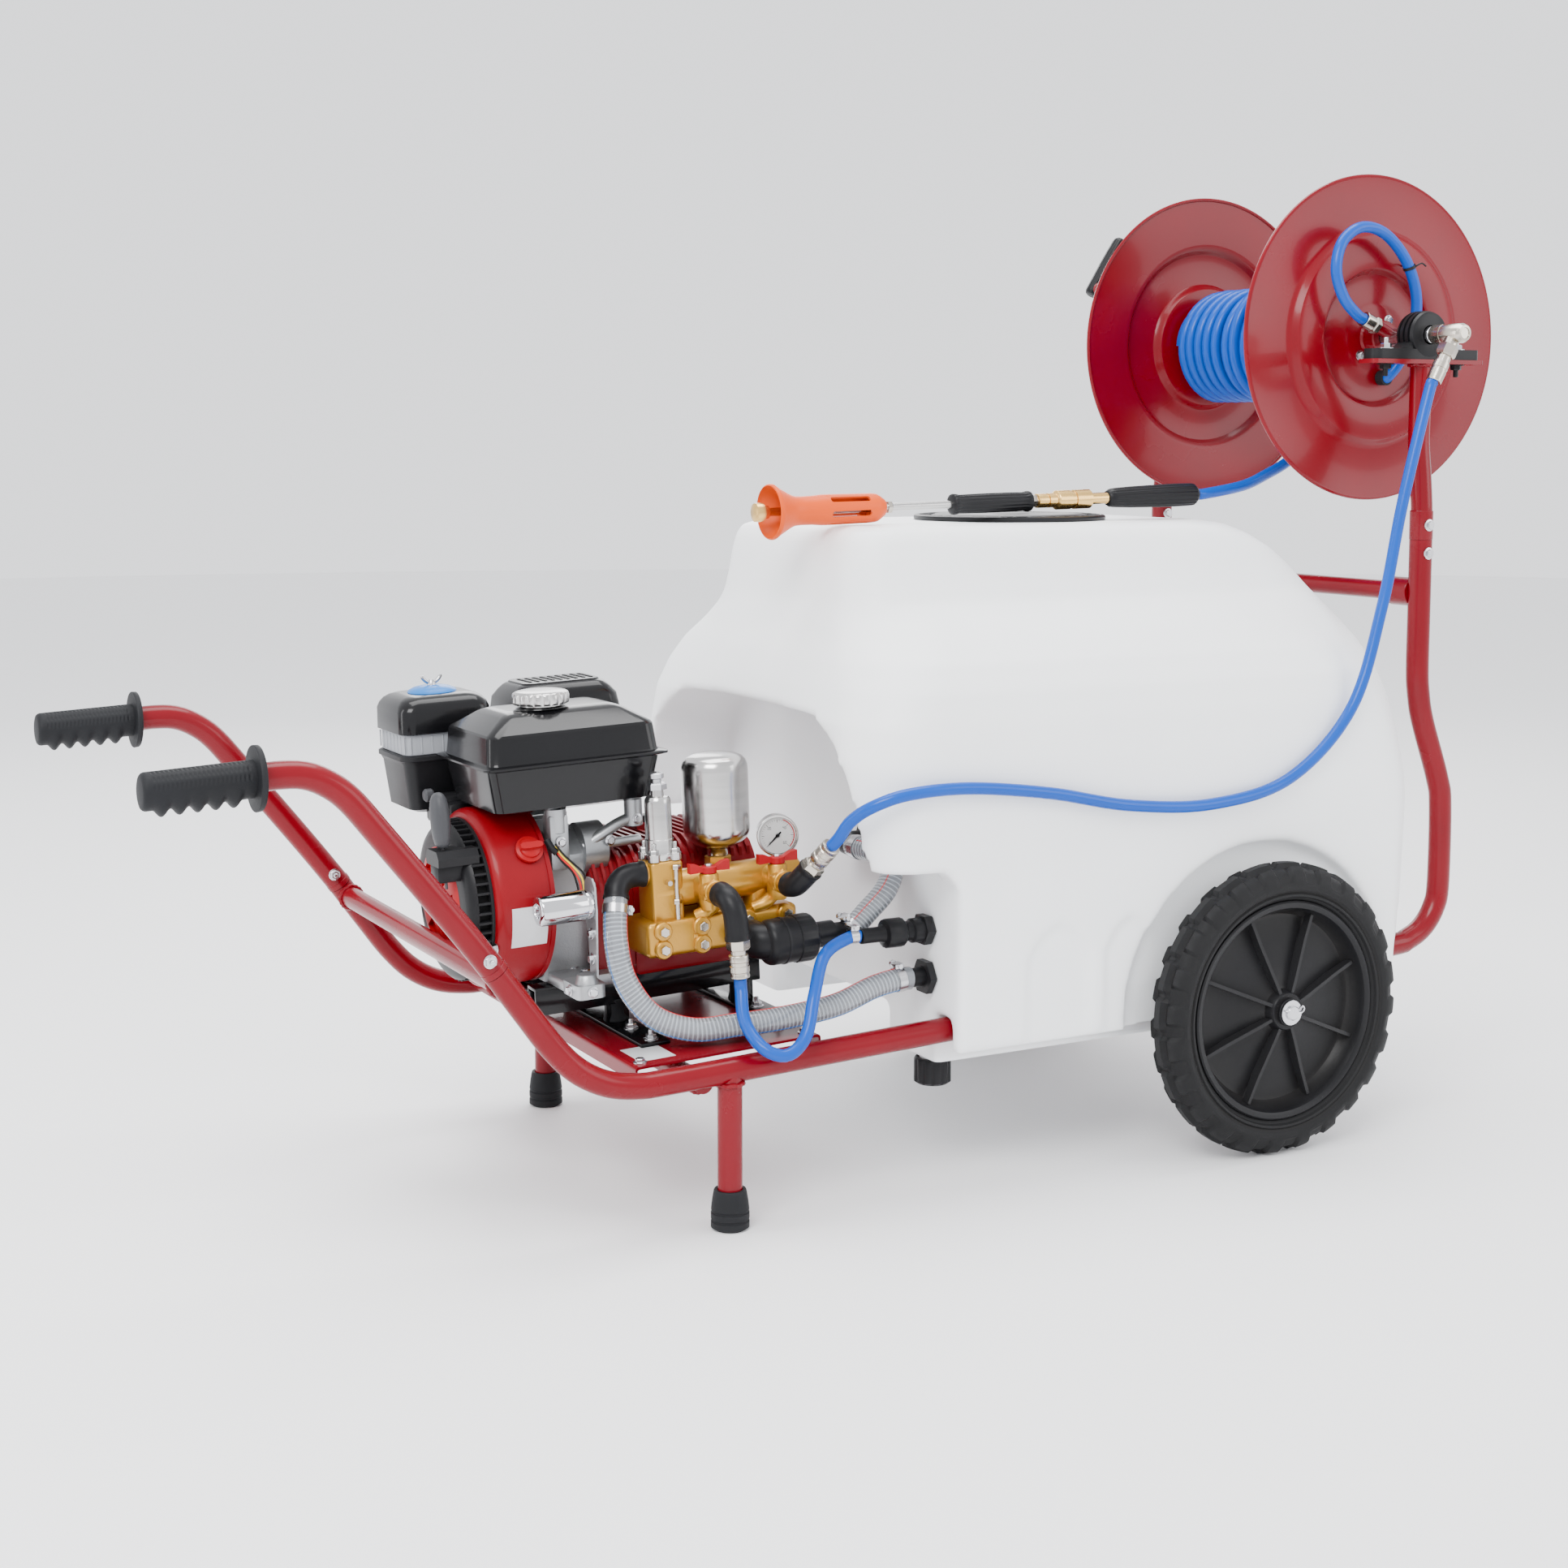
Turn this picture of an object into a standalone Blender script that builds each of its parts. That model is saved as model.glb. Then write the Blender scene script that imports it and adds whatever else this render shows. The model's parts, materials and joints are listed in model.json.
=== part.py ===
"""Wheeled sprayer cart: engine-driven pump, rotomoulded tank, hose reel and spray lance.

Metres, +Z up, ground at z = 0.  X runs along the cart (handles at -X, reel at +X).
The near side is -Y.  The cart is symmetric about y = 0 except for the powered group and hoses.
"""
import math

import bmesh
import bpy
from mathutils import Matrix, Vector

GAP = 0.0003

# ---- driving dimensions ------------------------------------------------------------------
TUBE_R = 0.016
RAIL_Y = 0.300
RAIL_Z0 = 0.2117
RAIL_SLOPE = 0.0417
POST_X = 0.785
POST_Y = 0.291
AXLE_X = 0.476
AXLE_Z = 0.200
AXLE_R = 0.010
WHEEL_R = 0.200
WHEEL_OUT = 0.403
WHEEL_W = 0.060
TYRE_IN_R = 0.150
LEG_X = -0.315
SEAM_X = -0.617
SEAM_Z = 0.353
PLATE_X0 = -0.435
PLATE_X1 = -0.180
PLATE_Y = 0.285
PLATE_T = 0.0035
GROUP_Z = RAIL_Z0 + TUBE_R + 0.004
DECK_Z = 0.853
LID_X = 0.285
LID_R = 0.136
REEL_X = 0.785
REEL_Z = 1.113
REEL_R = 0.234
DISC_Y = 0.188
HOSE_R = 0.008
CLEAR_R = 0.015
CRANK_Y = -0.030
CRANK_H = 0.178
PUMP_X0 = -0.3547
PUMP_X1 = -0.175
MANI_Y = -0.165

# ---- scene reset -------------------------------------------------------------------------
for old in list(bpy.data.objects):
    bpy.data.objects.remove(old, do_unlink=True)


def material(name, color, rough=0.5, metal=0.0):
    mat = bpy.data.materials.new(name)
    mat.use_nodes = True
    shader = mat.node_tree.nodes["Principled BSDF"]
    shader.inputs["Base Color"].default_value = (*color, 1.0)
    shader.inputs["Roughness"].default_value = rough
    shader.inputs["Metallic"].default_value = metal
    return mat


RED = (0.42, 0.010, 0.025)
BLACK = (0.018, 0.018, 0.020)
STEEL = (0.62, 0.62, 0.63)
ALU = (0.55, 0.56, 0.57)
BRASS = (0.72, 0.48, 0.14)
BLUE = (0.015, 0.24, 0.75)


def put(name, bm, color, rough=0.5, metal=0.0, origin=(0, 0, 0), smooth=False, matrix=None):
    """Turn a bmesh in part coordinates into a named object whose origin is given."""
    if matrix is not None:
        bmesh.ops.transform(bm, matrix=matrix, verts=bm.verts)
        origin = matrix @ Vector(origin)
    bmesh.ops.translate(bm, verts=bm.verts, vec=-Vector(origin))
    bmesh.ops.recalc_face_normals(bm, faces=bm.faces)
    mesh = bpy.data.meshes.new(name)
    bm.to_mesh(mesh)
    bm.free()
    obj = bpy.data.objects.new(name, mesh)
    obj.location = origin
    bpy.context.scene.collection.objects.link(obj)
    obj.data.materials.append(material(name, color, rough, metal))
    if smooth:
        for poly in mesh.polygons:
            poly.use_smooth = True
    return obj


def helper(bm, name="operand"):
    """A hidden operand for a Boolean modifier."""
    bmesh.ops.recalc_face_normals(bm, faces=bm.faces)
    mesh = bpy.data.meshes.new(name)
    bm.to_mesh(mesh)
    bm.free()
    obj = bpy.data.objects.new(name, mesh)
    bpy.context.scene.collection.objects.link(obj)
    obj.hide_render = True
    obj.display_type = "WIRE"
    return obj


def combine(base, parts, operation):
    """Boolean each operand bmesh into the base bmesh; returns a new bmesh."""
    host = helper(base, "host")
    others = [helper(part) for part in parts]
    for other in others:
        mod = host.modifiers.new("bool", "BOOLEAN")
        mod.operation = operation
        mod.solver = "EXACT"
        mod.object = other
    bpy.context.view_layer.update()
    graph = bpy.context.evaluated_depsgraph_get()
    mesh = bpy.data.meshes.new_from_object(host.evaluated_get(graph))
    out = bmesh.new()
    out.from_mesh(mesh)
    bpy.data.meshes.remove(mesh)
    for obj in [host] + others:
        bpy.data.objects.remove(obj, do_unlink=True)
    bmesh.ops.remove_doubles(out, verts=out.verts, dist=0.00005)
    bmesh.ops.dissolve_degenerate(out, dist=0.00005, edges=out.edges)
    return out


def union(base, *parts):
    return combine(base, parts, "UNION")


def cut(base, *parts):
    return combine(base, parts, "DIFFERENCE")


# ---- primitive builders ------------------------------------------------------------------
def skin(rings, caps=True):
    """Closed solid from a list of equal-length rings of points."""
    bm = bmesh.new()
    rows = [[bm.verts.new(point) for point in ring] for ring in rings]
    count = len(rows[0])
    for low, high in zip(rows, rows[1:]):
        for i in range(count):
            j = (i + 1) % count
            bm.faces.new((low[i], low[j], high[j], high[i]))
    if caps:
        bm.faces.new(list(reversed(rows[0])))
        bm.faces.new(rows[-1])
    else:
        low, high = rows[-1], rows[0]
        for i in range(count):
            j = (i + 1) % count
            bm.faces.new((low[i], low[j], high[j], high[i]))
    return bm


def box(x0, x1, y0, y1, z0, z1, bevel=0.0, segments=1):
    bm = bmesh.new()
    bmesh.ops.create_cube(bm, size=1.0)
    bmesh.ops.scale(bm, vec=(x1 - x0, y1 - y0, z1 - z0), verts=bm.verts)
    bmesh.ops.translate(bm, vec=((x0 + x1) / 2, (y0 + y1) / 2, (z0 + z1) / 2), verts=bm.verts)
    if bevel:
        bmesh.ops.bevel(bm, geom=list(bm.edges), offset=bevel, segments=segments,
                        affect="EDGES", profile=0.5)
    return bm


def lathe_rings(profile, axis, center, steps):
    """Rings of points for (radius, station) stops about an axis through center."""
    other = {"X": ((0, 1, 0), (0, 0, 1), (1, 0, 0)),
             "Y": ((0, 0, 1), (1, 0, 0), (0, 1, 0)),
             "Z": ((1, 0, 0), (0, 1, 0), (0, 0, 1))}[axis]
    u, v, w = (Vector(item) for item in other)
    base = Vector(center)
    rings = []
    for radius, station in profile:
        ring = []
        for i in range(steps):
            a = 2 * math.pi * i / steps
            ring.append(base + w * station + u * (radius * math.cos(a)) + v * (radius * math.sin(a)))
        rings.append(ring)
    return rings


def turned(profile, axis, center, steps=24):
    """Lathe a profile whose two ends are closed by flat discs."""
    return skin(lathe_rings(profile, axis, center, steps))


def ring_turned(profile, axis, center, steps=24):
    """Lathe a closed profile that stays off the axis (a hollow ring)."""
    return skin(lathe_rings(profile, axis, center, steps), caps=False)


def prism(outline, axis, low, high):
    """Extrude a closed 2-D outline along an axis.  X: (y, z), Y: (x, z), Z: (x, y)."""
    def at(point, value):
        a, b = point
        return {"X": (value, a, b), "Y": (a, value, b), "Z": (a, b, value)}[axis]
    return skin([[at(p, low) for p in outline], [at(p, high) for p in outline]])


def hull_outline(circles, steps=24):
    """Convex outline around several (a, b, radius) circles."""
    points = []
    for a, b, radius in circles:
        for i in range(steps):
            t = 2 * math.pi * i / steps
            points.append((a + radius * math.cos(t), b + radius * math.sin(t)))
    points = sorted(set((round(p[0], 6), round(p[1], 6)) for p in points))

    def chain(sequence):
        out = []
        for p in sequence:
            while len(out) > 1:
                (ax, ay), (bx, by) = out[-2], out[-1]
                if (bx - ax) * (p[1] - ay) - (by - ay) * (p[0] - ax) > 1e-9:
                    break
                out.pop()
            out.append(p)
        return out[:-1]
    return chain(points) + chain(reversed(points))


def smooth_path(points, spacing):
    """Catmull-Rom curve through route points, resampled at an even spacing."""
    pts = [Vector(p) for p in points]
    pts = [pts[0] * 2 - pts[1]] + pts + [pts[-1] * 2 - pts[-2]]
    fine = []
    for i in range(1, len(pts) - 2):
        p0, p1, p2, p3 = pts[i - 1:i + 3]
        for k in range(24):
            t = k / 24
            fine.append(0.5 * ((2 * p1) + (p2 - p0) * t + (2 * p0 - 5 * p1 + 4 * p2 - p3) * t * t
                               + (3 * p1 - p0 - 3 * p2 + p3) * t ** 3))
    fine.append(pts[-2].copy())
    total = sum((b - a).length for a, b in zip(fine, fine[1:]))
    count = max(3, round(total / spacing))
    out = [fine[0]]
    step = total / count
    walked = 0.0
    for a, b in zip(fine, fine[1:]):
        seg = (b - a).length
        while len(out) < count and walked + seg >= step * len(out) - 1e-12:
            out.append(a.lerp(b, (step * len(out) - walked) / seg))
        walked += seg
    out.append(fine[-1])
    return out


def pipe(points, radius, sides=14, radii=None, roll=0.0):
    """Round bar swept along a polyline with square-cut ends."""
    pts = [Vector(p) for p in points]
    tangents = []
    for i in range(len(pts)):
        a = pts[max(i - 1, 0)]
        b = pts[min(i + 1, len(pts) - 1)]
        tangents.append((b - a).normalized())
    seed = Vector((0, 1, 0)) if abs(tangents[0].y) < 0.9 else Vector((0, 0, 1))
    side = (seed - tangents[0] * seed.dot(tangents[0])).normalized()
    rings = []
    for i, (point, tangent) in enumerate(zip(pts, tangents)):
        side = (side - tangent * side.dot(tangent)).normalized()
        up = tangent.cross(side)
        stretch = radii[i] if radii else radius
        ring = []
        for k in range(sides):
            a = roll + 2 * math.pi * k / sides
            ring.append(point + side * (stretch * math.cos(a)) + up * (stretch * math.sin(a)))
        rings.append(ring)
    return skin(rings)


def spun(stops, base, direction, sides=16):
    """Lathe (station, radius) stops about any straight line; stations may double back."""
    w = Vector(direction).normalized()
    seed = Vector((0, 1, 0)) if abs(w.y) < 0.9 else Vector((0, 0, 1))
    u = (seed - w * seed.dot(w)).normalized()
    v = w.cross(u)
    rings = []
    for station, radius in stops:
        p = Vector(base) + w * station
        rings.append([p + u * (radius * math.cos(2 * math.pi * k / sides))
                      + v * (radius * math.sin(2 * math.pi * k / sides)) for k in range(sides)])
    return skin(rings)


def rod(a, b, radius, sides=12):
    return pipe([a, b], radius, sides)


def cord(name, start, out, mids, end, back, radius, spacing, color, lead=0.016):
    """A hose as a bevelled poly curve: it leaves each fitting square to its face.

    start and end are the two ends; out and back point away from each fitting.
    """
    out = Vector(out).normalized()
    back = Vector(back).normalized()
    start = Vector(start) + out * GAP * 1.4
    end = Vector(end) + back * GAP * 1.4
    path = smooth_path([start, start + out * lead] + list(mids) + [end + back * lead, end], spacing)
    path = [path[0], start + out * 0.004] + path[1:-1] + [end + back * 0.004, path[-1]]
    curve = bpy.data.curves.new(name, "CURVE")
    curve.dimensions = "3D"
    curve.bevel_depth = radius
    curve.bevel_resolution = 2
    curve.use_fill_caps = True
    spline = curve.splines.new("POLY")
    spline.points.add(len(path) - 1)
    for point, place in zip(spline.points, path):
        point.co = (*place, 1.0)
    obj = bpy.data.objects.new(name, curve)
    bpy.context.scene.collection.objects.link(obj)
    curve.materials.append(material(name, color, 0.35))
    return obj


def rail_z(x):
    return RAIL_Z0 + RAIL_SLOPE * x


# The powered group sits on the sloping rails: level in its own frame, then pitched.
PITCH = math.atan(RAIL_SLOPE)
GROUP = Matrix.Translation((0, 0, GROUP_Z)) @ Matrix.Rotation(-PITCH, 4, "Y")


def to_world(point):
    return GROUP @ Vector(point)


# ---- chassis -----------------------------------------------------------------------------
def side_rail(y):
    path = [(SEAM_X, SEAM_Z), (-0.578, 0.298), (-0.548, 0.257), (-0.517, 0.225), (-0.480, 0.204),
            (-0.440, 0.1955), (-0.395, rail_z(-0.395)), (0.742, rail_z(0.742)), (0.780, 0.249),
            (0.808, 0.264), (0.828, 0.290), (0.836, 0.325), (0.836, 0.440), (0.828, 0.482),
            (0.797, 0.566), (0.788, 0.606), (POST_X, 0.640), (POST_X, 0.825)]
    return pipe([(x, y, z) for x, z in path], TUBE_R, 10, roll=math.pi / 2)


def chassis():
    near = side_rail(-RAIL_Y)
    parts = [side_rail(RAIL_Y)]
    parts.append(rod((-0.606, -RAIL_Y, 0.337), (-0.606, RAIL_Y, 0.337), 0.0145, 10))
    for x in (-0.350, 0.425, 0.690):
        z = rail_z(x) - 0.011
        parts.append(rod((x, -RAIL_Y, z), (x, RAIL_Y, z), 0.013, 8))
    parts.append(rod((POST_X, -RAIL_Y, 0.750), (POST_X, RAIL_Y, 0.750), 0.0135, 10))
    for side in (-1, 1):
        y = side * RAIL_Y
        parts.append(rod((LEG_X, y, 0.0083), (LEG_X, y, rail_z(LEG_X) - 0.004), TUBE_R - 0.0006, 10))
        parts.append(turned([(0.0205, -0.021), (0.0205, 0.021)], "Y",
                            (POST_X, side * 0.270, 0.750), 10))
        parts.append(box(AXLE_X - 0.022, AXLE_X + 0.022, y - 0.006, y + 0.006, 0.186, 0.236))
    parts.append(rod((AXLE_X, -0.412, AXLE_Z), (AXLE_X, 0.412, AXLE_Z), AXLE_R, 14))
    return union(near, *parts)


put("chassis_frame", chassis(), RED, 0.3)

SEAM_DIR = Vector((-0.578 - SEAM_X, 0, 0.298 - SEAM_Z)).normalized()
HANDLE_PATH = [(-1.005, 0.5935), (-0.905, 0.5985), (-0.868, 0.6010), (-0.838, 0.5990),
               (-0.812, 0.5880), (-0.787, 0.5680), (-0.751, 0.5240), (-0.666, 0.4170),
               (SEAM_X - SEAM_DIR.x * 0.0200, SEAM_Z - SEAM_DIR.z * 0.0200),
               (SEAM_X - SEAM_DIR.x * 0.0008, SEAM_Z - SEAM_DIR.z * 0.0008)]

GRIP_X0 = -1.0165
BORE_R = TUBE_R + 0.0012
GRIP_X1 = -0.886


def grip(y):
    """Moulded grip: thumb-round body, finger ridges below, guard flange at the inner end."""
    rings = []

    def ring(x, top, low, wide):
        z = 0.5935 + (x + 1.005) * 0.05
        pts = []
        for k in range(10):
            a = 2 * math.pi * (k + 0.5) / 10
            c, s = math.cos(a), math.sin(a)
            reach = top if s > 0 else low
            pts.append((x, y + wide * c, z + reach * s))
        return pts
    rings.append(ring(GRIP_X0, 0.018, 0.018, 0.018))
    rings.append(ring(GRIP_X0 + 0.004, 0.0225, 0.0225, 0.0225))
    ridges = 5
    for i in range(ridges):
        start = GRIP_X0 + 0.012 + i * 0.0195
        rings.append(ring(start, 0.0215, 0.0225, 0.0215))
        rings.append(ring(start + 0.0098, 0.0215, 0.0300, 0.0215))
    rings.append(ring(GRIP_X1 - 0.014, 0.0215, 0.0220, 0.0215))
    rings.append(ring(GRIP_X1 - 0.0095, 0.0250, 0.0250, 0.0250))
    rings.append(ring(GRIP_X1 - 0.0080, 0.0370, 0.0370, 0.0370))
    rings.append(ring(GRIP_X1 - 0.0010, 0.0360, 0.0360, 0.0360))
    rings.append(ring(GRIP_X1, 0.0300, 0.0300, 0.0300))
    for x in (GRIP_X1, -1.0064):
        rings.append(ring(x, BORE_R, BORE_R, BORE_R))
    return skin(rings)


for side, tag in ((-1, "near"), (1, "far")):
    y = side * RAIL_Y
    path = [Vector((x, y, z)) for x, z in HANDLE_PATH]
    put("handle_tube_" + tag, pipe(path, TUBE_R, 10, roll=math.pi / 2), RED, 0.3)
    put("handle_grip_" + tag, grip(y), BLACK, 0.7)
    foot = [(0.0205, 0.0), (0.0240, 0.003), (0.0235, 0.030), (0.0205, 0.050), (0.0163, 0.050),
            (0.0163, 0.0080)]
    put("leg_foot_" + tag, turned(foot, "Z", (LEG_X, y, 0), 12), BLACK, 0.8)


# ---- engine platform ---------------------------------------------------------------------
def platform():
    plate = box(PLATE_X0, PLATE_X1, -PLATE_Y, PLATE_Y, -PLATE_T, 0.0)
    front = box(PLATE_X0, PLATE_X0 + 0.003, -0.281, 0.281, -0.020, -0.001)
    rear = box(PLATE_X1 - 0.003, PLATE_X1, -0.281, 0.281, -0.020, -0.001)
    return union(plate, front, rear)


put("engine_platform", platform(), RED, 0.3, matrix=GROUP)


def mounting_rails():
    parts = []
    for y in (-0.090, 0.060):
        parts.append(box(-0.530, -0.170, y - 0.014, y + 0.014, 0.030, 0.0665))
    parts.append(box(-0.530, -0.510, -0.085, 0.055, 0.034, 0.060))
    for x in (-0.375, -0.195):
        parts.append(box(x - 0.020, x + 0.020, -0.215, 0.125, GAP, 0.0055))
        for y in (-0.090, 0.060):
            parts.append(box(x - 0.016, x + 0.016, y - 0.014, y + 0.014, 0.003, 0.040))
    return union(parts[0], *parts[1:])


put("mounting_rails", mounting_rails(), BLACK, 0.4, matrix=GROUP)

# ---- wheels ------------------------------------------------------------------------------
LUGS = 20


def tyre(side):
    """Block-treaded tyre: the tread radius alternates around the rim."""
    out = WHEEL_OUT
    prof = [(TYRE_IN_R, -0.012), (0.170, 0.000), (0.188, -0.003), (0.1970, -0.014),
            (0.1970, -0.046), (0.188, -0.057), (0.170, -0.060), (TYRE_IN_R, -0.048)]
    steps = LUGS * 2
    rings = []
    for i in range(steps):
        a = 2 * math.pi * i / steps
        ring = []
        for k, (r, w) in enumerate(prof):
            if 2 <= k <= 5:
                shift = i + (1 if k > 3 else 0)
                r = r + (0.0030 if shift % 2 else -0.0035)
            ring.append((AXLE_X + r * math.sin(a), side * (out + w), AXLE_Z + r * math.cos(a)))
        rings.append(ring)
    return skin(rings, caps=False)


def rim(side):
    """Dished hub plate with a bored boss, an outer bead band and eight radial ribs."""
    s = side
    o = WHEEL_OUT
    r0 = TYRE_IN_R - GAP
    prof = [(AXLE_R + 0.0005, 0.002), (0.026, 0.002), (0.030, -0.018),
            (0.128, -0.034), (0.138, -0.012), (r0, -0.0080), (r0, -0.0520),
            (0.136, -0.042), (0.028, -0.030), (AXLE_R + 0.0005, -0.058)]
    prof = [(r, s * (o + w)) for r, w in prof]
    dish = ring_turned(prof, "Y", (AXLE_X, 0, AXLE_Z), 20)
    ribs = []
    for i in range(8):
        a = math.pi / 8 + i * math.pi / 4
        rib = prism([(0.022, -0.006), (0.134, -0.0155), (0.137, -0.040), (0.022, -0.040)],
                    "Z", -0.0021, 0.0021)
        ribs.append((rib, a))
    spokes = []
    for rib, a in ribs:
        frame = Matrix(((math.cos(a), 0, math.sin(a), AXLE_X), (0, s, 0, s * o),
                        (-math.sin(a), 0, math.cos(a), AXLE_Z), (0, 0, 0, 1)))
        bmesh.ops.transform(rib, matrix=frame, verts=rib.verts)
        spokes.append(rib)
    return union(dish, *spokes)


for side, tag in ((-1, "near"), (1, "far")):
    hub = (AXLE_X, side * (WHEEL_OUT - WHEEL_W / 2), AXLE_Z)
    put("wheel_tyre_" + tag, tyre(side), BLACK, 0.8, origin=hub)
    put("wheel_rim_" + tag, rim(side), BLACK, 0.5, origin=hub)

# ---- tank --------------------------------------------------------------------------------
TANK_FRONT = -0.010
BELLY_Z = 0.2180
SUMP_Z = 0.160
SKIRT_Z = 0.187
ARCH_CUT_R = 0.223
ARCH_WALL_Y = 0.322
# (z, front x, rear x, half width, front corner radius, rear corner radius)
TANK_LEVELS = [
    (SUMP_Z, -0.100, 0.762, 0.340, 0.060, 0.085),
    (0.300, -0.110, 0.776, 0.343, 0.060, 0.095),
    (0.425, -0.128, 0.785, 0.345, 0.065, 0.105),
    (0.465, -0.138, 0.787, 0.350, 0.070, 0.115),
    (0.500, -0.146, 0.787, 0.3545, 0.080, 0.130),
    (0.560, -0.150, 0.782, 0.3545, 0.090, 0.150),
    (0.610, -0.144, 0.772, 0.350, 0.095, 0.160),
    (0.650, -0.130, 0.760, 0.340, 0.100, 0.165),
    (0.684, -0.116, 0.747, 0.318, 0.105, 0.165),
    (0.712, -0.102, 0.735, 0.282, 0.105, 0.150),
    (0.738, -0.092, 0.722, 0.244, 0.090, 0.130),
    (0.756, -0.086, 0.708, 0.222, 0.070, 0.115),
    (0.785, -0.081, 0.682, 0.211, 0.060, 0.110),
    (0.812, -0.077, 0.648, 0.205, 0.055, 0.105),
    (0.834, -0.072, 0.606, 0.199, 0.050, 0.100),
    (0.847, -0.064, 0.570, 0.191, 0.045, 0.095),
    (DECK_Z, -0.046, 0.530, 0.174, 0.040, 0.090),
]


def plan_ring(z, front, rear, half, rf, rr, steps=4):
    """Rounded rectangle in plan, always with the same number of points."""
    pts = []
    corners = [(front + rf, -half + rf, rf, math.pi, 1.5 * math.pi),
               (rear - rr, -half + rr, rr, 1.5 * math.pi, 2 * math.pi),
               (rear - rr, half - rr, rr, 0.0, 0.5 * math.pi),
               (front + rf, half - rf, rf, 0.5 * math.pi, math.pi)]
    for cx, cy, r, a0, a1 in corners:
        for i in range(steps + 1):
            a = a0 + (a1 - a0) * i / steps
            pts.append((cx + r * math.cos(a), cy + r * math.sin(a), z))
    return pts


def tank():
    body = skin([plan_ring(*level) for level in TANK_LEVELS])
    cuts = []
    arch = [(-0.302, 0.20), (-0.302, 0.470), (-0.290, 0.530), (-0.262, 0.573), (-0.215, 0.602),
            (-0.150, 0.615), (0.150, 0.615), (0.215, 0.602), (0.262, 0.573), (0.290, 0.530),
            (0.302, 0.470), (0.302, 0.20)]
    cuts.append(prism(arch, "X", -0.30, TANK_FRONT))
    cuts.append(prism([(-0.30, 0.10), (TANK_FRONT, 0.10), (TANK_FRONT, 0.400), (-0.030, 0.424),
                       (-0.30, 0.430)], "Y", -0.50, 0.50))
    belly = [(-0.20, 0.10), (1.0, 0.10), (1.0, BELLY_Z + RAIL_SLOPE), (-0.20, BELLY_Z - 0.2 * RAIL_SLOPE)]
    cuts.append(prism(belly, "Y", -0.160, 0.160))
    groove = [(-0.20, 0.10), (1.0, 0.10), (1.0, rail_z(1.0) + TUBE_R + GAP),
              (-0.20, rail_z(-0.2) + TUBE_R + GAP)]
    for side in (-1, 1):
        lo, hi = sorted((side * 0.2810, side * 0.3190))
        cuts.append(prism(groove, "Y", lo, hi))
        lo, hi = sorted((side * 0.150, side * 0.300))
        cuts.append(prism([(0.380, 0.10), (1.0, 0.10), (1.0, BELLY_Z + RAIL_SLOPE),
                           (0.380, BELLY_Z + 0.38 * RAIL_SLOPE)], "Y", lo, hi))
        lo, hi = sorted((side * 0.310, side * 0.500))
        cuts.append(box(-0.5, 1.0, lo, hi, 0.10, SKIRT_Z))
        wheel = turned([(ARCH_CUT_R, side * ARCH_WALL_Y), (ARCH_CUT_R, side * 0.45)], "Y",
                       (AXLE_X, 0, AXLE_Z), 26)
        cuts.append(wheel)
        lo, hi = sorted((side * 0.3365, side * 0.45))
        for x0, x1 in ((0.092, 0.196), (0.214, 0.300)):
            panel = prism([(x0, 0.15), (x1, 0.15), (x1, 0.300), ((x0 + x1) / 2, 0.345), (x0, 0.300)],
                          "Y", lo, hi)
            cuts.append(panel)
        axle_path = [(0.440, 0.10), (0.512, 0.10), (0.512, 0.2465), (0.440, 0.2465)]
        lo, hi = sorted((side * 0.286, side * 0.325))
        cuts.append(prism(axle_path, "Y", lo, hi))
        lo, hi = sorted((side * 0.2800, side * 0.3200))
        cuts.append(box(0.735, 1.0, lo, hi, 0.10, 0.300))
    well = turned([(0.094, 0.800), (0.094, 0.900)], "Z", (LID_X, 0, 0), 24)
    cuts.append(well)
    body = cut(body, *cuts)
    stub = pipe([(-0.014, -0.110, 0.430), (-0.011 - 0.022, -0.110, 0.430), (-0.045, -0.114, 0.430),
                 (-0.052, -0.126, 0.430), (-0.052, -0.142, 0.430)], 0.0145, 10)
    low = Vector((0.013, -0.240, SUMP_Z))
    neck = turned([(0.017, 0.1450), (0.017, 0.1650)], "Z", (low.x, low.y, 0), 16)
    flange = turned([(0.023, -0.0200), (0.023, -0.0050)], "X", (0, -0.110, 0.430), 14)
    body = union(body, flange, stub, neck)
    bmesh.ops.dissolve_limit(body, angle_limit=math.radians(0.05), verts=body.verts, edges=body.edges)
    return body


put("tank_shell", tank(), (0.86, 0.87, 0.86), 0.35)


def tank_lid():
    prof = [(LID_R, DECK_Z + GAP), (LID_R + 0.001, DECK_Z + 0.004), (LID_R - 0.003, DECK_Z + 0.0075),
            (0.100, DECK_Z + 0.0090)]
    lid = turned(prof, "Z", (LID_X, 0, 0), 26)
    plug = turned([(0.0925, DECK_Z - 0.020), (0.0925, DECK_Z + 0.003)], "Z", (LID_X, 0, 0), 24)
    return union(lid, plug)


put("tank_lid", tank_lid(), BLACK, 0.5, origin=(LID_X, 0, DECK_Z))

DRAIN = (0.013, -0.240)


def drain_cap():
    cap = []
    for i, (r, z) in enumerate([(0.0215, 0.1250), (0.0250, 0.1280), (0.0250, 0.1560),
                                (0.0235, SUMP_Z - GAP), (0.0175, SUMP_Z - GAP), (0.0175, 0.1440)]):
        ring = []
        for k in range(18):
            a = 2 * math.pi * k / 18
            rr = r - (0.0018 if (k % 3 == 0 and 1 <= i <= 2) else 0.0)
            ring.append((DRAIN[0] + rr * math.cos(a), DRAIN[1] + rr * math.sin(a), z))
        cap.append(ring)
    return skin(cap)


put("drain_cap", drain_cap(), BLACK, 0.5, origin=(DRAIN[0], DRAIN[1], SUMP_Z))

RETURN_PORT = (-0.268, 0.338)
SUCTION_PORT = (-0.268, 0.276)


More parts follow.
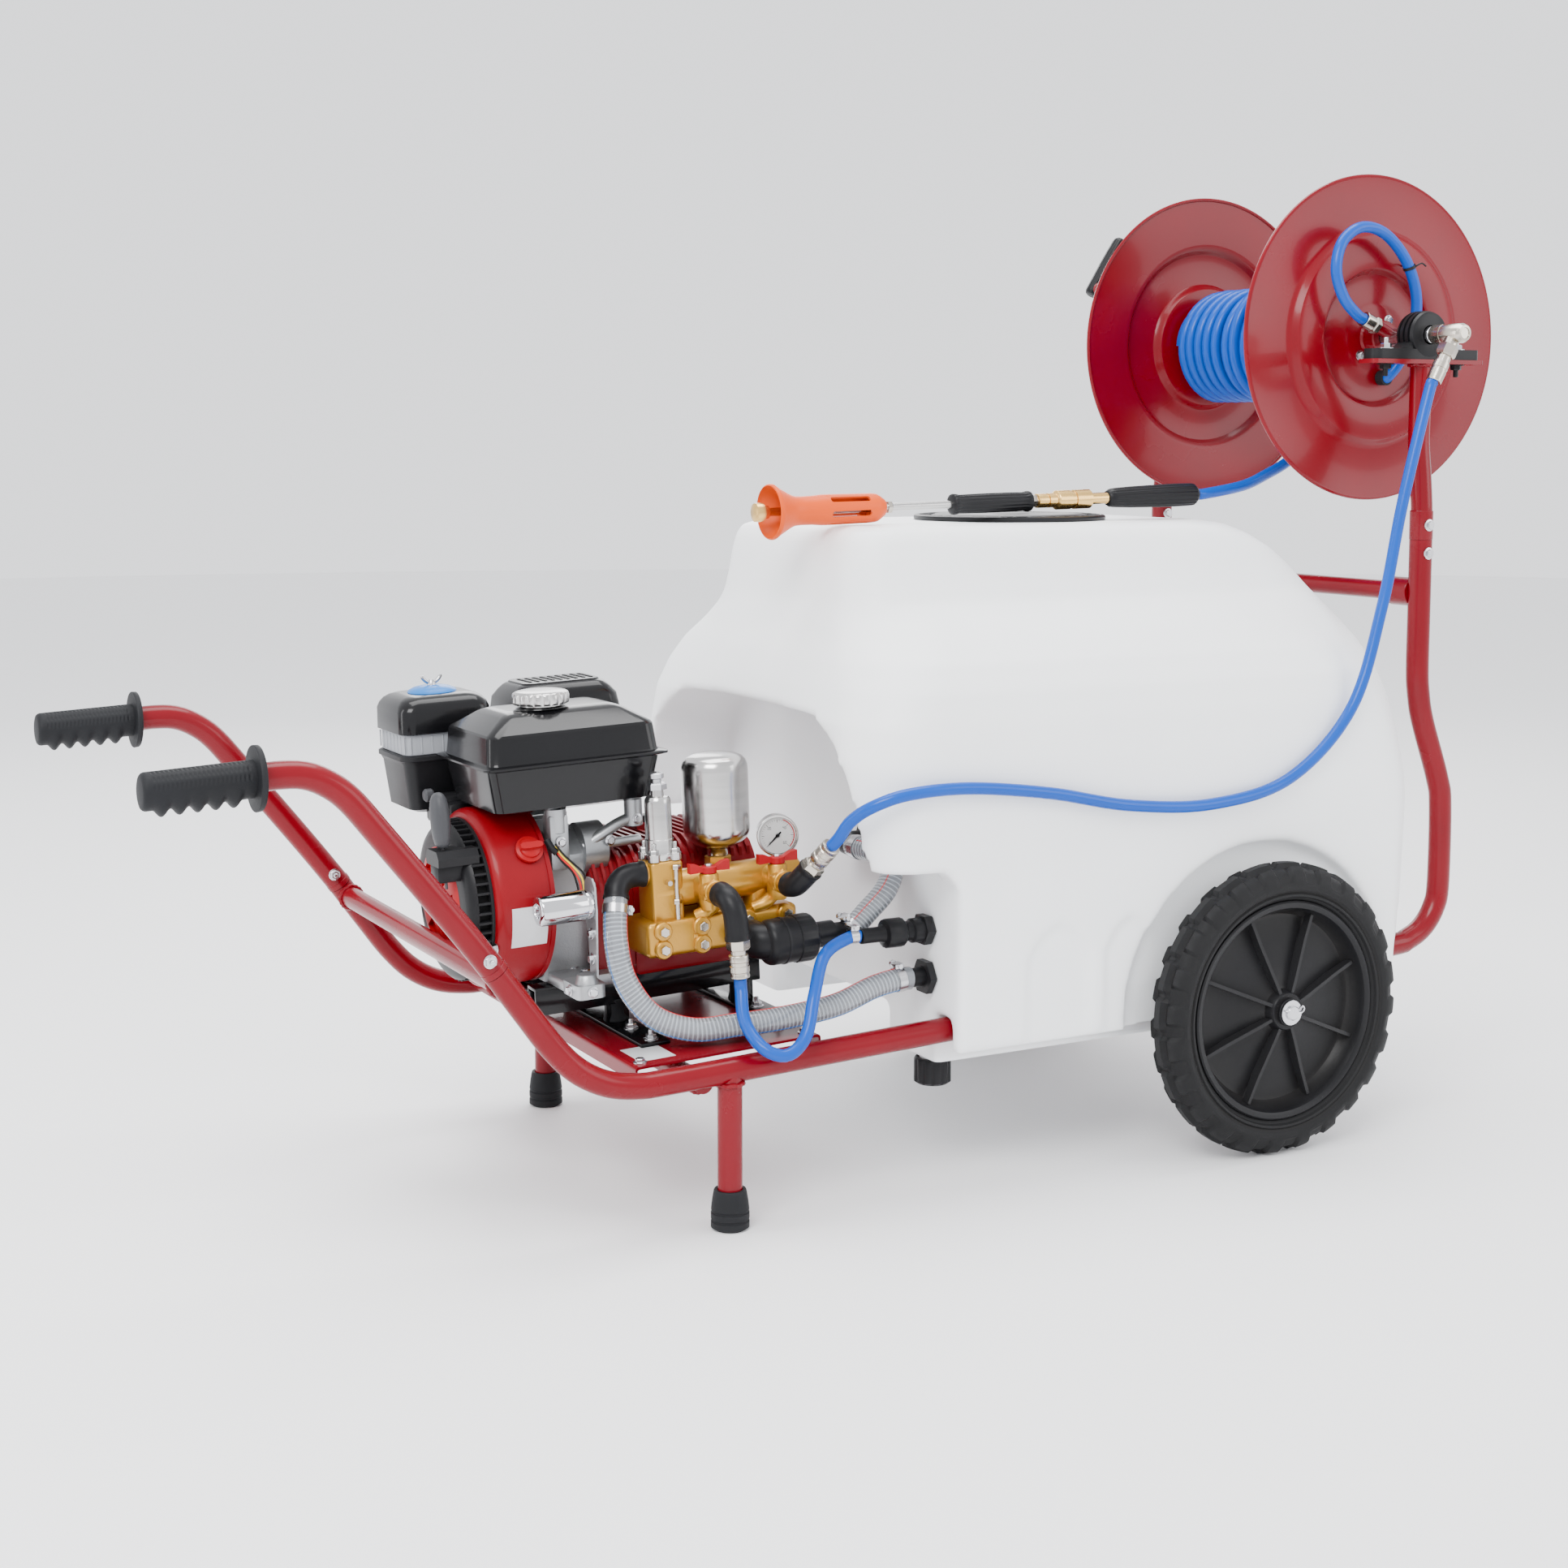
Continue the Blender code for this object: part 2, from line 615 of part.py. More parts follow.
def return_port():
    y, z = RETURN_PORT
    f = TANK_FRONT - GAP
    body = turned([(0.0100, -0.113), (0.0100, -0.086), (0.0118, -0.080),
                   (0.0185, -0.078), (0.0190, -0.052), (0.0130, -0.050),
                   (0.0130, -0.040), (0.0160, -0.038), (0.0160, -0.024), (0.0215, -0.022),
                   (0.0215, f)], "X", (0, y, z), 10)
    return body


put("return_port", return_port(), BLACK, 0.4)


def suction_port():
    y, z = SUCTION_PORT
    f = TANK_FRONT - GAP
    return turned([(0.0125, -0.040), (0.0125, -0.022), (0.0240, -0.0205), (0.0240, f)],
                  "X", (0, y, z), 12)


put("suction_port", suction_port(), BLACK, 0.4)

# ---- hose reel ---------------------------------------------------------------------------
PLATE_TOP = 1.0787


def reel_post(side):
    y = side * POST_Y
    tube = pipe([(POST_X, side * RAIL_Y, 0.825 + GAP), (POST_X, side * RAIL_Y, 0.870),
                 (POST_X, y, 0.960), (POST_X, y, 1.0735)], TUBE_R - 0.001, 14)
    plate = box(POST_X - 0.102, POST_X + 0.102, y - 0.019, y + 0.019, 1.0727, PLATE_TOP)
    return union(tube, plate)


def bearing(side):
    y = side * POST_Y
    base = box(POST_X - 0.098, POST_X + 0.098, y - 0.0165, y + 0.0165, PLATE_TOP + GAP,
               PLATE_TOP + 0.0145, 0.003)
    house = turned([(0.031, y - 0.0170), (0.034, y - 0.0140), (0.034, y + 0.0140),
                    (0.031, y + 0.0170)], "Y", (REEL_X, 0, REEL_Z), 16)
    bore = turned([(0.0124, y - 0.05), (0.0124, y + 0.05)], "Y", (REEL_X, 0, REEL_Z), 16)
    return cut(union(base, house), bore)


for side, tag in ((-1, "near"), (1, "far")):
    put("reel_post_" + tag, reel_post(side), RED, 0.3)
    put("reel_bearing_" + tag, bearing(side), BLACK, 0.5)

SHAFT_R = 0.0120
SHAFT_END = 0.3142
DRUM_R = 0.048


def half_disc_profile():
    """Radius and distance from the centre plane of one pressed disc, shaft end to drum."""
    y = DISC_Y
    return [(SHAFT_R, SHAFT_END), (SHAFT_R, y + 0.026), (0.024, y + 0.022), (0.026, y + 0.007),
            (0.050, y + 0.005), (0.090, y + 0.001), (0.099, y + 0.013),
            (0.146, y + 0.014), (0.156, y + 0.003), (REEL_R, y + 0.0035),
            (REEL_R, y - 0.003), (DRUM_R, y - 0.003)]


def crank_arm():
    a = Vector((REEL_X, 0.0, REEL_Z))
    b = Vector((0.667, 0.0, 1.208))
    along = (b - a).normalized()
    across = Vector((along.z, 0, -along.x)) * 0.011
    rim_pts = [a - along * 0.012 - across, b + along * 0.012 - across,
               b + along * 0.012 + across, a - along * 0.012 + across]
    return prism([(p.x, p.z) for p in rim_pts], "Y", SHAFT_END - 0.001, 0.3205)


def reel_spool():
    half = half_disc_profile()
    prof = [(r, -y) for r, y in half] + [(r, y) for r, y in reversed(half)]
    spool = turned(prof, "Y", (REEL_X, 0, REEL_Z), 28)
    elbow = pipe([(REEL_X, -0.234, REEL_Z), (REEL_X - 0.014, -0.236, REEL_Z + 0.006),
                  (REEL_X - 0.026, -0.236, REEL_Z + 0.011), (REEL_X - 0.040, -0.236, REEL_Z + 0.0165),
                  (REEL_X - 0.058, -0.236, REEL_Z + 0.024)], 0.009, 8)
    return union(spool, elbow, crank_arm())


REEL_HUB = (REEL_X, 0, REEL_Z)
put("reel_spool", reel_spool(), RED, 0.25, origin=REEL_HUB)

COIL_IN = DRUM_R + 0.0014
COIL_OUT = 0.088


def hose_coil():
    turns = 8
    width = 2 * (DISC_Y - 0.004)
    pitch = width / turns
    prof = [(COIL_IN, -width / 2)]
    for i in range(turns):
        y = -width / 2 + i * pitch
        prof.append((COIL_OUT - 0.005, y + pitch * 0.05))
        prof.append((COIL_OUT, y + pitch * 0.50))
    prof.append((COIL_OUT - 0.005, width / 2 - pitch * 0.05))
    prof.append((COIL_IN, width / 2))
    return ring_turned(prof, "Y", (REEL_X, 0, REEL_Z), 18)


put("hose_coil", hose_coil(), BLUE, 0.35, origin=REEL_HUB)

GRIP_PIVOT = Vector((0.667, 0.334, 1.208))
GRIP_DIR = Vector((0.552, 0, 0.834))


def crank_grip():
    a = GRIP_PIVOT - GRIP_DIR * 0.010
    pts = [a + GRIP_DIR * s for s in (0.0, 0.004, 0.030, 0.080, 0.104, 0.108)]
    return pipe(pts, 0.012, 12, radii=[0.010, 0.012, 0.0125, 0.0130, 0.0125, 0.010])


put("crank_grip", crank_grip(), BLACK, 0.6, origin=GRIP_PIVOT)


def reel_swivel():
    y0 = -SHAFT_END - GAP
    body = turned([(0.0105, y0), (0.0135, y0 - 0.003), (0.0135, -0.372), (0.0110, -0.375)][::-1],
                  "Y", (REEL_X, 0, REEL_Z), 12)
    start = Vector((REEL_X, -0.355, REEL_Z))
    end = Vector((0.7475, -0.3560, 1.0465))
    along = (end - start).normalized()
    length = (end - start).length
    stops = [0.0, 0.020, 0.0205, 0.036, 0.0365, 0.046, 0.0465, length]
    radii = [0.009, 0.009, 0.0135, 0.0135, 0.0095, 0.0095, 0.0110, 0.0105]
    branch = pipe([start + along * s for s in stops], 0.01, 8, radii=radii)
    return union(body, branch)


put("reel_swivel", reel_swivel(), STEEL, 0.25, 1.0)


# ---- engine ------------------------------------------------------------------------------
def engine_block():
    case = prism([(-0.105, 0.070), (0.060, 0.070), (0.066, 0.120), (0.060, 0.235), (0.0, 0.262),
                  (-0.070, 0.258), (-0.112, 0.220), (-0.120, 0.140)], "X", -0.4695, -0.3720)
    boss = turned([(0.050, -0.3800), (0.050, -0.3640), (0.040, -0.3590)], "X",
                  (0, CRANK_Y, CRANK_H), 20)
    arm = math.radians(25)
    lean = Matrix.Translation((0, CRANK_Y, CRANK_H)) @ Matrix.Rotation(arm, 4, "X")
    barrel = box(-0.455, -0.378, 0.060, 0.215, -0.036, 0.036)
    fins = [box(-0.4585, -0.3740, 0.098 + i * 0.017, 0.104 + i * 0.017, -0.043, 0.043)
            for i in range(6)]
    head = box(-0.452, -0.382, 0.200, 0.225, -0.030, 0.030, 0.006)
    for piece in [barrel, head] + fins:
        bmesh.ops.transform(piece, matrix=lean, verts=piece.verts)
    bracket_l = box(-0.462, -0.436, -0.115, -0.088, 0.215, 0.2937)
    bracket_r = box(-0.352, -0.330, -0.112, -0.088, 0.255, 0.2937)
    arm_r = box(-0.410, -0.332, -0.110, -0.070, 0.244, 0.262)
    foot_n = box(-0.465, -0.392, -0.142, -0.070, 0.0668, 0.082)
    foot_f = box(-0.465, -0.392, 0.030, 0.100, 0.0668, 0.082)
    return union(case, boss, barrel, head, bracket_l, bracket_r, arm_r, foot_n, foot_f, *fins)


put("engine_block", engine_block(), ALU, 0.4, 0.9, matrix=GROUP)


def fan_cowl():
    big = (CRANK_Y, CRANK_H, 0.1150)
    small = (0.050, 0.200, 0.060)
    outline = hull_outline([big, small], 28)
    inner = [(y * 0.955 - 0.0013, 0.18 + (h - 0.18) * 0.955) for y, h in outline]
    rings = [[(-0.4700, y, h) for y, h in outline], [(-0.5340, y, h) for y, h in outline],
             [(-0.5470, y, h) for y, h in inner]]
    return skin(rings)


put("fan_cowl", fan_cowl(), RED, 0.3, matrix=GROUP)


def recoil_housing():
    prof = [(0.1040, -0.5473), (0.1040, -0.5520), (0.1000, -0.5700), (0.0940, -0.5765),
            (0.0740, -0.5805), (0.0400, -0.5815)]
    return turned(prof, "X", (0, CRANK_Y, CRANK_H), 20)


put("recoil_housing", recoil_housing(), BLACK, 0.4, matrix=GROUP)

PULL_AT = Vector((-0.5960, -0.090, 0.2930))


def recoil_handle():
    a = PULL_AT
    up = Vector((0, 0.12, 0.993))
    pts = [a - up * 0.034, a - up * 0.026, a, a + up * 0.026, a + up * 0.034]
    return pipe(pts, 0.01, 12, radii=[0.007, 0.0115, 0.0130, 0.0115, 0.007])


put("recoil_handle", recoil_handle(), (0.25, 0.25, 0.26), 0.5, origin=PULL_AT, matrix=GROUP)

TANK_X = (-0.555, -0.307)
TANK_Y = (-0.150, 0.040)
TANK_SEAM = 0.356


def fuel_tank():
    """Two pressed shells joined on a seam flange, the upper one with sloped shoulders."""
    cx = sum(TANK_X) / 2
    cy = sum(TANK_Y) / 2
    hx = (TANK_X[1] - TANK_X[0]) / 2
    hy = (TANK_Y[1] - TANK_Y[0]) / 2

    def ring(h, inset, r):
        pts = []
        x, y = hx - inset, hy - inset
        for sx, sy, a0 in ((-1, -1, math.pi), (1, -1, 1.5 * math.pi), (1, 1, 0.0),
                           (-1, 1, 0.5 * math.pi)):
            for i in range(4):
                a = a0 + i * math.pi / 6
                pts.append((cx + sx * (x - r) + r * math.cos(a), cy + sy * (y - r) + r * math.sin(a), h))
        return pts
    levels = [(0.2940, 0.040, 0.030), (0.3000, 0.022, 0.034), (0.3535, 0.009, 0.036),
              (0.3545, 0.001, 0.040), (0.3590, 0.000, 0.040), (0.3600, 0.009, 0.036),
              (0.4000, 0.014, 0.034), (0.4080, 0.020, 0.030), (0.4230, 0.044, 0.022),
              (0.4270, 0.052, 0.018)]
    return skin([ring(*level) for level in levels])


put("fuel_tank", fuel_tank(), BLACK, 0.25, matrix=GROUP)

CAP_AT = Vector((-0.448, -0.070, 0.4270))


def fuel_cap():
    rings = []
    for i, (r, h) in enumerate([(0.026, 0.4273), (0.026, 0.4310), (0.0350, 0.4325), (0.0360, 0.4360),
                                (0.0360, 0.4440), (0.0330, 0.4480), (0.020, 0.4500)]):
        ring = []
        for k in range(18):
            a = 2 * math.pi * k / 18
            rr = r - (0.0014 if (k % 3 == 0 and 3 <= i <= 4) else 0.0)
            ring.append((CAP_AT.x + rr * math.cos(a), CAP_AT.y + rr * math.sin(a), h))
        rings.append(ring)
    return skin(rings)


put("fuel_cap", fuel_cap(), STEEL, 0.2, 1.0, origin=CAP_AT, matrix=GROUP)


def rounded_block(levels, cx, cy):
    """Loft of rounded rectangles: (height, half x, half y, corner radius)."""
    rings = []
    for h, x, y, r in levels:
        pts = []
        for sx, sy, a0 in ((-1, -1, math.pi), (1, -1, 1.5 * math.pi), (1, 1, 0.0),
                           (-1, 1, 0.5 * math.pi)):
            for i in range(3):
                a = a0 + i * math.pi / 4
                pts.append((cx + sx * (x - r) + r * math.cos(a), cy + sy * (y - r) + r * math.sin(a), h))
        rings.append(pts)
    return skin(rings)


def air_cleaner():
    levels = [(0.2750, 0.040, 0.040, 0.012), (0.2800, 0.052, 0.050, 0.014), (0.3440, 0.060, 0.056, 0.016),
              (0.3450, 0.063, 0.060, 0.018), (0.3520, 0.063, 0.060, 0.018), (0.3530, 0.058, 0.055, 0.014),
              (0.3780, 0.058, 0.055, 0.014), (0.3790, 0.063, 0.060, 0.018), (0.4120, 0.062, 0.059, 0.018),
              (0.4240, 0.048, 0.045, 0.016), (0.4270, 0.038, 0.036, 0.014)]
    body = rounded_block(levels, -0.526, 0.118)
    disc = turned([(0.0300, 0.4250), (0.0300, 0.4330), (0.0240, 0.4370)], "Z", (-0.526, 0.118, 0), 18)
    return union(body, disc)


put("air_cleaner", air_cleaner(), BLACK, 0.35, matrix=GROUP)


def muffler():
    levels = [(0.3050, 0.066, 0.046, 0.012), (0.3100, 0.074, 0.053, 0.014), (0.3900, 0.077, 0.056, 0.016),
              (0.4080, 0.075, 0.054, 0.018), (0.4260, 0.060, 0.042, 0.016), (0.4290, 0.050, 0.034, 0.014)]
    return rounded_block(levels, -0.355, 0.1150)


put("muffler", muffler(), BLACK, 0.4, matrix=GROUP)

LEVER_AT = Vector((-0.5470, 0.047, 0.260))


def throttle_lever():
    hub = turned([(0.0062, -0.5600), (0.0062, -0.5473)], "X", (0, LEVER_AT.y, LEVER_AT.z), 12)
    arm = box(-0.5600, -0.5560, LEVER_AT.y - 0.004, LEVER_AT.y + 0.004, LEVER_AT.z, LEVER_AT.z + 0.042)
    knob = turned([(0.007, -0.5690), (0.0085, -0.5660), (0.0085, -0.5590), (0.006, -0.5560)], "X",
                  (0, LEVER_AT.y, LEVER_AT.z + 0.042), 12)
    return union(hub, arm, knob)


put("throttle_lever", throttle_lever(), (0.3, 0.3, 0.3), 0.4, 0.6, origin=LEVER_AT, matrix=GROUP)

SWITCH_ANGLE = math.radians(37)
SWITCH_DIR = Vector((0, -math.cos(SWITCH_ANGLE), math.sin(SWITCH_ANGLE)))
SWITCH_AT = Vector((-0.495, CRANK_Y, CRANK_H)) + SWITCH_DIR * (0.1150 + GAP)


def engine_switch():
    stops = [(0.0, 0.017), (0.006, 0.0175), (0.0062, 0.0140), (0.0100, 0.0135), (0.0115, 0.011)]
    disc = spun(stops, SWITCH_AT, SWITCH_DIR, 10)
    bar = box(-0.014, 0.014, -0.003, 0.003, 0.009, 0.0175)
    tip = Matrix.Translation(SWITCH_AT) @ Matrix.Rotation(math.pi / 2 - SWITCH_ANGLE, 4, "X")
    bmesh.ops.transform(bar, matrix=tip, verts=bar.verts)
    return union(disc, bar)


put("engine_switch", engine_switch(), RED, 0.4, origin=SWITCH_AT, matrix=GROUP)


def canister():
    y, h = -0.176, 0.182
    can = turned([(0.0110, -0.5090), (0.0180, -0.5075), (0.0190, -0.5040), (0.0190, -0.4420),
                  (0.0170, -0.4380)], "X", (0, y, h), 14)
    hole = turned([(0.0085, -0.5200), (0.0085, -0.4900)], "X", (0, y, h), 12)
    web = prism([(y - 0.011, 0.090), (y + 0.009, 0.090), (y + 0.010, 0.130), (y + 0.017, 0.180),
                 (y + 0.014, 0.215), (y - 0.014, 0.215), (y - 0.018, 0.180)], "X", -0.4410, -0.4360)
    base = box(-0.4680, -0.4300, y - 0.022, y + 0.0330, 0.0680, 0.0960, 0.004)
    return union(cut(can, hole), web, base)


put("pulse_canister", canister(), STEEL, 0.2, 1.0, matrix=GROUP)


# ---- pump --------------------------------------------------------------------------------
def pump_crankcase():
    case = prism([(-0.1218, 0.0720), (0.080, 0.0720), (0.086, 0.110), (0.084, 0.190), (0.060, 0.226),
                  (-0.085, 0.226), (-0.110, 0.205), (-0.1218, 0.175)], "X", PUMP_X0, PUMP_X1)
    boss = turned([(0.034, -0.3587), (0.040, -0.3540), (0.040, -0.3400)], "X", (0, CRANK_Y, CRANK_H), 20)
    ribs = [box(PUMP_X0 + 0.014 + i * 0.026, PUMP_X0 + 0.022 + i * 0.026, -0.100, 0.070, 0.215, 0.236)
            for i in range(6)]
    feet = [box(-0.352, -0.178, -0.121, -0.070, 0.0668, 0.080), box(-0.352, -0.178, 0.030, 0.085, 0.0668, 0.080)]
    return union(case, boss, *ribs, *feet)


put("pump_crankcase", pump_crankcase(), RED, 0.35, matrix=GROUP)

VALVE_X = (-0.287, -0.190)
VALVE_Y = -0.203
GALLERY_H = 0.184
CHAMBER = (-0.240, -0.122)
REGULATOR = (-0.336, -0.165)


def pump_manifold():
    lower = box(-0.3720, -0.1600, -0.1990, -0.1221, 0.105, 0.150, 0.010, 2)
    gallery = turned([(0.020, -0.3560), (0.0235, -0.3520), (0.0235, -0.1480), (0.020, -0.1440)], "X",
                     (0, MANI_Y, GALLERY_H), 12)
    block = box(-0.3577, -0.3150, -0.1880, -0.1420, 0.140, 0.2237, 0.005)
    parts = [gallery, block]
    for x in (-0.330, -0.266, -0.200):
        parts.append(rod((x, MANI_Y, 0.140), (x, MANI_Y, GALLERY_H), 0.019, 10))
    for x in VALVE_X:
        parts.append(rod((x, VALVE_Y, 0.166), (x, VALVE_Y, 0.2057), 0.0125, 10))
        parts.append(rod((x, MANI_Y, GALLERY_H), (x, -0.2347, GALLERY_H), 0.0135, 10))
    cx, cy = CHAMBER
    parts.append(rod((cx, cy - 0.012, GALLERY_H), (cx, cy - 0.012, 0.2117), 0.015, 12))
    parts.append(box(cx - 0.018, cx + 0.018, MANI_Y, -0.1230, 0.172, 0.198))
    return union(lower, *parts)


put("pump_manifold", pump_manifold(), BRASS, 0.35, 0.9, matrix=GROUP)


def pressure_regulator():
    x, y = REGULATOR
    prof = [(0.0200, 0.2240), (0.0200, 0.2320), (0.0170, 0.2330), (0.0170, 0.2990), (0.0150, 0.3040),
            (0.0080, 0.3050), (0.0080, 0.3120)]
    return turned(prof, "Z", (x, y, 0), 12)


put("pressure_regulator", pressure_regulator(), STEEL, 0.2, 1.0, matrix=GROUP)


def regulator_knob():
    x, y = REGULATOR
    prof = [(0.0100, 0.3123), (0.0125, 0.3140), (0.0125, 0.3210), (0.0070, 0.3230), (0.0070, 0.3260),
            (0.0095, 0.3275), (0.0095, 0.3330), (0.0070, 0.3345)]
    return turned(prof, "Z", (x, y, 0), 10)


put("regulator_knob", regulator_knob(), STEEL, 0.3, 1.0,
    origin=(REGULATOR[0], REGULATOR[1], 0.3123), matrix=GROUP)


def air_chamber():
    cx, cy = CHAMBER
    prof = [(0.0140, 0.2120), (0.0140, 0.2210), (0.0165, 0.2225), (0.0370, 0.2500), (0.0423, 0.2600),
            (0.0433, 0.2680), (0.0433, 0.3240), (0.0410, 0.3350), (0.0350, 0.3420), (0.0190, 0.3460)]
    return turned(prof, "Z", (cx, cy - 0.012, 0), 16)


put("air_chamber", air_chamber(), STEEL, 0.12, 1.0, matrix=GROUP)

GAUGE = Vector((-0.1670, -0.1600, 0.2345))
GAUGE_R = 0.0272
FACE = Vector((-0.36, -0.933, 0.0)).normalized()


def gauge_case():
    stops = [(-0.012, 0.022), (-0.010, 0.0258), (0.011, 0.0258), (0.0115, GAUGE_R), (0.0165, GAUGE_R),
             (0.0165, 0.0242), (0.0125, 0.0239)]
    drum = spun(stops, GAUGE, FACE, 18)
    stem = rod((GAUGE.x, GAUGE.y, 0.2079), (GAUGE.x, GAUGE.y, 0.220), 0.0065, 10)
    return union(drum, stem)


put("gauge_case", gauge_case(), STEEL, 0.2, 1.0, matrix=GROUP)

NEEDLE_AT = GAUGE + FACE * 0.0131


def gauge_needle():
    right = Vector((-FACE.y, FACE.x, 0))
    up = Vector((0, 0, 1))

    def at(a, b, out):
        return NEEDLE_AT + right * a + up * b + FACE * out
    turn = math.radians(-135)
    c, s = math.cos(turn), math.sin(turn)
    shape = [(-0.0012, -0.007), (0.0012, -0.007), (0.0016, 0.0), (0.0004, 0.0185), (-0.0004, 0.0185),
             (-0.0016, 0.0)]
    shape = [(c * a - s * b, s * a + c * b) for a, b in shape]
    turned_shape = [(-a, b) for a, b in shape]
    return skin([[at(a, b, 0.0) for a, b in turned_shape], [at(a, b, 0.0009) for a, b in turned_shape]])


put("gauge_needle", gauge_needle(), BLACK, 0.5, origin=NEEDLE_AT, matrix=GROUP)


def valve_handle(x):
    hub = turned([(0.0100, 0.2060), (0.0100, 0.2150), (0.0070, 0.2170)], "Z", (x, VALVE_Y, 0), 12)
    wings = prism([(-0.0270, 0.2155), (-0.0270, 0.2065), (-0.006, 0.2080), (0.006, 0.2080),
                   (0.0270, 0.2065), (0.0270, 0.2155), (0.008, 0.2125), (-0.008, 0.2125)],
                  "Y", -0.0045, 0.0045)
    bmesh.ops.translate(wings, verts=wings.verts, vec=(x, VALVE_Y, 0))
    return union(hub, wings)


for x, tag in zip(VALVE_X, ("left", "right")):
    put("valve_handle_" + tag, valve_handle(x), RED, 0.35, origin=(x, VALVE_Y, 0.2060), matrix=GROUP)


def fitted(path, elbow_r, ferrule_from, ferrule_to, ferrule_r):
    """Moulded elbow ending in a stepped crimp ferrule."""
    elbow = pipe(path, elbow_r, 10)
    a, b = Vector(ferrule_from), Vector(ferrule_to)
    stops = [(0.0, 0.95), (0.30, 1.0), (0.31, 0.78), (0.42, 0.78), (0.43, 0.92), (1.0, 0.88)]
    crimp = pipe([a.lerp(b, t) for t, _ in stops], 0.01, 10, radii=[ferrule_r * k for _, k in stops])
    return union(elbow, crimp)


ELBOW_R = 0.0155
x1, x2 = VALVE_X
MID_END = Vector((x1 + 0.006, -0.268, 0.0840))
mid_path = [(x1, -0.2350, GALLERY_H), (x1, -0.2460, GALLERY_H), (x1 + 0.001, -0.2560, GALLERY_H - 0.005),
            (x1 + 0.003, -0.2630, GALLERY_H - 0.014), (x1 + 0.004, -0.2660, GALLERY_H - 0.026),
            (x1 + 0.005, -0.2670, GALLERY_H - 0.055)]
put("elbow_outlet_mid", fitted(mid_path, ELBOW_R, (x1 + 0.005, -0.267, GALLERY_H - 0.050), MID_END, 0.0140),
    BLACK, 0.5, matrix=GROUP)

right_dir = Vector((0.30, -0.66, 0.69)).normalized()
right_bend = Vector((x2 + 0.0130, -0.2700, GALLERY_H + 0.0240))
RIGHT_END = right_bend + right_dir * 0.046
right_path = [(x2, -0.2350, GALLERY_H), (x2, -0.2430, GALLERY_H), (x2 + 0.002, -0.2515, GALLERY_H + 0.0035),
              (x2 + 0.007, -0.2610, GALLERY_H + 0.0130), right_bend]
put("elbow_outlet_right", fitted(right_path, ELBOW_R, right_bend - right_dir * 0.004, RIGHT_END, 0.0140),
    BLACK, 0.5, matrix=GROUP)

bypass_path = [(-0.3580, MANI_Y, 0.2080), (-0.3760, MANI_Y, 0.2080), (-0.3900, MANI_Y - 0.003, 0.2050),
               (-0.4000, MANI_Y - 0.008, 0.1960), (-0.4040, MANI_Y - 0.013, 0.1840)]
put("elbow_bypass", pipe(bypass_path, ELBOW_R, 10), BLACK, 0.5, matrix=GROUP)
BYPASS_END = Vector(bypass_path[-1])


def inlet_strainer():
    y = -0.238
    inlet = pipe([(-0.238, -0.1993, 0.118), (-0.238, -0.215, 0.118), (-0.236, -0.228, 0.117),
                  (-0.228, -0.236, 0.116), (-0.214, y, 0.115)], 0.0235, 10)
    body = turned([(0.0240, -0.2300), (0.0290, -0.2260), (0.0290, -0.1900), (0.0310, -0.1890),
                   (0.0310, -0.1680), (0.0250, -0.1630), (0.0165, -0.1600), (0.0165, -0.1330),
                   (0.0120, -0.1310), (0.0120, -0.1180)], "X", (0, y, 0.114), 12)
    return union(inlet, body)


put("inlet_strainer", inlet_strainer(), BLACK, 0.5, matrix=GROUP)

# ---- spray lance on the deck ---------------------------------------------------------------
LANCE_Y = -0.100
LANCE_A = Vector((-0.178, LANCE_Y, 0.8720))
LANCE_B = Vector((0.540, LANCE_Y, 0.8880))
LANCE_DIR = (LANCE_B - LANCE_A).normalized()
LANCE_LEN = (LANCE_B - LANCE_A).length


def along_lance(stops, sides=10):
    pts = [LANCE_A + LANCE_DIR * s for s, r in stops]
    return pipe(pts, 0.01, sides, radii=[r for s, r in stops])


def hollow_lance(outer, inner_r, sides=14):
    """Sleeve along the lance: outer (station, radius) list and one bore radius."""
    stops = list(outer) + [(outer[-1][0], inner_r), (outer[0][0], inner_r)]
    rings = []
    side = Vector((0, 1, 0))
    up = LANCE_DIR.cross(side)
    for s, r in stops:
        p = LANCE_A + LANCE_DIR * s
        rings.append([p + side * (r * math.cos(2 * math.pi * k / sides))
                      + up * (r * math.sin(2 * math.pi * k / sides)) for k in range(sides)])
    return skin(rings, caps=False)


put("lance_tube", along_lance([(0.000, 0.0080), (0.002, 0.0125), (0.012, 0.0125), (0.013, 0.0085),
                               (0.020, 0.0085), (0.021, 0.0055), (0.440, 0.0055), (0.441, 0.0100),
                               (0.472, 0.0100), (0.473, 0.0135), (0.530, 0.0135), (0.531, 0.0080),
                               (0.560, 0.0080)], 10), BRASS, 0.3, 0.9)
put("lance_guard", hollow_lance([(0.022, 0.0350), (0.026, 0.0370), (0.040, 0.0290), (0.058, 0.0200),
                                 (0.075, 0.0190), (0.100, 0.0205), (0.180, 0.0195), (0.194, 0.0120)],
                                0.0060, 12), (0.85, 0.20, 0.03), 0.45)
put("lance_grip_front", hollow_lance([(0.302, 0.0110), (0.306, 0.0145), (0.312, 0.0130), (0.360, 0.0135),
                                      (0.420, 0.0130), (0.426, 0.0145), (0.430, 0.0110)], 0.0060, 10),
    BLACK, 0.4)
TWIST_AT = LANCE_A + LANCE_DIR * 0.5605
put("lance_grip_rear", along_lance([(0.5605, 0.0095), (0.566, 0.0130), (0.600, 0.0150), (0.680, 0.0165),
                                    (0.712, 0.0160), (LANCE_LEN, 0.0110)], 10), BLACK, 0.4, origin=TWIST_AT)

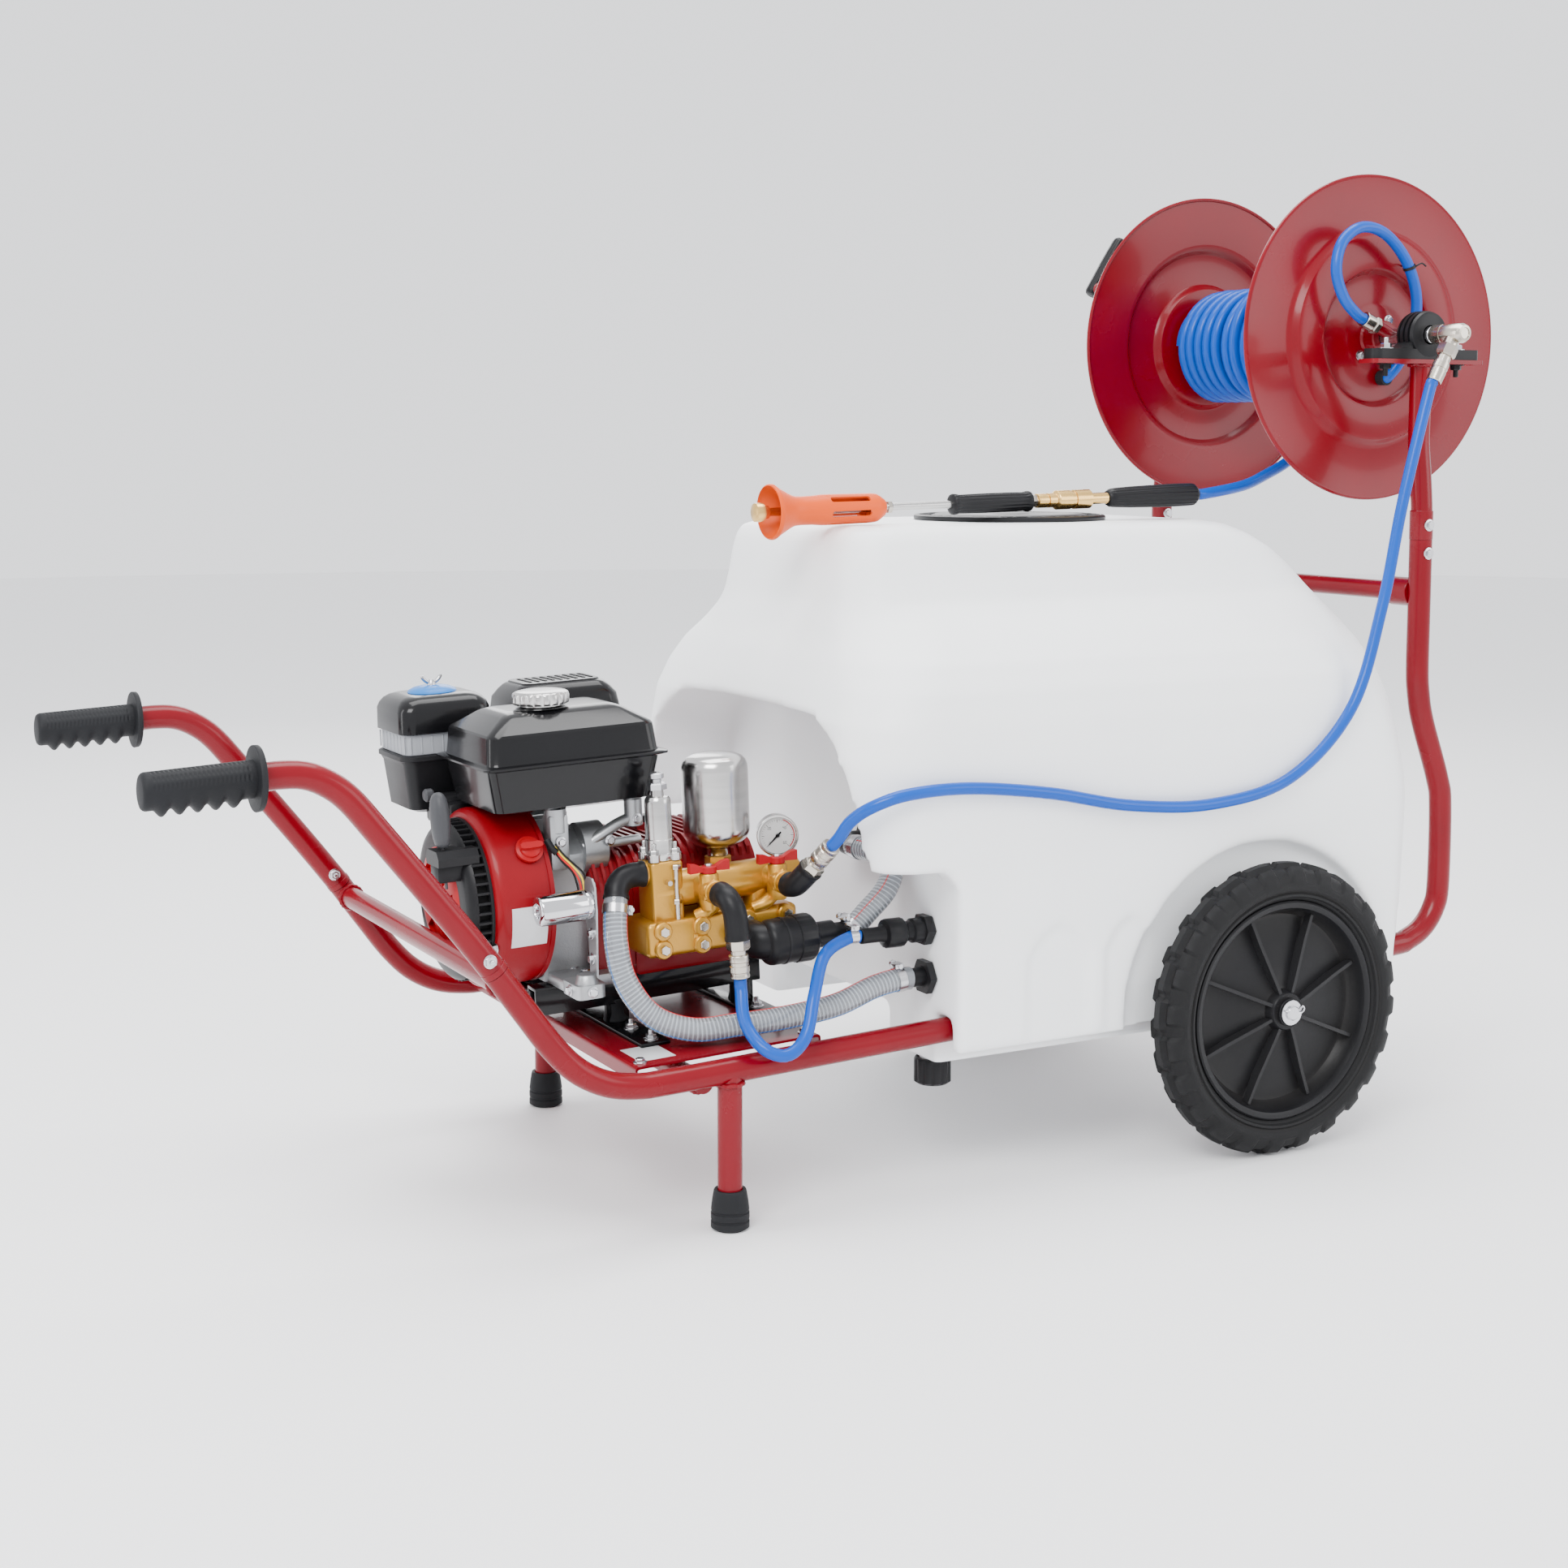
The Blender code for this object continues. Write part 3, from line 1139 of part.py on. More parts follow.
# ---- hoses -------------------------------------------------------------------------------
TURN = GROUP.to_3x3()
CLEAR = (0.62, 0.66, 0.70)
FLANK_Y = -0.3660
branch_dir = Vector((0.7475 - REEL_X, -0.001, 1.0465 - REEL_Z)).normalized()
PRESSURE_MIDS = [(-0.1600, -0.326, 0.4985), (-0.1420, -0.351, 0.519), (-0.0980, FLANK_Y, 0.533),
                 (-0.010, FLANK_Y, 0.534), (0.110, FLANK_Y, 0.519),
                 (0.235, FLANK_Y, 0.494), (0.370, FLANK_Y, 0.486), (0.500, FLANK_Y, 0.512),
                 (0.605, -0.3650, 0.600), (0.660, -0.3600, 0.735), (0.695, -0.3575, 0.878)]
cord("hose_pressure", to_world(RIGHT_END), TURN @ right_dir, PRESSURE_MIDS,
     (0.7475, -0.3560, 1.0465), branch_dir, HOSE_R, 0.047, BLUE)

mid_dir = (MID_END - Vector((x1 + 0.005, -0.267, GALLERY_H - 0.050))).normalized()
RETURN_MIDS = [(-0.290, -0.292, 0.254), (-0.282, -0.326, 0.228), (-0.256, -0.340, 0.2195),
               (-0.228, -0.336, 0.240), (-0.207, -0.318, 0.284), (-0.177, -0.290, 0.325)]
cord("hose_return", to_world(MID_END), TURN @ mid_dir, RETURN_MIDS,
     (-0.113, RETURN_PORT[0], RETURN_PORT[1]), (-1, 0, 0), HOSE_R, 0.026, BLUE)

bypass_dir = (Vector(bypass_path[-1]) - Vector(bypass_path[-2])).normalized()
BYPASS_MIDS = [(-0.420, -0.197, 0.345), (-0.412, -0.207, 0.300), (-0.385, -0.226, 0.258),
               (-0.340, -0.247, 0.2400), (-0.285, -0.260, 0.2425), (-0.225, -0.266, 0.2450),
               (-0.150, -0.268, 0.2530), (-0.095, -0.268, 0.2700)]
cord("hose_bypass", to_world(BYPASS_END), TURN @ bypass_dir, BYPASS_MIDS,
     (-0.040, SUCTION_PORT[0], SUCTION_PORT[1]), (-1, 0, 0), CLEAR_R, 0.045, CLEAR)

SUCTION_MIDS = [(-0.086, -0.236, 0.360), (-0.056, -0.235, 0.388), (-0.040, -0.222, 0.414),
                (-0.046, -0.190, 0.428)]
cord("hose_suction", to_world(Vector((-0.1180, -0.238, 0.114))), TURN @ Vector((1, 0, 0)), SUCTION_MIDS,
     (-0.052, -0.142, 0.430), (0, -1, 0), CLEAR_R, 0.026, CLEAR, 0.012)

HUB_END = Vector((REEL_X - 0.058, -0.236, REEL_Z + 0.024))
HUB_OUT = Vector((-0.018, 0, 0.0075))
LOOP_MIDS = [(0.690, -0.235, 1.166), (0.676, -0.234, 1.204), (0.688, -0.232, 1.244), (0.724, -0.231, 1.266),
             (0.770, -0.229, 1.258), (0.812, -0.227, 1.222), (0.835, -0.225, 1.172),
             (0.832, -0.223, 1.120), (0.814, -0.218, 1.080)]
cord("hose_reel_link", HUB_END, HUB_OUT, LOOP_MIDS, (0.800, -0.1945, 1.056), (0, -1, 0), HOSE_R, 0.032,
     BLUE, 0.012)

TAIL_MIDS = [(0.640, -0.083, 0.8990), (0.700, -0.064, 0.9150), (0.752, -0.050, 0.9340),
             (0.805, -0.036, 0.9650), (0.848, -0.022, 1.0150)]
cord("hose_tail", LANCE_B, LANCE_DIR, TAIL_MIDS, (0.8818, 0.0, 1.1130), (0.0, 0.0, -1), HOSE_R, 0.040, BLUE)
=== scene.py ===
"""Looks of the wheeled sprayer cart: every visible piece, its material, the light and the camera.

Metres, +Z up.  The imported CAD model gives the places; this script gives the surfaces.
"""
import json
import math
import random

import bmesh
import bpy
from mathutils import Matrix, Vector

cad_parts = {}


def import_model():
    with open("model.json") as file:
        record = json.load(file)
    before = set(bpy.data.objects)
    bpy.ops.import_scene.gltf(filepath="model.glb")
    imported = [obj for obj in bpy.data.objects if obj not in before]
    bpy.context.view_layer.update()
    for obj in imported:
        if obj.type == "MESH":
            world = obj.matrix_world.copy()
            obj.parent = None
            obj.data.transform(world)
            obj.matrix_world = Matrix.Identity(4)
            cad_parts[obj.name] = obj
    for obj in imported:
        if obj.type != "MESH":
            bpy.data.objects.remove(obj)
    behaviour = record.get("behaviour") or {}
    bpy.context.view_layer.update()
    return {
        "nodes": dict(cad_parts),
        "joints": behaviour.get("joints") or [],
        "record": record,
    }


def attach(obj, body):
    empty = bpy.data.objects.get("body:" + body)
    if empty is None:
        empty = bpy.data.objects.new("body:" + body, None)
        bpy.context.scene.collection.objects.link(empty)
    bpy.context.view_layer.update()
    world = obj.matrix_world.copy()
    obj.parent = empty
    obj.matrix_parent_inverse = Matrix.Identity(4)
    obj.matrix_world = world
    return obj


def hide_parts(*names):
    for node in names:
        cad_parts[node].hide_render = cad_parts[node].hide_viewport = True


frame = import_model()
rng = random.Random(7)
JOINTS = {joint["name"]: joint for joint in frame["joints"]}

# The powered group is level in its own frame and pitched with the rails.
UP = Vector(JOINTS["fuel_cap_turn"]["axis"]).normalized()
PITCH = math.atan2(-UP.x, UP.z)
RAIL_SLOPE = math.tan(PITCH)
RAIL_Z0 = 0.2117
TUBE_R = 0.016
GROUP = Matrix.Translation((0, 0, RAIL_Z0 + TUBE_R + 0.004)) @ Matrix.Rotation(-PITCH, 4, "Y")


# ---- materials ---------------------------------------------------------------------------
MATS = {}
SHINE_METAL, SHINE_PLAIN, METAL_FROM = 0.5, 0.17, 0.3


def surface(name, color, rough, metal=0.0, grain=120.0, bump=0.1, vary=0.12, coat=0.0, wear=0.0, sub=0.0,
        rough_vary=0.12, dust=0.0, clear=0.0, height=0.001, stretch=(1, 1, 1)):
    """Painted, moulded or cast surface: colour drift, roughness drift, fine relief, worn edges."""
    mat = bpy.data.materials.new(name)
    mat.use_nodes = True
    nodes, links = mat.node_tree.nodes, mat.node_tree.links
    shader = nodes["Principled BSDF"]
    shader.inputs["Metallic"].default_value = metal
    shader.inputs["Specular IOR Level"].default_value = \
        SHINE_METAL if metal > METAL_FROM or clear else SHINE_PLAIN
    shader.inputs["Coat Weight"].default_value = coat
    shader.inputs["Coat Roughness"].default_value = 0.08
    shader.inputs["Transmission Weight"].default_value = clear
    if sub:
        shader.inputs["Subsurface Weight"].default_value = sub
        shader.inputs["Subsurface Radius"].default_value = (0.02, 0.018, 0.016)
    place = nodes.new("ShaderNodeTexCoord")
    scale = nodes.new("ShaderNodeMapping")
    scale.inputs["Scale"].default_value = stretch
    links.new(place.outputs["Object"], scale.inputs["Vector"])
    wide = nodes.new("ShaderNodeTexNoise")
    wide.inputs["Scale"].default_value = 9.0
    wide.inputs["Detail"].default_value = 6.0
    links.new(scale.outputs["Vector"], wide.inputs["Vector"])
    fine = nodes.new("ShaderNodeTexNoise")
    fine.inputs["Scale"].default_value = grain
    fine.inputs["Detail"].default_value = 4.0
    links.new(scale.outputs["Vector"], fine.inputs["Vector"])
    tone = nodes.new("ShaderNodeValToRGB")
    dark = tuple(max(c * (1 - vary), 0.0) for c in color)
    light = tuple(min(c * (1 + vary), 1.0) for c in color)
    tone.color_ramp.elements[0].color = (*dark, 1)
    tone.color_ramp.elements[0].position = 0.3
    tone.color_ramp.elements[1].color = (*light, 1)
    tone.color_ramp.elements[1].position = 0.7
    links.new(wide.outputs["Fac"], tone.inputs["Fac"])
    last = tone.outputs["Color"]
    for amount, paint, limits, inverse in ((wear, (0.75, 0.75, 0.75), (0.53, 0.6), False),
            (dust, (0.3, 0.27, 0.23), (0.4, 0.5), True)):
        if not amount:
            continue
        form = nodes.new("ShaderNodeNewGeometry")
        edge = nodes.new("ShaderNodeMapRange")
        edge.inputs["From Min"].default_value = limits[1] if inverse else limits[0]
        edge.inputs["From Max"].default_value = limits[0] if inverse else limits[1]
        edge.inputs["To Max"].default_value = amount
        links.new(form.outputs["Pointiness"], edge.inputs["Value"])
        mix = nodes.new("ShaderNodeMix")
        mix.data_type = "RGBA"
        links.new(edge.outputs["Result"], mix.inputs["Factor"])
        links.new(last, mix.inputs[6])
        mix.inputs[7].default_value = (*paint, 1) if inverse else \
            (*tuple(min(c * 1.6 + 0.05, 1) for c in color), 1)
        last = mix.outputs[2]
    links.new(last, shader.inputs["Base Color"])
    gloss = nodes.new("ShaderNodeMapRange")
    gloss.inputs["To Min"].default_value = max(rough * (1 - rough_vary * 2), 0.02)
    gloss.inputs["To Max"].default_value = min(rough * (1 + rough_vary * 2), 1.0)
    links.new(wide.outputs["Fac"], gloss.inputs["Value"])
    links.new(gloss.outputs["Result"], shader.inputs["Roughness"])
    relief = nodes.new("ShaderNodeBump")
    relief.inputs["Strength"].default_value = bump
    relief.inputs["Distance"].default_value = height
    links.new(fine.outputs["Fac"], relief.inputs["Height"])
    links.new(relief.outputs["Normal"], shader.inputs["Normal"])
    MATS[name] = mat
    return mat


surface("red_paint", (0.155, 0.0003, 0.0055), 0.26, grain=60, bump=0.03, vary=0.08, coat=0.12, wear=0.05)
surface("red_cast", (0.19, 0.0006, 0.005), 0.36, grain=260, bump=0.14, vary=0.1, coat=0.08, wear=0.06)
surface("red_plastic", (0.29, 0.001, 0.005), 0.35, grain=90, bump=0.03, vary=0.06, wear=0.08)
surface("black_paint", (0.0035, 0.0035, 0.0042), 0.2, grain=70, bump=0.03, vary=0.15, coat=0.22, wear=0.0)
surface("black_plastic", (0.0065, 0.0065, 0.0075), 0.38, grain=320, bump=0.08, vary=0.2, wear=0.08)
surface("black_rubber", (0.0085, 0.009, 0.0105), 0.58, grain=480, bump=0.25, vary=0.2, wear=0.1)
surface("tyre", (0.0075, 0.0075, 0.008), 0.6, grain=420, bump=0.25, vary=0.25, wear=0.18, dust=0.04)
surface("rim_plastic", (0.007, 0.007, 0.008), 0.4, grain=180, bump=0.12, vary=0.3, wear=0.15, dust=0.05)
surface("tank_pe", (0.9, 0.915, 0.925), 0.36, grain=90, bump=0.05, vary=0.015, sub=0.12, rough_vary=0.2)
surface("cast_alu", (0.36, 0.37, 0.38), 0.4, 0.85, grain=380, bump=0.25, vary=0.12)
surface("chrome", (0.6, 0.6, 0.62), 0.09, 1.0, grain=30, bump=0.01, vary=0.04)
surface("brushed", (0.5, 0.49, 0.48), 0.2, 1.0, grain=160, bump=0.06, vary=0.08, stretch=(1, 1, 14))
surface("nickel", (0.5, 0.46, 0.4), 0.24, 1.0, grain=200, bump=0.06, vary=0.1)
surface("zinc", (0.55, 0.55, 0.57), 0.26, 1.0, grain=160, bump=0.08, vary=0.1)
surface("brass", (0.74, 0.47, 0.16), 0.26, 1.0, grain=160, bump=0.06, vary=0.1)
surface("gold_cast", (0.47, 0.235, 0.022), 0.36, 0.7, grain=300, bump=0.22, vary=0.14, coat=0.3, wear=0.2)
surface("orange", (0.66, 0.075, 0.003), 0.38, grain=90, bump=0.03, vary=0.05, sub=0.05)
surface("blue_hose", (0.0002, 0.06, 0.36), 0.24, grain=130, bump=0.04, vary=0.05, coat=0.08)
surface("blue_cap", (0.02, 0.16, 0.48), 0.28, grain=90, bump=0.03, vary=0.06)
surface("grey_plastic", (0.045, 0.046, 0.05), 0.4, grain=200, bump=0.06, vary=0.1)
surface("liner_grey", (0.085, 0.095, 0.125), 0.35, grain=90, bump=0.03, vary=0.1)
surface("band_grey", (0.26, 0.27, 0.29), 0.45, grain=200, bump=0.06, vary=0.08)
surface("clear_tube", (0.8, 0.84, 0.88), 0.12, grain=60, bump=0.03, vary=0.03, clear=0.82, coat=0.3)
surface("spiral_wire", (0.66, 0.7, 0.76), 0.3, grain=60, bump=0.03, vary=0.06)
surface("dial_white", (0.88, 0.88, 0.86), 0.45, grain=60, bump=0.01, vary=0.01)
surface("ink_black", (0.01, 0.01, 0.01), 0.5, grain=60, bump=0.01, vary=0.1)
surface("ink_red", (0.62, 0.02, 0.02), 0.5, grain=60, bump=0.01, vary=0.05)
surface("label_silver", (0.55, 0.56, 0.57), 0.35, grain=300, bump=0.03, vary=0.2)
surface("wire_yellow", (0.75, 0.55, 0.05), 0.4, grain=90, bump=0.02, vary=0.05)
# Near-black painted shade: set inside holes, slots and recesses to stand for the shade in them.
surface("dark_void", (0.004, 0.004, 0.004), 0.7, grain=60, bump=0.01, vary=0.1)


def glass_face():
    mat = bpy.data.materials.new("gauge_glass")
    mat.use_nodes = True
    shader = mat.node_tree.nodes["Principled BSDF"]
    shader.inputs["Transmission Weight"].default_value = 1.0
    shader.inputs["IOR"].default_value = 1.1
    noise = mat.node_tree.nodes.new("ShaderNodeTexNoise")
    noise.inputs["Scale"].default_value = 40.0
    ramp = mat.node_tree.nodes.new("ShaderNodeMapRange")
    ramp.inputs["To Min"].default_value = 0.02
    ramp.inputs["To Max"].default_value = 0.06
    mat.node_tree.links.new(noise.outputs["Fac"], ramp.inputs["Value"])
    mat.node_tree.links.new(ramp.outputs["Result"], shader.inputs["Roughness"])
    MATS["gauge_glass"] = mat


glass_face()


# ---- mesh builders -----------------------------------------------------------------------
def skin(rings, caps=True, loop=False):
    """Quads between equal-length rings of points."""
    bm = bmesh.new()
    rows = [[bm.verts.new(p) for p in ring] for ring in rings]
    pairs = list(zip(rows, rows[1:])) + ([(rows[-1], rows[0])] if loop else [])
    n = len(rows[0])
    for a, b in pairs:
        for i in range(n):
            j = (i + 1) % n
            bm.faces.new((a[i], a[j], b[j], b[i]))
    if caps and not loop:
        bm.faces.new(rows[0][::-1])
        bm.faces.new(rows[-1])
    return bm


def side_axes(direction):
    w = Vector(direction).normalized()
    seed = Vector((0, 1, 0)) if abs(w.y) < 0.9 else Vector((0, 0, 1))
    u = (seed - w * seed.dot(w)).normalized()
    return u, w.cross(u), w


def lathe(stops, base, direction, n=48, loop=False, lobes=None):
    """Turn (station, radius) stops about a line through base; lobes(angle, i) scales a radius."""
    u, v, w = side_axes(direction)
    rings = []
    for i, (station, radius) in enumerate(stops):
        p = Vector(base) + w * station
        ring = []
        for k in range(n):
            a = 2 * math.pi * k / n
            r = radius * (lobes(a, i) if lobes else 1.0)
            ring.append(p + u * (r * math.cos(a)) + v * (r * math.sin(a)))
        rings.append(ring)
    return skin(rings, loop=loop)


def sweep(points, radius, sides=20, caps=True, loop=False, radii=None, flat=1.0):
    """Round bar along a polyline with parallel transport."""
    pts = [Vector(p) for p in points]
    count = len(pts)
    tangents = []
    for i in range(count):
        a = pts[(i - 1) % count] if loop else pts[max(i - 1, 0)]
        b = pts[(i + 1) % count] if loop else pts[min(i + 1, count - 1)]
        tangents.append((b - a).normalized())
    side = side_axes(tangents[0])[0]
    rings = []
    for i, (p, t) in enumerate(zip(pts, tangents)):
        side = (side - t * side.dot(t)).normalized()
        up = t.cross(side)
        r = radii[i] if radii else radius
        rings.append([p + side * (r * math.cos(2 * math.pi * k / sides))
            + up * (r * flat * math.sin(2 * math.pi * k / sides)) for k in range(sides)])
    return skin(rings, caps, loop)


def flow(points, spacing):
    """Catmull-Rom curve through the points, resampled evenly."""
    pts = [Vector(p) for p in points]
    pts = [pts[0] * 2 - pts[1]] + pts + [pts[-1] * 2 - pts[-2]]
    fine = []
    for i in range(1, len(pts) - 2):
        a, b, c, d = pts[i - 1:i + 3]
        for k in range(24):
            t = k / 24
            fine.append(0.5 * ((2 * b) + (c - a) * t + (2 * a - 5 * b + 4 * c - d) * t * t
                + (3 * b - a - 3 * c + d) * t ** 3))
    fine.append(pts[-2].copy())
    total = sum((q - p).length for p, q in zip(fine, fine[1:]))
    count = max(3, round(total / spacing))
    out = [fine[0]]
    walked = 0.0
    for p, q in zip(fine, fine[1:]):
        seg = (q - p).length
        while len(out) < count and walked + seg >= total / count * len(out) - 1e-12:
            out.append(p.lerp(q, (total / count * len(out) - walked) / seg))
        walked += seg
    out.append(fine[-1])
    return out


def block(low, high, bevel=0.002, segments=2):
    bm = bmesh.new()
    bmesh.ops.create_cube(bm, size=1.0)
    low, high = Vector(low), Vector(high)
    bmesh.ops.scale(bm, vec=high - low, verts=bm.verts)
    bmesh.ops.translate(bm, vec=(low + high) / 2, verts=bm.verts)
    if bevel:
        bmesh.ops.bevel(bm, geom=list(bm.edges), offset=bevel, segments=segments, affect="EDGES",
            profile=0.5)
    return bm


def prism(outline, axis, low, high, bevel=0.0, segments=2):
    """Extrude a 2-D outline.  X: (y, z), Y: (x, z), Z: (x, y)."""
    def at(p, value):
        return {"X": (value, p[0], p[1]), "Y": (p[0], value, p[1]), "Z": (p[0], p[1], value)}[axis]
    bm = skin([[at(p, low) for p in outline], [at(p, high) for p in outline]])
    if bevel:
        rim = [e for e in bm.edges if abs(e.calc_face_angle(0)) > math.radians(35)]
        bmesh.ops.bevel(bm, geom=rim, offset=bevel, segments=segments, affect="EDGES", profile=0.5)
    return bm


def rounded(cx, cy, hx, hy, r, z, steps=8):
    """Rounded rectangle in plan."""
    pts = []
    for sx, sy, a0 in ((-1, -1, math.pi), (1, -1, 1.5 * math.pi), (1, 1, 0.0), (-1, 1, 0.5 * math.pi)):
        for i in range(steps + 1):
            a = a0 + i * math.pi / 2 / steps
            pts.append(Vector((cx + sx * (hx - r) + r * math.cos(a), cy + sy * (hy - r) + r * math.sin(a),
                z)))
    return pts


def merge(*parts):
    out = bmesh.new()
    for part in parts:
        mesh = bpy.data.meshes.new("part")
        part.to_mesh(mesh)
        part.free()
        out.from_mesh(mesh)
        bpy.data.meshes.remove(mesh)
    return out


def turn(bm, matrix):
    bmesh.ops.transform(bm, matrix=matrix, verts=bm.verts)
    return bm


SLOTS = {"red_paint": "red_paint", "red_cast": "red_paint", "red_plastic": "red_plastic",
    "black_paint": "black_paint", "black_rubber": "black_rubber", "tyre": "tyre_black",
    "tank_pe": "tank_white", "cast_alu": "cast_alu", "chrome": "chrome", "brushed": "chrome",
    "nickel": "steel", "zinc": "steel", "brass": "brass", "gold_cast": "brass", "orange": "orange_plastic",
    "blue_hose": "blue_hose", "clear_tube": "clear_hose", "grey_plastic": "grey_plastic",
    "band_grey": "grey_plastic", "liner_grey": "clear_hose", "spiral_wire": "clear_hose"}


def place(name, bm, mat, body="cart", stands=(), group=False, crease=38, sub=0):
    """Make the mesh an object that rides on a body and stands for CAD nodes."""
    if group:
        turn(bm, GROUP)
    bmesh.ops.recalc_face_normals(bm, faces=bm.faces)
    limit = math.radians(crease)
    for face in bm.faces:
        face.smooth = True
    for edge in bm.edges:
        edge.smooth = edge.calc_face_angle(0) < limit
    mesh = bpy.data.meshes.new(name)
    bm.to_mesh(mesh)
    bm.free()
    obj = bpy.data.objects.new(name, mesh)
    bpy.context.scene.collection.objects.link(obj)
    mesh.materials.append(MATS[mat])
    if sub:
        mod = obj.modifiers.new("smooth", "SUBSURF")
        mod.levels = mod.render_levels = sub
    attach(obj, body)
    if stands:
        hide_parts(*([stands] if isinstance(stands, str) else stands))
    return obj


POOL = {}


def pool(name, bm, mat, body="cart", group=False):
    """Collect small repeated pieces of one material into one object."""
    if group:
        turn(bm, GROUP)
    POOL.setdefault((name, mat, body), []).append(bm)


def hexagon(base, direction, r, height, washer=0.0, stud=0.0):
    """Hex head or nut with a chamfered crown, a washer and the stud's end."""
    u, v, w = side_axes(direction)
    base = Vector(base)
    rings = []
    start = 0.0012 if washer else 0.0
    for station, scale in ((start, 1.0), (start + height * 0.8, 1.0), (start + height, 0.86)):
        rings.append([base + w * station + u * (r * scale * math.cos(k * math.pi / 3))
            + v * (r * scale * math.sin(k * math.pi / 3)) for k in range(6)])
    parts = [skin(rings)]
    if washer:
        parts.append(lathe([(0, washer), (0.0012, washer), (0.0014, washer * 0.95)], base, w, 24))
    if stud:
        tip = start + height + stud
        parts.append(lathe([(start + height, r * 0.45), (tip - 0.0008, r * 0.45), (tip, r * 0.36)], base, w,
            14))
    return merge(*parts)


def bolt(base, direction, r=0.007, height=0.006, washer=0.01, stud=0.0, body="cart", group=False,
        mat="zinc"):
    pool("bolts", hexagon(base, direction, r, height, washer, stud), mat, body, group)


# ---- camera, floor and light -------------------------------------------------------------
CAMERA_AT = (-1.5459, -2.7562, 0.9668)
CAMERA_TILT, CAMERA_YAW = -0.0983, -0.4894
CAMERA_LENS, SENSOR, SHIFT = 52.7, 36, (-0.001, -0.0754)
FLOOR_RADIUS, SKY_STRENGTH = 14.0, 1.75


def studio():
    """Camera solved from the photograph, a pale floor and soft light from five sides."""
    scene = bpy.context.scene
    data = bpy.data.cameras.new("camera")
    data.lens = CAMERA_LENS
    data.sensor_width = SENSOR
    data.shift_x, data.shift_y = SHIFT
    cam = bpy.data.objects.new("camera", data)
    cam.location = CAMERA_AT
    cam.rotation_euler = (math.pi / 2 + CAMERA_TILT, 0, CAMERA_YAW)
    scene.collection.objects.link(cam)
    scene.camera = cam

    floor_mat = bpy.data.materials.new("studio_floor")
    floor_mat.use_nodes = True
    nodes, links = floor_mat.node_tree.nodes, floor_mat.node_tree.links
    noise = nodes.new("ShaderNodeTexNoise")
    noise.inputs["Scale"].default_value = 0.6
    ramp = nodes.new("ShaderNodeValToRGB")
    ramp.color_ramp.elements[0].color = (0.88, 0.88, 0.89, 1)
    ramp.color_ramp.elements[1].color = (0.92, 0.92, 0.92, 1)
    links.new(noise.outputs["Fac"], ramp.inputs["Fac"])
    links.new(ramp.outputs["Color"], nodes["Principled BSDF"].inputs["Base Color"])
    nodes["Principled BSDF"].inputs["Roughness"].default_value = 0.65
    bm = bmesh.new()
    bmesh.ops.create_circle(bm, cap_ends=True, radius=FLOOR_RADIUS, segments=96)
    mesh = bpy.data.meshes.new("studio_floor")
    bm.to_mesh(mesh)
    bm.free()
    floor = bpy.data.objects.new("studio_floor", mesh)
    scene.collection.objects.link(floor)
    mesh.materials.append(floor_mat)

    world = bpy.data.worlds.new("studio")
    world.use_nodes = True
    world.node_tree.nodes["Background"].inputs["Color"].default_value = (0.96, 0.97, 1.0, 1)
    world.node_tree.nodes["Background"].inputs["Strength"].default_value = SKY_STRENGTH
    scene.world = world
    lamps = [("key", (-2.6, -2.6, 3.6), (0.2, 0, 0.6), 2.4, 1.8, 210),
        ("fill", (3.2, -3.0, 2.0), (0.3, 0, 0.6), 2.2, 2.2, 60),
        ("top", (0.2, 0.3, 4.2), (0.2, 0, 0.5), 3.2, 2.2, 170), ("back", (1.6, 3.6, 2.4), (0.2, 0, 0.7),
        2.4, 1.8, 60), ("strip", (-3.4, 0.6, 1.4), (0, 0, 0.6), 0.5, 2.4, 28)]
    for name, at, aim, width, height, power in lamps:
        light = bpy.data.lights.new(name, "AREA")
        light.shape = "RECTANGLE"
        light.size = width
        light.size_y = height
        light.energy = power
        obj = bpy.data.objects.new(name, light)
        obj.location = at
        obj.rotation_euler = (Vector(aim) - Vector(at)).to_track_quat("-Z", "Y").to_euler()
        scene.collection.objects.link(obj)


studio()

# ---- hoses -------------------------------------------------------------------------------
GAP = 0.0003
REEL = Vector((0.785, 0.0, 1.113))
POST_X, POST_Y, RAIL_Y = 0.785, 0.291, 0.3
AXLE = Vector((0.476, 0.0, 0.2))
HOSE_R, CLEAR_R, FLANK_Y = 0.008, 0.015, -0.366
GALLERY_H, VALVE_X = 0.184, (-0.287, -0.19)
LANCE_A, LANCE_B = Vector((-0.178, -0.1, 0.872)), Vector((0.54, -0.1, 0.888))
LANCE_DIR = (LANCE_B - LANCE_A).normalized()
TURN = GROUP.to_3x3()


def world(point):
    return GROUP @ Vector(point)


def hose_path(start, out, mids, end, back, lead, spacing):
    out, back = Vector(out).normalized(), Vector(back).normalized()
    start = Vector(start) + out * GAP * 1.4
    end = Vector(end) + back * GAP * 1.4
    return flow([start, start + out * lead] + list(mids) + [end + back * lead, end], spacing)


def length_of(path):
    return sum((b - a).length for a, b in zip(path, path[1:]))


def hose(name, path, radius, mat, body):
    obj = place("visual_" + name, sweep(path, radius, 28), mat, body, name, crease=70)
    return obj


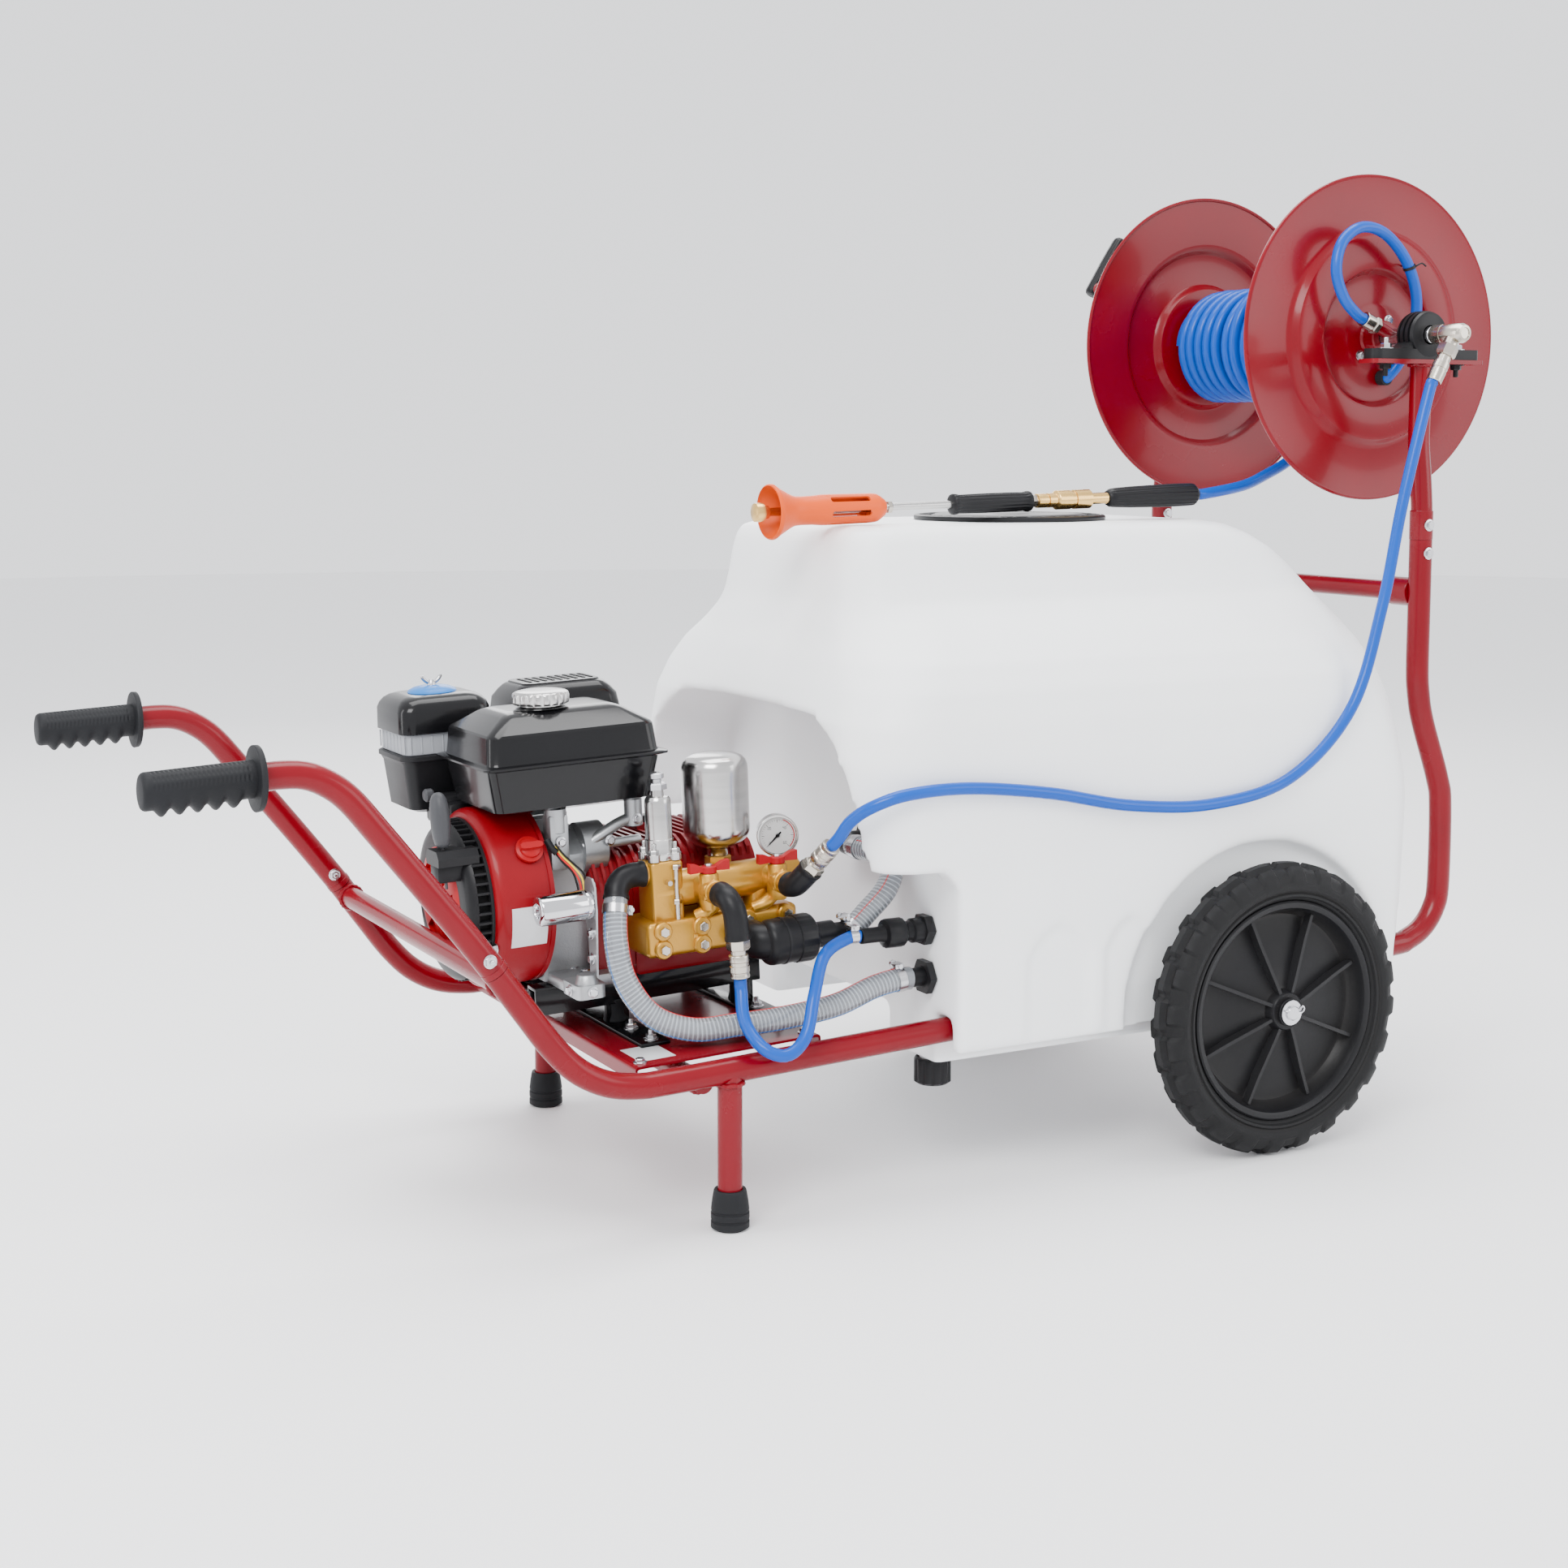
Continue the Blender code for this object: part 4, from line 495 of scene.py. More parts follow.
RIGHT_DIR = Vector((0.3, -0.66, 0.69)).normalized()
RIGHT_BEND = Vector((VALVE_X[1] + 0.013, -0.27, GALLERY_H + 0.024))
RIGHT_END = RIGHT_BEND + RIGHT_DIR * 0.046
BRANCH_END = Vector((0.7475, -0.356, 1.0465))
BRANCH_DIR = Vector((0.7475 - REEL.x, -0.001, 1.0465 - REEL.z)).normalized()
PRESSURE = hose_path(world(RIGHT_END), TURN @ RIGHT_DIR, [(-0.16, -0.326, 0.4985), (-0.142, -0.351, 0.519),
    (-0.098, FLANK_Y, 0.533), (-0.01, FLANK_Y, 0.534), (0.11, FLANK_Y, 0.519), (0.235, FLANK_Y, 0.494),
    (0.37, FLANK_Y, 0.486), (0.5, FLANK_Y, 0.512), (0.605, -0.365, 0.6), (0.66, -0.36, 0.735),
    (0.695, -0.3575, 0.878)], BRANCH_END, BRANCH_DIR, 0.016, 0.008)
MID_TOP = Vector((VALVE_X[0] + 0.005, -0.267, GALLERY_H - 0.05))
MID_END = Vector((VALVE_X[0] + 0.006, -0.268, 0.084))
MID_DIR = (MID_END - MID_TOP).normalized()
RETURN = hose_path(world(MID_END), TURN @ MID_DIR, [(-0.29, -0.292, 0.254), (-0.282, -0.326, 0.228),
    (-0.256, -0.34, 0.2195), (-0.228, -0.336, 0.24), (-0.207, -0.318, 0.284), (-0.177, -0.29, 0.325)],
    (-0.113, -0.268, 0.338), (-1, 0, 0), 0.016, 0.006)
BYPASS_A, BYPASS_B = Vector((-0.4, -0.173, 0.196)), Vector((-0.404, -0.178, 0.184))
BYPASS = hose_path(world(BYPASS_B), TURN @ (BYPASS_B - BYPASS_A),
    [(-0.42, -0.197, 0.345), (-0.412, -0.207, 0.3), (-0.385, -0.226, 0.258), (-0.34, -0.247, 0.24),
    (-0.285, -0.26, 0.2425), (-0.225, -0.266, 0.245), (-0.15, -0.268, 0.253), (-0.095, -0.268, 0.27)],
    (-0.04, -0.268, 0.276), (-1, 0, 0), 0.016, 0.008)
SUCTION = hose_path(world((-0.118, -0.238, 0.114)), TURN @ Vector((1, 0, 0)),
    [(-0.086, -0.236, 0.36), (-0.056, -0.235, 0.388), (-0.04, -0.222, 0.414), (-0.046, -0.19, 0.428)],
    (-0.052, -0.142, 0.43), (0, -1, 0), 0.012, 0.007)
LINK = hose_path((REEL.x - 0.058, -0.236, REEL.z + 0.024), (-0.018, 0, 0.0075),
    [(0.69, -0.235, 1.166), (0.676, -0.234, 1.204), (0.688, -0.232, 1.244), (0.724, -0.231, 1.266),
    (0.77, -0.229, 1.258), (0.812, -0.227, 1.222), (0.835, -0.225, 1.172), (0.832, -0.223, 1.12),
    (0.814, -0.218, 1.08)], (0.8, -0.1945, 1.056), (0, -1, 0), 0.012, 0.006)
TAIL = hose_path(LANCE_B, LANCE_DIR, [(0.64, -0.083, 0.899), (0.7, -0.064, 0.915), (0.752, -0.05, 0.934),
    (0.805, -0.036, 0.965), (0.848, -0.022, 1.015)], (0.8818, 0.0, 1.113), (0.0, 0.0, -1), 0.016, 0.007)
hose("hose_pressure", PRESSURE, HOSE_R, "blue_hose", "cart")
hose("hose_return", RETURN, HOSE_R, "blue_hose", "cart")
hose("hose_bypass", BYPASS, CLEAR_R, "clear_tube", "cart")
hose("hose_suction", SUCTION, CLEAR_R, "clear_tube", "cart")
hose("hose_reel_link", LINK, HOSE_R, "blue_hose", "reel")
hose("hose_tail", TAIL, HOSE_R, "blue_hose", "cart")


def helix_on(path, radius, pitch, wire, start=0.012, stop=0.012, sides=6, per_turn=14):
    """Wire wound round a curved hose."""
    total = length_of(path)
    marks, walked = [], 0.0
    for a, b in zip(path, path[1:]):
        marks.append(walked)
        walked += (b - a).length
    marks.append(walked)
    sides_at, side = [], None
    for i, p in enumerate(path):
        t = (path[min(i + 1, len(path) - 1)] - path[max(i - 1, 0)]).normalized()
        side = side_axes(t)[0] if side is None else (side - t * side.dot(t)).normalized()
        sides_at.append((side.copy(), t.cross(side)))
    points = []
    count = int((total - start - stop) / pitch * per_turn)
    k = 0
    for i in range(count + 1):
        s = start + i * pitch / per_turn
        while k < len(marks) - 2 and marks[k + 1] < s:
            k += 1
        f = (s - marks[k]) / max(marks[k + 1] - marks[k], 1e-9)
        p = path[k].lerp(path[k + 1], f)
        u = sides_at[k][0].lerp(sides_at[k + 1][0], f)
        v = sides_at[k][1].lerp(sides_at[k + 1][1], f)
        a = 2 * math.pi * i / per_turn
        points.append(p + u * (radius * math.cos(a)) + v * (radius * math.sin(a)))
    return sweep(points, wire, sides)


def stripe_on(path, radius, angle, width, start=0.015, stop=0.015):
    """Thin coloured line along a hose at one angle."""
    total, walked, side, pts = length_of(path), 0.0, None, []
    for i, p in enumerate(path):
        t = (path[min(i + 1, len(path) - 1)] - path[max(i - 1, 0)]).normalized()
        side = side_axes(t)[0] if side is None else (side - t * side.dot(t)).normalized()
        up = t.cross(side)
        if start < walked < total - stop:
            pts.append(p + side * (radius * math.cos(angle)) + up * (radius * math.sin(angle)))
        if i + 1 < len(path):
            walked += (path[i + 1] - p).length
    return sweep(pts, width, 8)


for tag, path in (("bypass", BYPASS), ("suction", SUCTION)):
    place("spiral_" + tag, helix_on(path, 0.0137, 0.0053, 0.0011), "spiral_wire")
    place("liner_" + tag, sweep(path, 0.012, 20), "liner_grey", crease=70)
    place("stripe_red_" + tag, stripe_on(path, 0.01495, 2.2, 0.0006), "ink_red")
    place("stripe_blue_" + tag, stripe_on(path, 0.01495, 4.6, 0.0006), "blue_cap")


def clamp(path, at, radius, body="cart"):
    """Worm-drive hose clamp: band, housing and screw."""
    walked = 0.0
    for a, b in zip(path, path[1:]):
        step = (b - a).length
        if walked + step >= at:
            break
        walked += step
    mid = a.lerp(b, (at - walked) / step)
    u, v, w = side_axes(b - a)
    pool("clamps", lathe([(-0.0055, radius + 0.0003), (-0.0055, radius + 0.0012), (0.0055, radius + 0.0012),
        (0.0055, radius + 0.0003)], mid, w, 36, loop=True), "zinc", body)
    base = mid + v * (radius + 0.004)
    frame_at = Matrix((u, v, w)).transposed().to_4x4()
    frame_at.translation = base
    pool("clamps", turn(block((-0.007, -0.0035, -0.0062), (0.007, 0.003, 0.0062), 0.0012), frame_at),
        "zinc", body)
    pool("clamps", lathe([(-0.01, 0.003), (0.008, 0.003), (0.0085, 0.0048), (0.0125, 0.0048),
        (0.013, 0.004)], base, u, 16), "zinc", body)


clamp(BYPASS, 0.013, CLEAR_R)
clamp(BYPASS, length_of(BYPASS) - 0.016, CLEAR_R)
clamp(SUCTION, 0.014, CLEAR_R)
clamp(SUCTION, length_of(SUCTION) - 0.013, CLEAR_R)
clamp(RETURN, length_of(RETURN) - 0.01, HOSE_R)

# ---- frame and handles -------------------------------------------------------------------
def rail_z(x):
    return RAIL_Z0 + RAIL_SLOPE * x


def bar(a, b, r, n=28):
    a, b = Vector(a), Vector(b)
    return lathe([(0, r - 0.0006), (0.0006, r), ((b - a).length - 0.0006, r), ((b - a).length, r - 0.0006)],
        a, b - a, n)


def weld(center, direction, r, size=0.0032):
    """Fillet bead round a tube where it meets another."""
    u, v, w = side_axes(direction)
    pts = []
    for k in range(72):
        a = 2 * math.pi * k / 72
        rr = r + size * (0.25 + 0.12 * math.sin(a * 18))
        pts.append(Vector(center) + u * (rr * math.cos(a)) + v * (rr * math.sin(a))
            + w * (0.0006 * math.sin(a * 7)))
    return sweep(pts, size, 8, loop=True)


RAIL = [(-0.617, 0.353), (-0.578, 0.298), (-0.548, 0.257), (-0.517, 0.225), (-0.48, 0.204), (-0.44, 0.1955),
    (-0.395, rail_z(-0.395)), (-0.2, rail_z(-0.2)), (0.1, rail_z(0.1)), (0.45, rail_z(0.45)),
    (0.742, rail_z(0.742)), (0.78, 0.249), (0.808, 0.264), (0.828, 0.29), (0.836, 0.325), (0.836, 0.44),
    (0.828, 0.482), (0.797, 0.566), (0.788, 0.606), (POST_X, 0.64), (POST_X, 0.72), (POST_X, 0.825)]
LEG_X = -0.315
frame_parts = []
for side in (-1, 1):
    y = side * RAIL_Y
    frame_parts.append(sweep(flow([(x, y, z) for x, z in RAIL], 0.009), TUBE_R, 32))
    frame_parts.append(bar((LEG_X, y, 0.0083), (LEG_X, y, rail_z(LEG_X) - 0.004), TUBE_R - 0.0006))
    frame_parts.append(weld((LEG_X, y, rail_z(LEG_X) - 0.0158), (0, 0, 1), TUBE_R - 0.0006))
    frame_parts.append(lathe([(-0.021, 0.0195), (-0.02, 0.0205), (0.02, 0.0205), (0.021, 0.0195)],
        (POST_X, side * 0.27, 0.75), (0, 1, 0), 40))
    frame_parts.append(weld((POST_X, y - side * 0.015, 0.75), (0, 1, 0), 0.0135))
    frame_parts.append(block((AXLE.x - 0.022, y - 0.006, 0.186), (AXLE.x + 0.022, y + 0.006, 0.234), 0.002))
    frame_parts.append(weld((-0.606, y - side * 0.015, 0.337), (0, 1, 0), 0.0145))
    for x in (-0.35, 0.425, 0.69):
        frame_parts.append(weld((x, y - side * 0.0145, rail_z(x) - 0.011), (0, 1, 0), 0.013))
frame_parts.append(bar((-0.606, -RAIL_Y, 0.337), (-0.606, RAIL_Y, 0.337), 0.0145))
for x in (-0.35, 0.425, 0.69):
    frame_parts.append(bar((x, -RAIL_Y, rail_z(x) - 0.011), (x, RAIL_Y, rail_z(x) - 0.011), 0.013))
frame_parts.append(bar((POST_X, -RAIL_Y, 0.75), (POST_X, RAIL_Y, 0.75), 0.0135))
place("frame_tubes", merge(*frame_parts), "red_paint", stands="chassis_frame")
place("axle_bar", merge(*[lathe([(0, 0.0085), (0.0015, 0.01), (0.11, 0.01)], (AXLE.x, s * 0.412, AXLE.z),
    (0, -s, 0), 32) for s in (-1, 1)]), "zinc")
for s in (-1, 1):
    pool("axle_pins", lathe([(0, 0.0165), (0.0004, 0.017), (0.0018, 0.017), (0.0022, 0.0165)],
        (AXLE.x, s * 0.4058, AXLE.z), (0, s, 0), 32), "zinc")
    loop = [(AXLE.x - 0.013, s * 0.4095, AXLE.z + 0.004), (AXLE.x, s * 0.4095, AXLE.z + 0.001),
        (AXLE.x + 0.013, s * 0.4095, AXLE.z - 0.001), (AXLE.x + 0.019, s * 0.4095, AXLE.z + 0.003),
        (AXLE.x + 0.017, s * 0.4095, AXLE.z + 0.008), (AXLE.x + 0.012, s * 0.4095, AXLE.z + 0.004)]
    pool("axle_pins", sweep(flow(loop, 0.002), 0.0013, 8), "zinc")

SEAM = Vector((-0.617, 0, 0.353))
SEAM_DIR = (Vector((-0.578, 0, 0.298)) - SEAM).normalized()
BOLT_FROM_SEAM = 0.022
HANDLE = [(-1.005, 0.5935), (-0.905, 0.5985), (-0.868, 0.601), (-0.838, 0.599), (-0.812, 0.588),
    (-0.787, 0.568), (-0.751, 0.524), (-0.666, 0.417), (SEAM.x - SEAM_DIR.x * 0.0008,
    SEAM.z - SEAM_DIR.z * 0.0008)]
GRIP_X0, GRIP_X1 = -1.0165, -0.886


def hand_grip(y):
    """Moulded rubber grip: dimpled body, five finger ridges below and a guard flange."""
    rings, n = [], 72
    count = 150
    for i in range(count + 1):
        x = GRIP_X0 + (GRIP_X1 - 0.009 - GRIP_X0) * i / count
        z = 0.5935 + (x + 1.005) * 0.05
        s = x - GRIP_X0
        end = min(1.0, math.sqrt(max(0.0, 1 - (1 - min(s / 0.006, 1)) ** 2)) * 0.25 + 0.75)
        wave = 0.5 - 0.5 * math.cos(2 * math.pi * (s - 0.012) / 0.0195) if 0.012 < s < 0.1095 else 0.0
        ring = []
        for k in range(n):
            a = 2 * math.pi * k / n
            c, sn = math.cos(a), math.sin(a)
            low = max(0.0, -sn) ** 1.5
            r = 0.0212 * end + 0.0078 * wave * low
            dent = (i % 6 in (2, 3, 4)) and (k % 6 in (2, 3, 4)) and sn > 0.05 and 10 < i < count - 6
            if dent:
                r -= 0.0007
            ring.append((x, y + r * c, z + r * sn))
        rings.append(ring)
    for s, r in ((0.0085, 0.024), (0.0078, 0.0365), (0.007, 0.037), (0.0018, 0.0365), (0.0008, 0.0355),
            (0.0, 0.03), (0.0, 0.0172)):
        x = GRIP_X1 - s
        z = 0.5935 + (x + 1.005) * 0.05
        rings.append([(x, y + r * math.cos(2 * math.pi * k / n), z + r * math.sin(2 * math.pi * k / n))
            for k in range(n)])
    return skin(rings)


for s, tag in ((-1, "near"), (1, "far")):
    y = s * RAIL_Y
    tube = sweep(flow([(x, y, z) for x, z in HANDLE], 0.008), TUBE_R, 32)
    collar = lathe([(-0.0085, TUBE_R), (-0.008, TUBE_R + 0.0007), (-0.001, TUBE_R + 0.0007),
        (-0.0006, TUBE_R)], SEAM + Vector((0, y, 0)), SEAM_DIR, 32)
    place("handle_" + tag, merge(tube, collar), "red_paint", stands="handle_tube_" + tag)
    place("grip_" + tag, hand_grip(y), "black_rubber", stands="handle_grip_" + tag, crease=50)
    at = SEAM - SEAM_DIR * BOLT_FROM_SEAM + Vector((0, y, 0))
    bolt(at + Vector((0, -TUBE_R + 0.0004, 0)), (0, -1, 0), 0.007, 0.006, 0.0082, 0.003)
    pool("clamp_nuts", hexagon(at + Vector((0, TUBE_R - 0.0004, 0)), (0, 1, 0), 0.007, 0.0056, 0.0082,
        0.003), "zinc")
    boot = [(0.0, 0.0195), (0.0008, 0.0205), (0.003, 0.024), (0.01, 0.024), (0.011, 0.0228),
        (0.013, 0.0228), (0.014, 0.024), (0.021, 0.024), (0.022, 0.0228), (0.024, 0.0228), (0.025, 0.0238),
        (0.036, 0.0225), (0.0485, 0.0203), (0.05, 0.0196), (0.05, 0.0163), (0.008, 0.0163)]
    place("boot_" + tag, lathe(boot, (LEG_X, y, 0.0), (0, 0, 1), 48), "black_rubber",
        stands="leg_foot_" + tag)

# ---- platform and engine rails -----------------------------------------------------------
PX0, PX1, PY, PT = -0.435, -0.18, 0.285, 0.0035


def folded_plate():
    """Deck plate with both edges folded down through a small radius."""
    outline = []
    r = 0.005
    for i in range(7):
        a = math.pi / 2 + i * math.pi / 12
        outline.append((PX0 + r + r * math.cos(a), -r + r * math.sin(a)))
    outline += [(PX0, -0.02), (PX0 + 0.003, -0.02), (PX0 + 0.003, -r)]
    outline += [(PX0 + r, -PT), (PX1 - r, -PT), (PX1 - 0.003, -r), (PX1 - 0.003, -0.02), (PX1, -0.02)]
    for i in range(7):
        a = i * math.pi / 12
        outline.append((PX1 - r + r * math.cos(a), -r + r * math.sin(a)))
    return prism(outline, "Y", -PY, PY)


place("deck_plate", folded_plate(), "red_paint", stands="engine_platform", group=True)


def angle_rails():
    parts = []
    for y in (-0.09, 0.06):
        parts.append(block((-0.488, y - 0.014, 0.0615), (-0.17, y + 0.014, 0.0665), 0.0012))
        parts.append(block((-0.488, y - 0.014, 0.03), (-0.17, y - 0.0095, 0.064), 0.0012))
        parts.append(block((-0.488, y + 0.0095, 0.03), (-0.17, y + 0.014, 0.064), 0.0012))
    parts.append(block((-0.488, -0.085, 0.034), (-0.47, 0.055, 0.06), 0.0015))
    for x in (-0.375, -0.195):
        parts.append(block((x - 0.02, -0.215, GAP), (x + 0.02, 0.125, 0.0055), 0.001))
        for y in (-0.09, 0.06):
            parts.append(block((x - 0.016, y - 0.0095, 0.0056), (x + 0.016, y - 0.0065, 0.058), 0.001))
    return merge(*parts)


place("engine_rails", angle_rails(), "black_paint", stands="mounting_rails", group=True)
for x in (-0.375, -0.195):
    for y in (-0.09, 0.06):
        pool("rubber_mounts", lathe([(0.0056, 0.0148), (0.007, 0.0155), (0.016, 0.013), (0.026, 0.013),
            (0.034, 0.0155), (0.0355, 0.0148)], (x, y, 0), (0, 0, 1), 32), "black_rubber", group=True)
    for y in (-0.2, -0.14, 0.11):
        bolt((x, y, 0.0055), (0, 0, 1), 0.0068, 0.0058, 0.0095, 0.006, group=True)
for y in (-0.268, 0.268):
    for x in (-0.421, -0.194):
        bolt((x, y, 0.0), (0, 0, 1), 0.006, 0.0045, 0.0085, group=True)

# ---- wheels ------------------------------------------------------------------------------
OUT, WIDE, BEAD = 0.403, 0.06, 0.15


def tyre_mesh(side):
    """Pneumatic tyre with chunky shoulder blocks and a zig-zag centre."""
    steps, rings = 240, []
    prof = [(BEAD, -0.0125), (BEAD + 0.002, -0.0095), (0.155, -0.0075), (0.157, -0.0035), (0.16, -0.003),
        (0.162, -0.005), (0.166, -0.0015), (0.172, 0.0), (0.178, -0.001), (0.184, -0.003),
        (0.1875, -0.0048), (0.1925, -0.008), (0.1965, -0.0128), (0.199, -0.0185), (0.2, -0.024),
        (0.2, -0.0275), (0.2, -0.0325)]
    prof = prof + [(r, -WIDE - w) for r, w in reversed(prof[:-1])]
    mid = len(prof) // 2
    for i in range(steps):
        a = 2 * math.pi * i / steps
        ring = []
        for k, (r, w) in enumerate(prof):
            half = 0.0 if w > -WIDE / 2 else 0.5
            phase = (a / (2 * math.pi) * 24 + half) % 1.0
            r = r - 0.0004
            if 8 <= k <= len(prof) - 9:
                block_on = 1.0 if 0.06 < phase < 0.6 else 0.0
                if abs(k - mid) <= 2:
                    zig = (a / (2 * math.pi) * 24 + 0.25) % 1.0
                    block_on = 1.0 if 0.12 < zig < 0.88 else 0.0
                elif abs(k - mid) == 3:
                    block_on = 0.0
                depth = 0.0062 if k not in (8, len(prof) - 9) else 0.0022
                r -= depth * (1 - block_on)
            ring.append((AXLE.x + r * math.sin(a), side * (OUT + w), AXLE.z + r * math.cos(a)))
        rings.append(ring)
    return skin(rings, loop=True)


def rim_mesh(side):
    """Moulded dished rim with a stepped hub and eight tapered ribs."""
    r0 = BEAD - GAP
    prof = [(0.0105, 0.002), (0.018, 0.002), (0.0188, 0.0012), (0.0192, -0.004), (0.0245, -0.004),
        (0.026, -0.006), (0.029, -0.017), (0.034, -0.0195), (0.06, -0.0245), (0.09, -0.0292),
        (0.122, -0.0335), (0.128, -0.033), (0.1325, -0.028), (0.137, -0.0165), (0.1385, -0.0125),
        (0.14, -0.0095), (0.1425, -0.008), (0.1475, -0.007), (r0, -0.009), (r0, -0.052), (0.1475, -0.053),
        (0.139, -0.05), (0.136, -0.042), (0.06, -0.038), (0.028, -0.03), (0.022, -0.057), (0.0105, -0.058)]
    stops = [(side * (OUT + w), r) for r, w in prof]
    dish = lathe(stops, (AXLE.x, 0, AXLE.z), (0, 1, 0), 120, loop=True)
    parts = [dish]
    for i in range(8):
        a = math.pi / 8 + i * math.pi / 4
        rib = prism([(0.02, -0.006), (0.045, -0.0085), (0.1, -0.016), (0.1345, -0.0185), (0.1365, -0.03),
            (0.024, -0.03)], "Z", -0.0024, 0.0024, 0.0009, 2)
        frame_at = Matrix(((math.cos(a), 0, math.sin(a), AXLE.x), (0, side, 0, side * OUT),
            (-math.sin(a), 0, math.cos(a), AXLE.z), (0, 0, 0, 1)))
        parts.append(turn(rib, frame_at))
    return merge(*parts)


for s, tag in ((-1, "near"), (1, "far")):
    place("tyre_" + tag, tyre_mesh(s), "tyre", "wheel_" + tag, "wheel_tyre_" + tag, crease=24)
    place("rim_" + tag, rim_mesh(s), "rim_plastic", "wheel_" + tag, "wheel_rim_" + tag, crease=30)

# ---- tank --------------------------------------------------------------------------------
DECK_Z, LID_X, LID_R, TANK_FRONT, BELLY_Z, SUMP_Z = 0.853, 0.285, 0.136, -0.01, 0.218, 0.16
TANK_LEVELS = [(SUMP_Z, -0.1, 0.762, 0.34, 0.06, 0.085), (0.3, -0.11, 0.776, 0.343, 0.06, 0.095),
    (0.425, -0.128, 0.785, 0.345, 0.065, 0.105), (0.465, -0.138, 0.787, 0.35, 0.07, 0.115),
    (0.5, -0.146, 0.787, 0.3545, 0.08, 0.13), (0.56, -0.15, 0.782, 0.3545, 0.09, 0.15),
    (0.61, -0.144, 0.772, 0.35, 0.095, 0.16), (0.65, -0.13, 0.76, 0.34, 0.1, 0.165),
    (0.684, -0.116, 0.747, 0.318, 0.105, 0.165), (0.712, -0.102, 0.735, 0.282, 0.105, 0.15),
    (0.738, -0.092, 0.722, 0.244, 0.09, 0.13), (0.756, -0.086, 0.708, 0.222, 0.07, 0.115),
    (0.785, -0.081, 0.682, 0.211, 0.06, 0.11), (0.812, -0.077, 0.648, 0.205, 0.055, 0.105),
    (0.834, -0.072, 0.606, 0.199, 0.05, 0.1), (0.847, -0.064, 0.57, 0.191, 0.045, 0.095),
    (DECK_Z, -0.046, 0.53, 0.174, 0.04, 0.09)]


def plan_ring(z, front, rear, half, rf, rr, steps=10):
    pts = []
    for cx, cy, r, a0 in ((front + rf, -half + rf, rf, math.pi), (rear - rr, -half + rr, rr, 1.5 * math.pi),
            (rear - rr, half - rr, rr, 0.0), (front + rf, half - rf, rf, 0.5 * math.pi)):
        for i in range(steps + 1):
            a = a0 + 0.5 * math.pi * i / steps
            pts.append((cx + r * math.cos(a), cy + r * math.sin(a), z))
    return pts


def bake(bm, tools=(), remesh=0.0, smooth=0):
    """Apply Boolean cuts, then remesh and relax so that every edge has a moulded radius."""
    def temp(part):
        bmesh.ops.recalc_face_normals(part, faces=part.faces)
        mesh = bpy.data.meshes.new("temp")
        part.to_mesh(mesh)
        part.free()
        obj = bpy.data.objects.new("temp", mesh)
        bpy.context.scene.collection.objects.link(obj)
        return obj
    host = temp(bm)
    made = [host]
    for tool, operation in tools:
        other = temp(tool)
        made.append(other)
        mod = host.modifiers.new("cut", "BOOLEAN")
        mod.operation, mod.solver, mod.object = operation, "EXACT", other
    if remesh:
        mod = host.modifiers.new("remesh", "REMESH")
        mod.mode, mod.voxel_size, mod.adaptivity = "VOXEL", remesh, 0.0
    if smooth:
        mod = host.modifiers.new("relax", "SMOOTH")
        mod.factor, mod.iterations = 0.5, smooth
    bpy.context.view_layer.update()
    graph = bpy.context.evaluated_depsgraph_get()
    mesh = bpy.data.meshes.new_from_object(host.evaluated_get(graph))
    out = bmesh.new()
    out.from_mesh(mesh)
    bpy.data.meshes.remove(mesh)
    for obj in made:
        data = obj.data
        bpy.data.objects.remove(obj, do_unlink=True)
        bpy.data.meshes.remove(data)
    return out


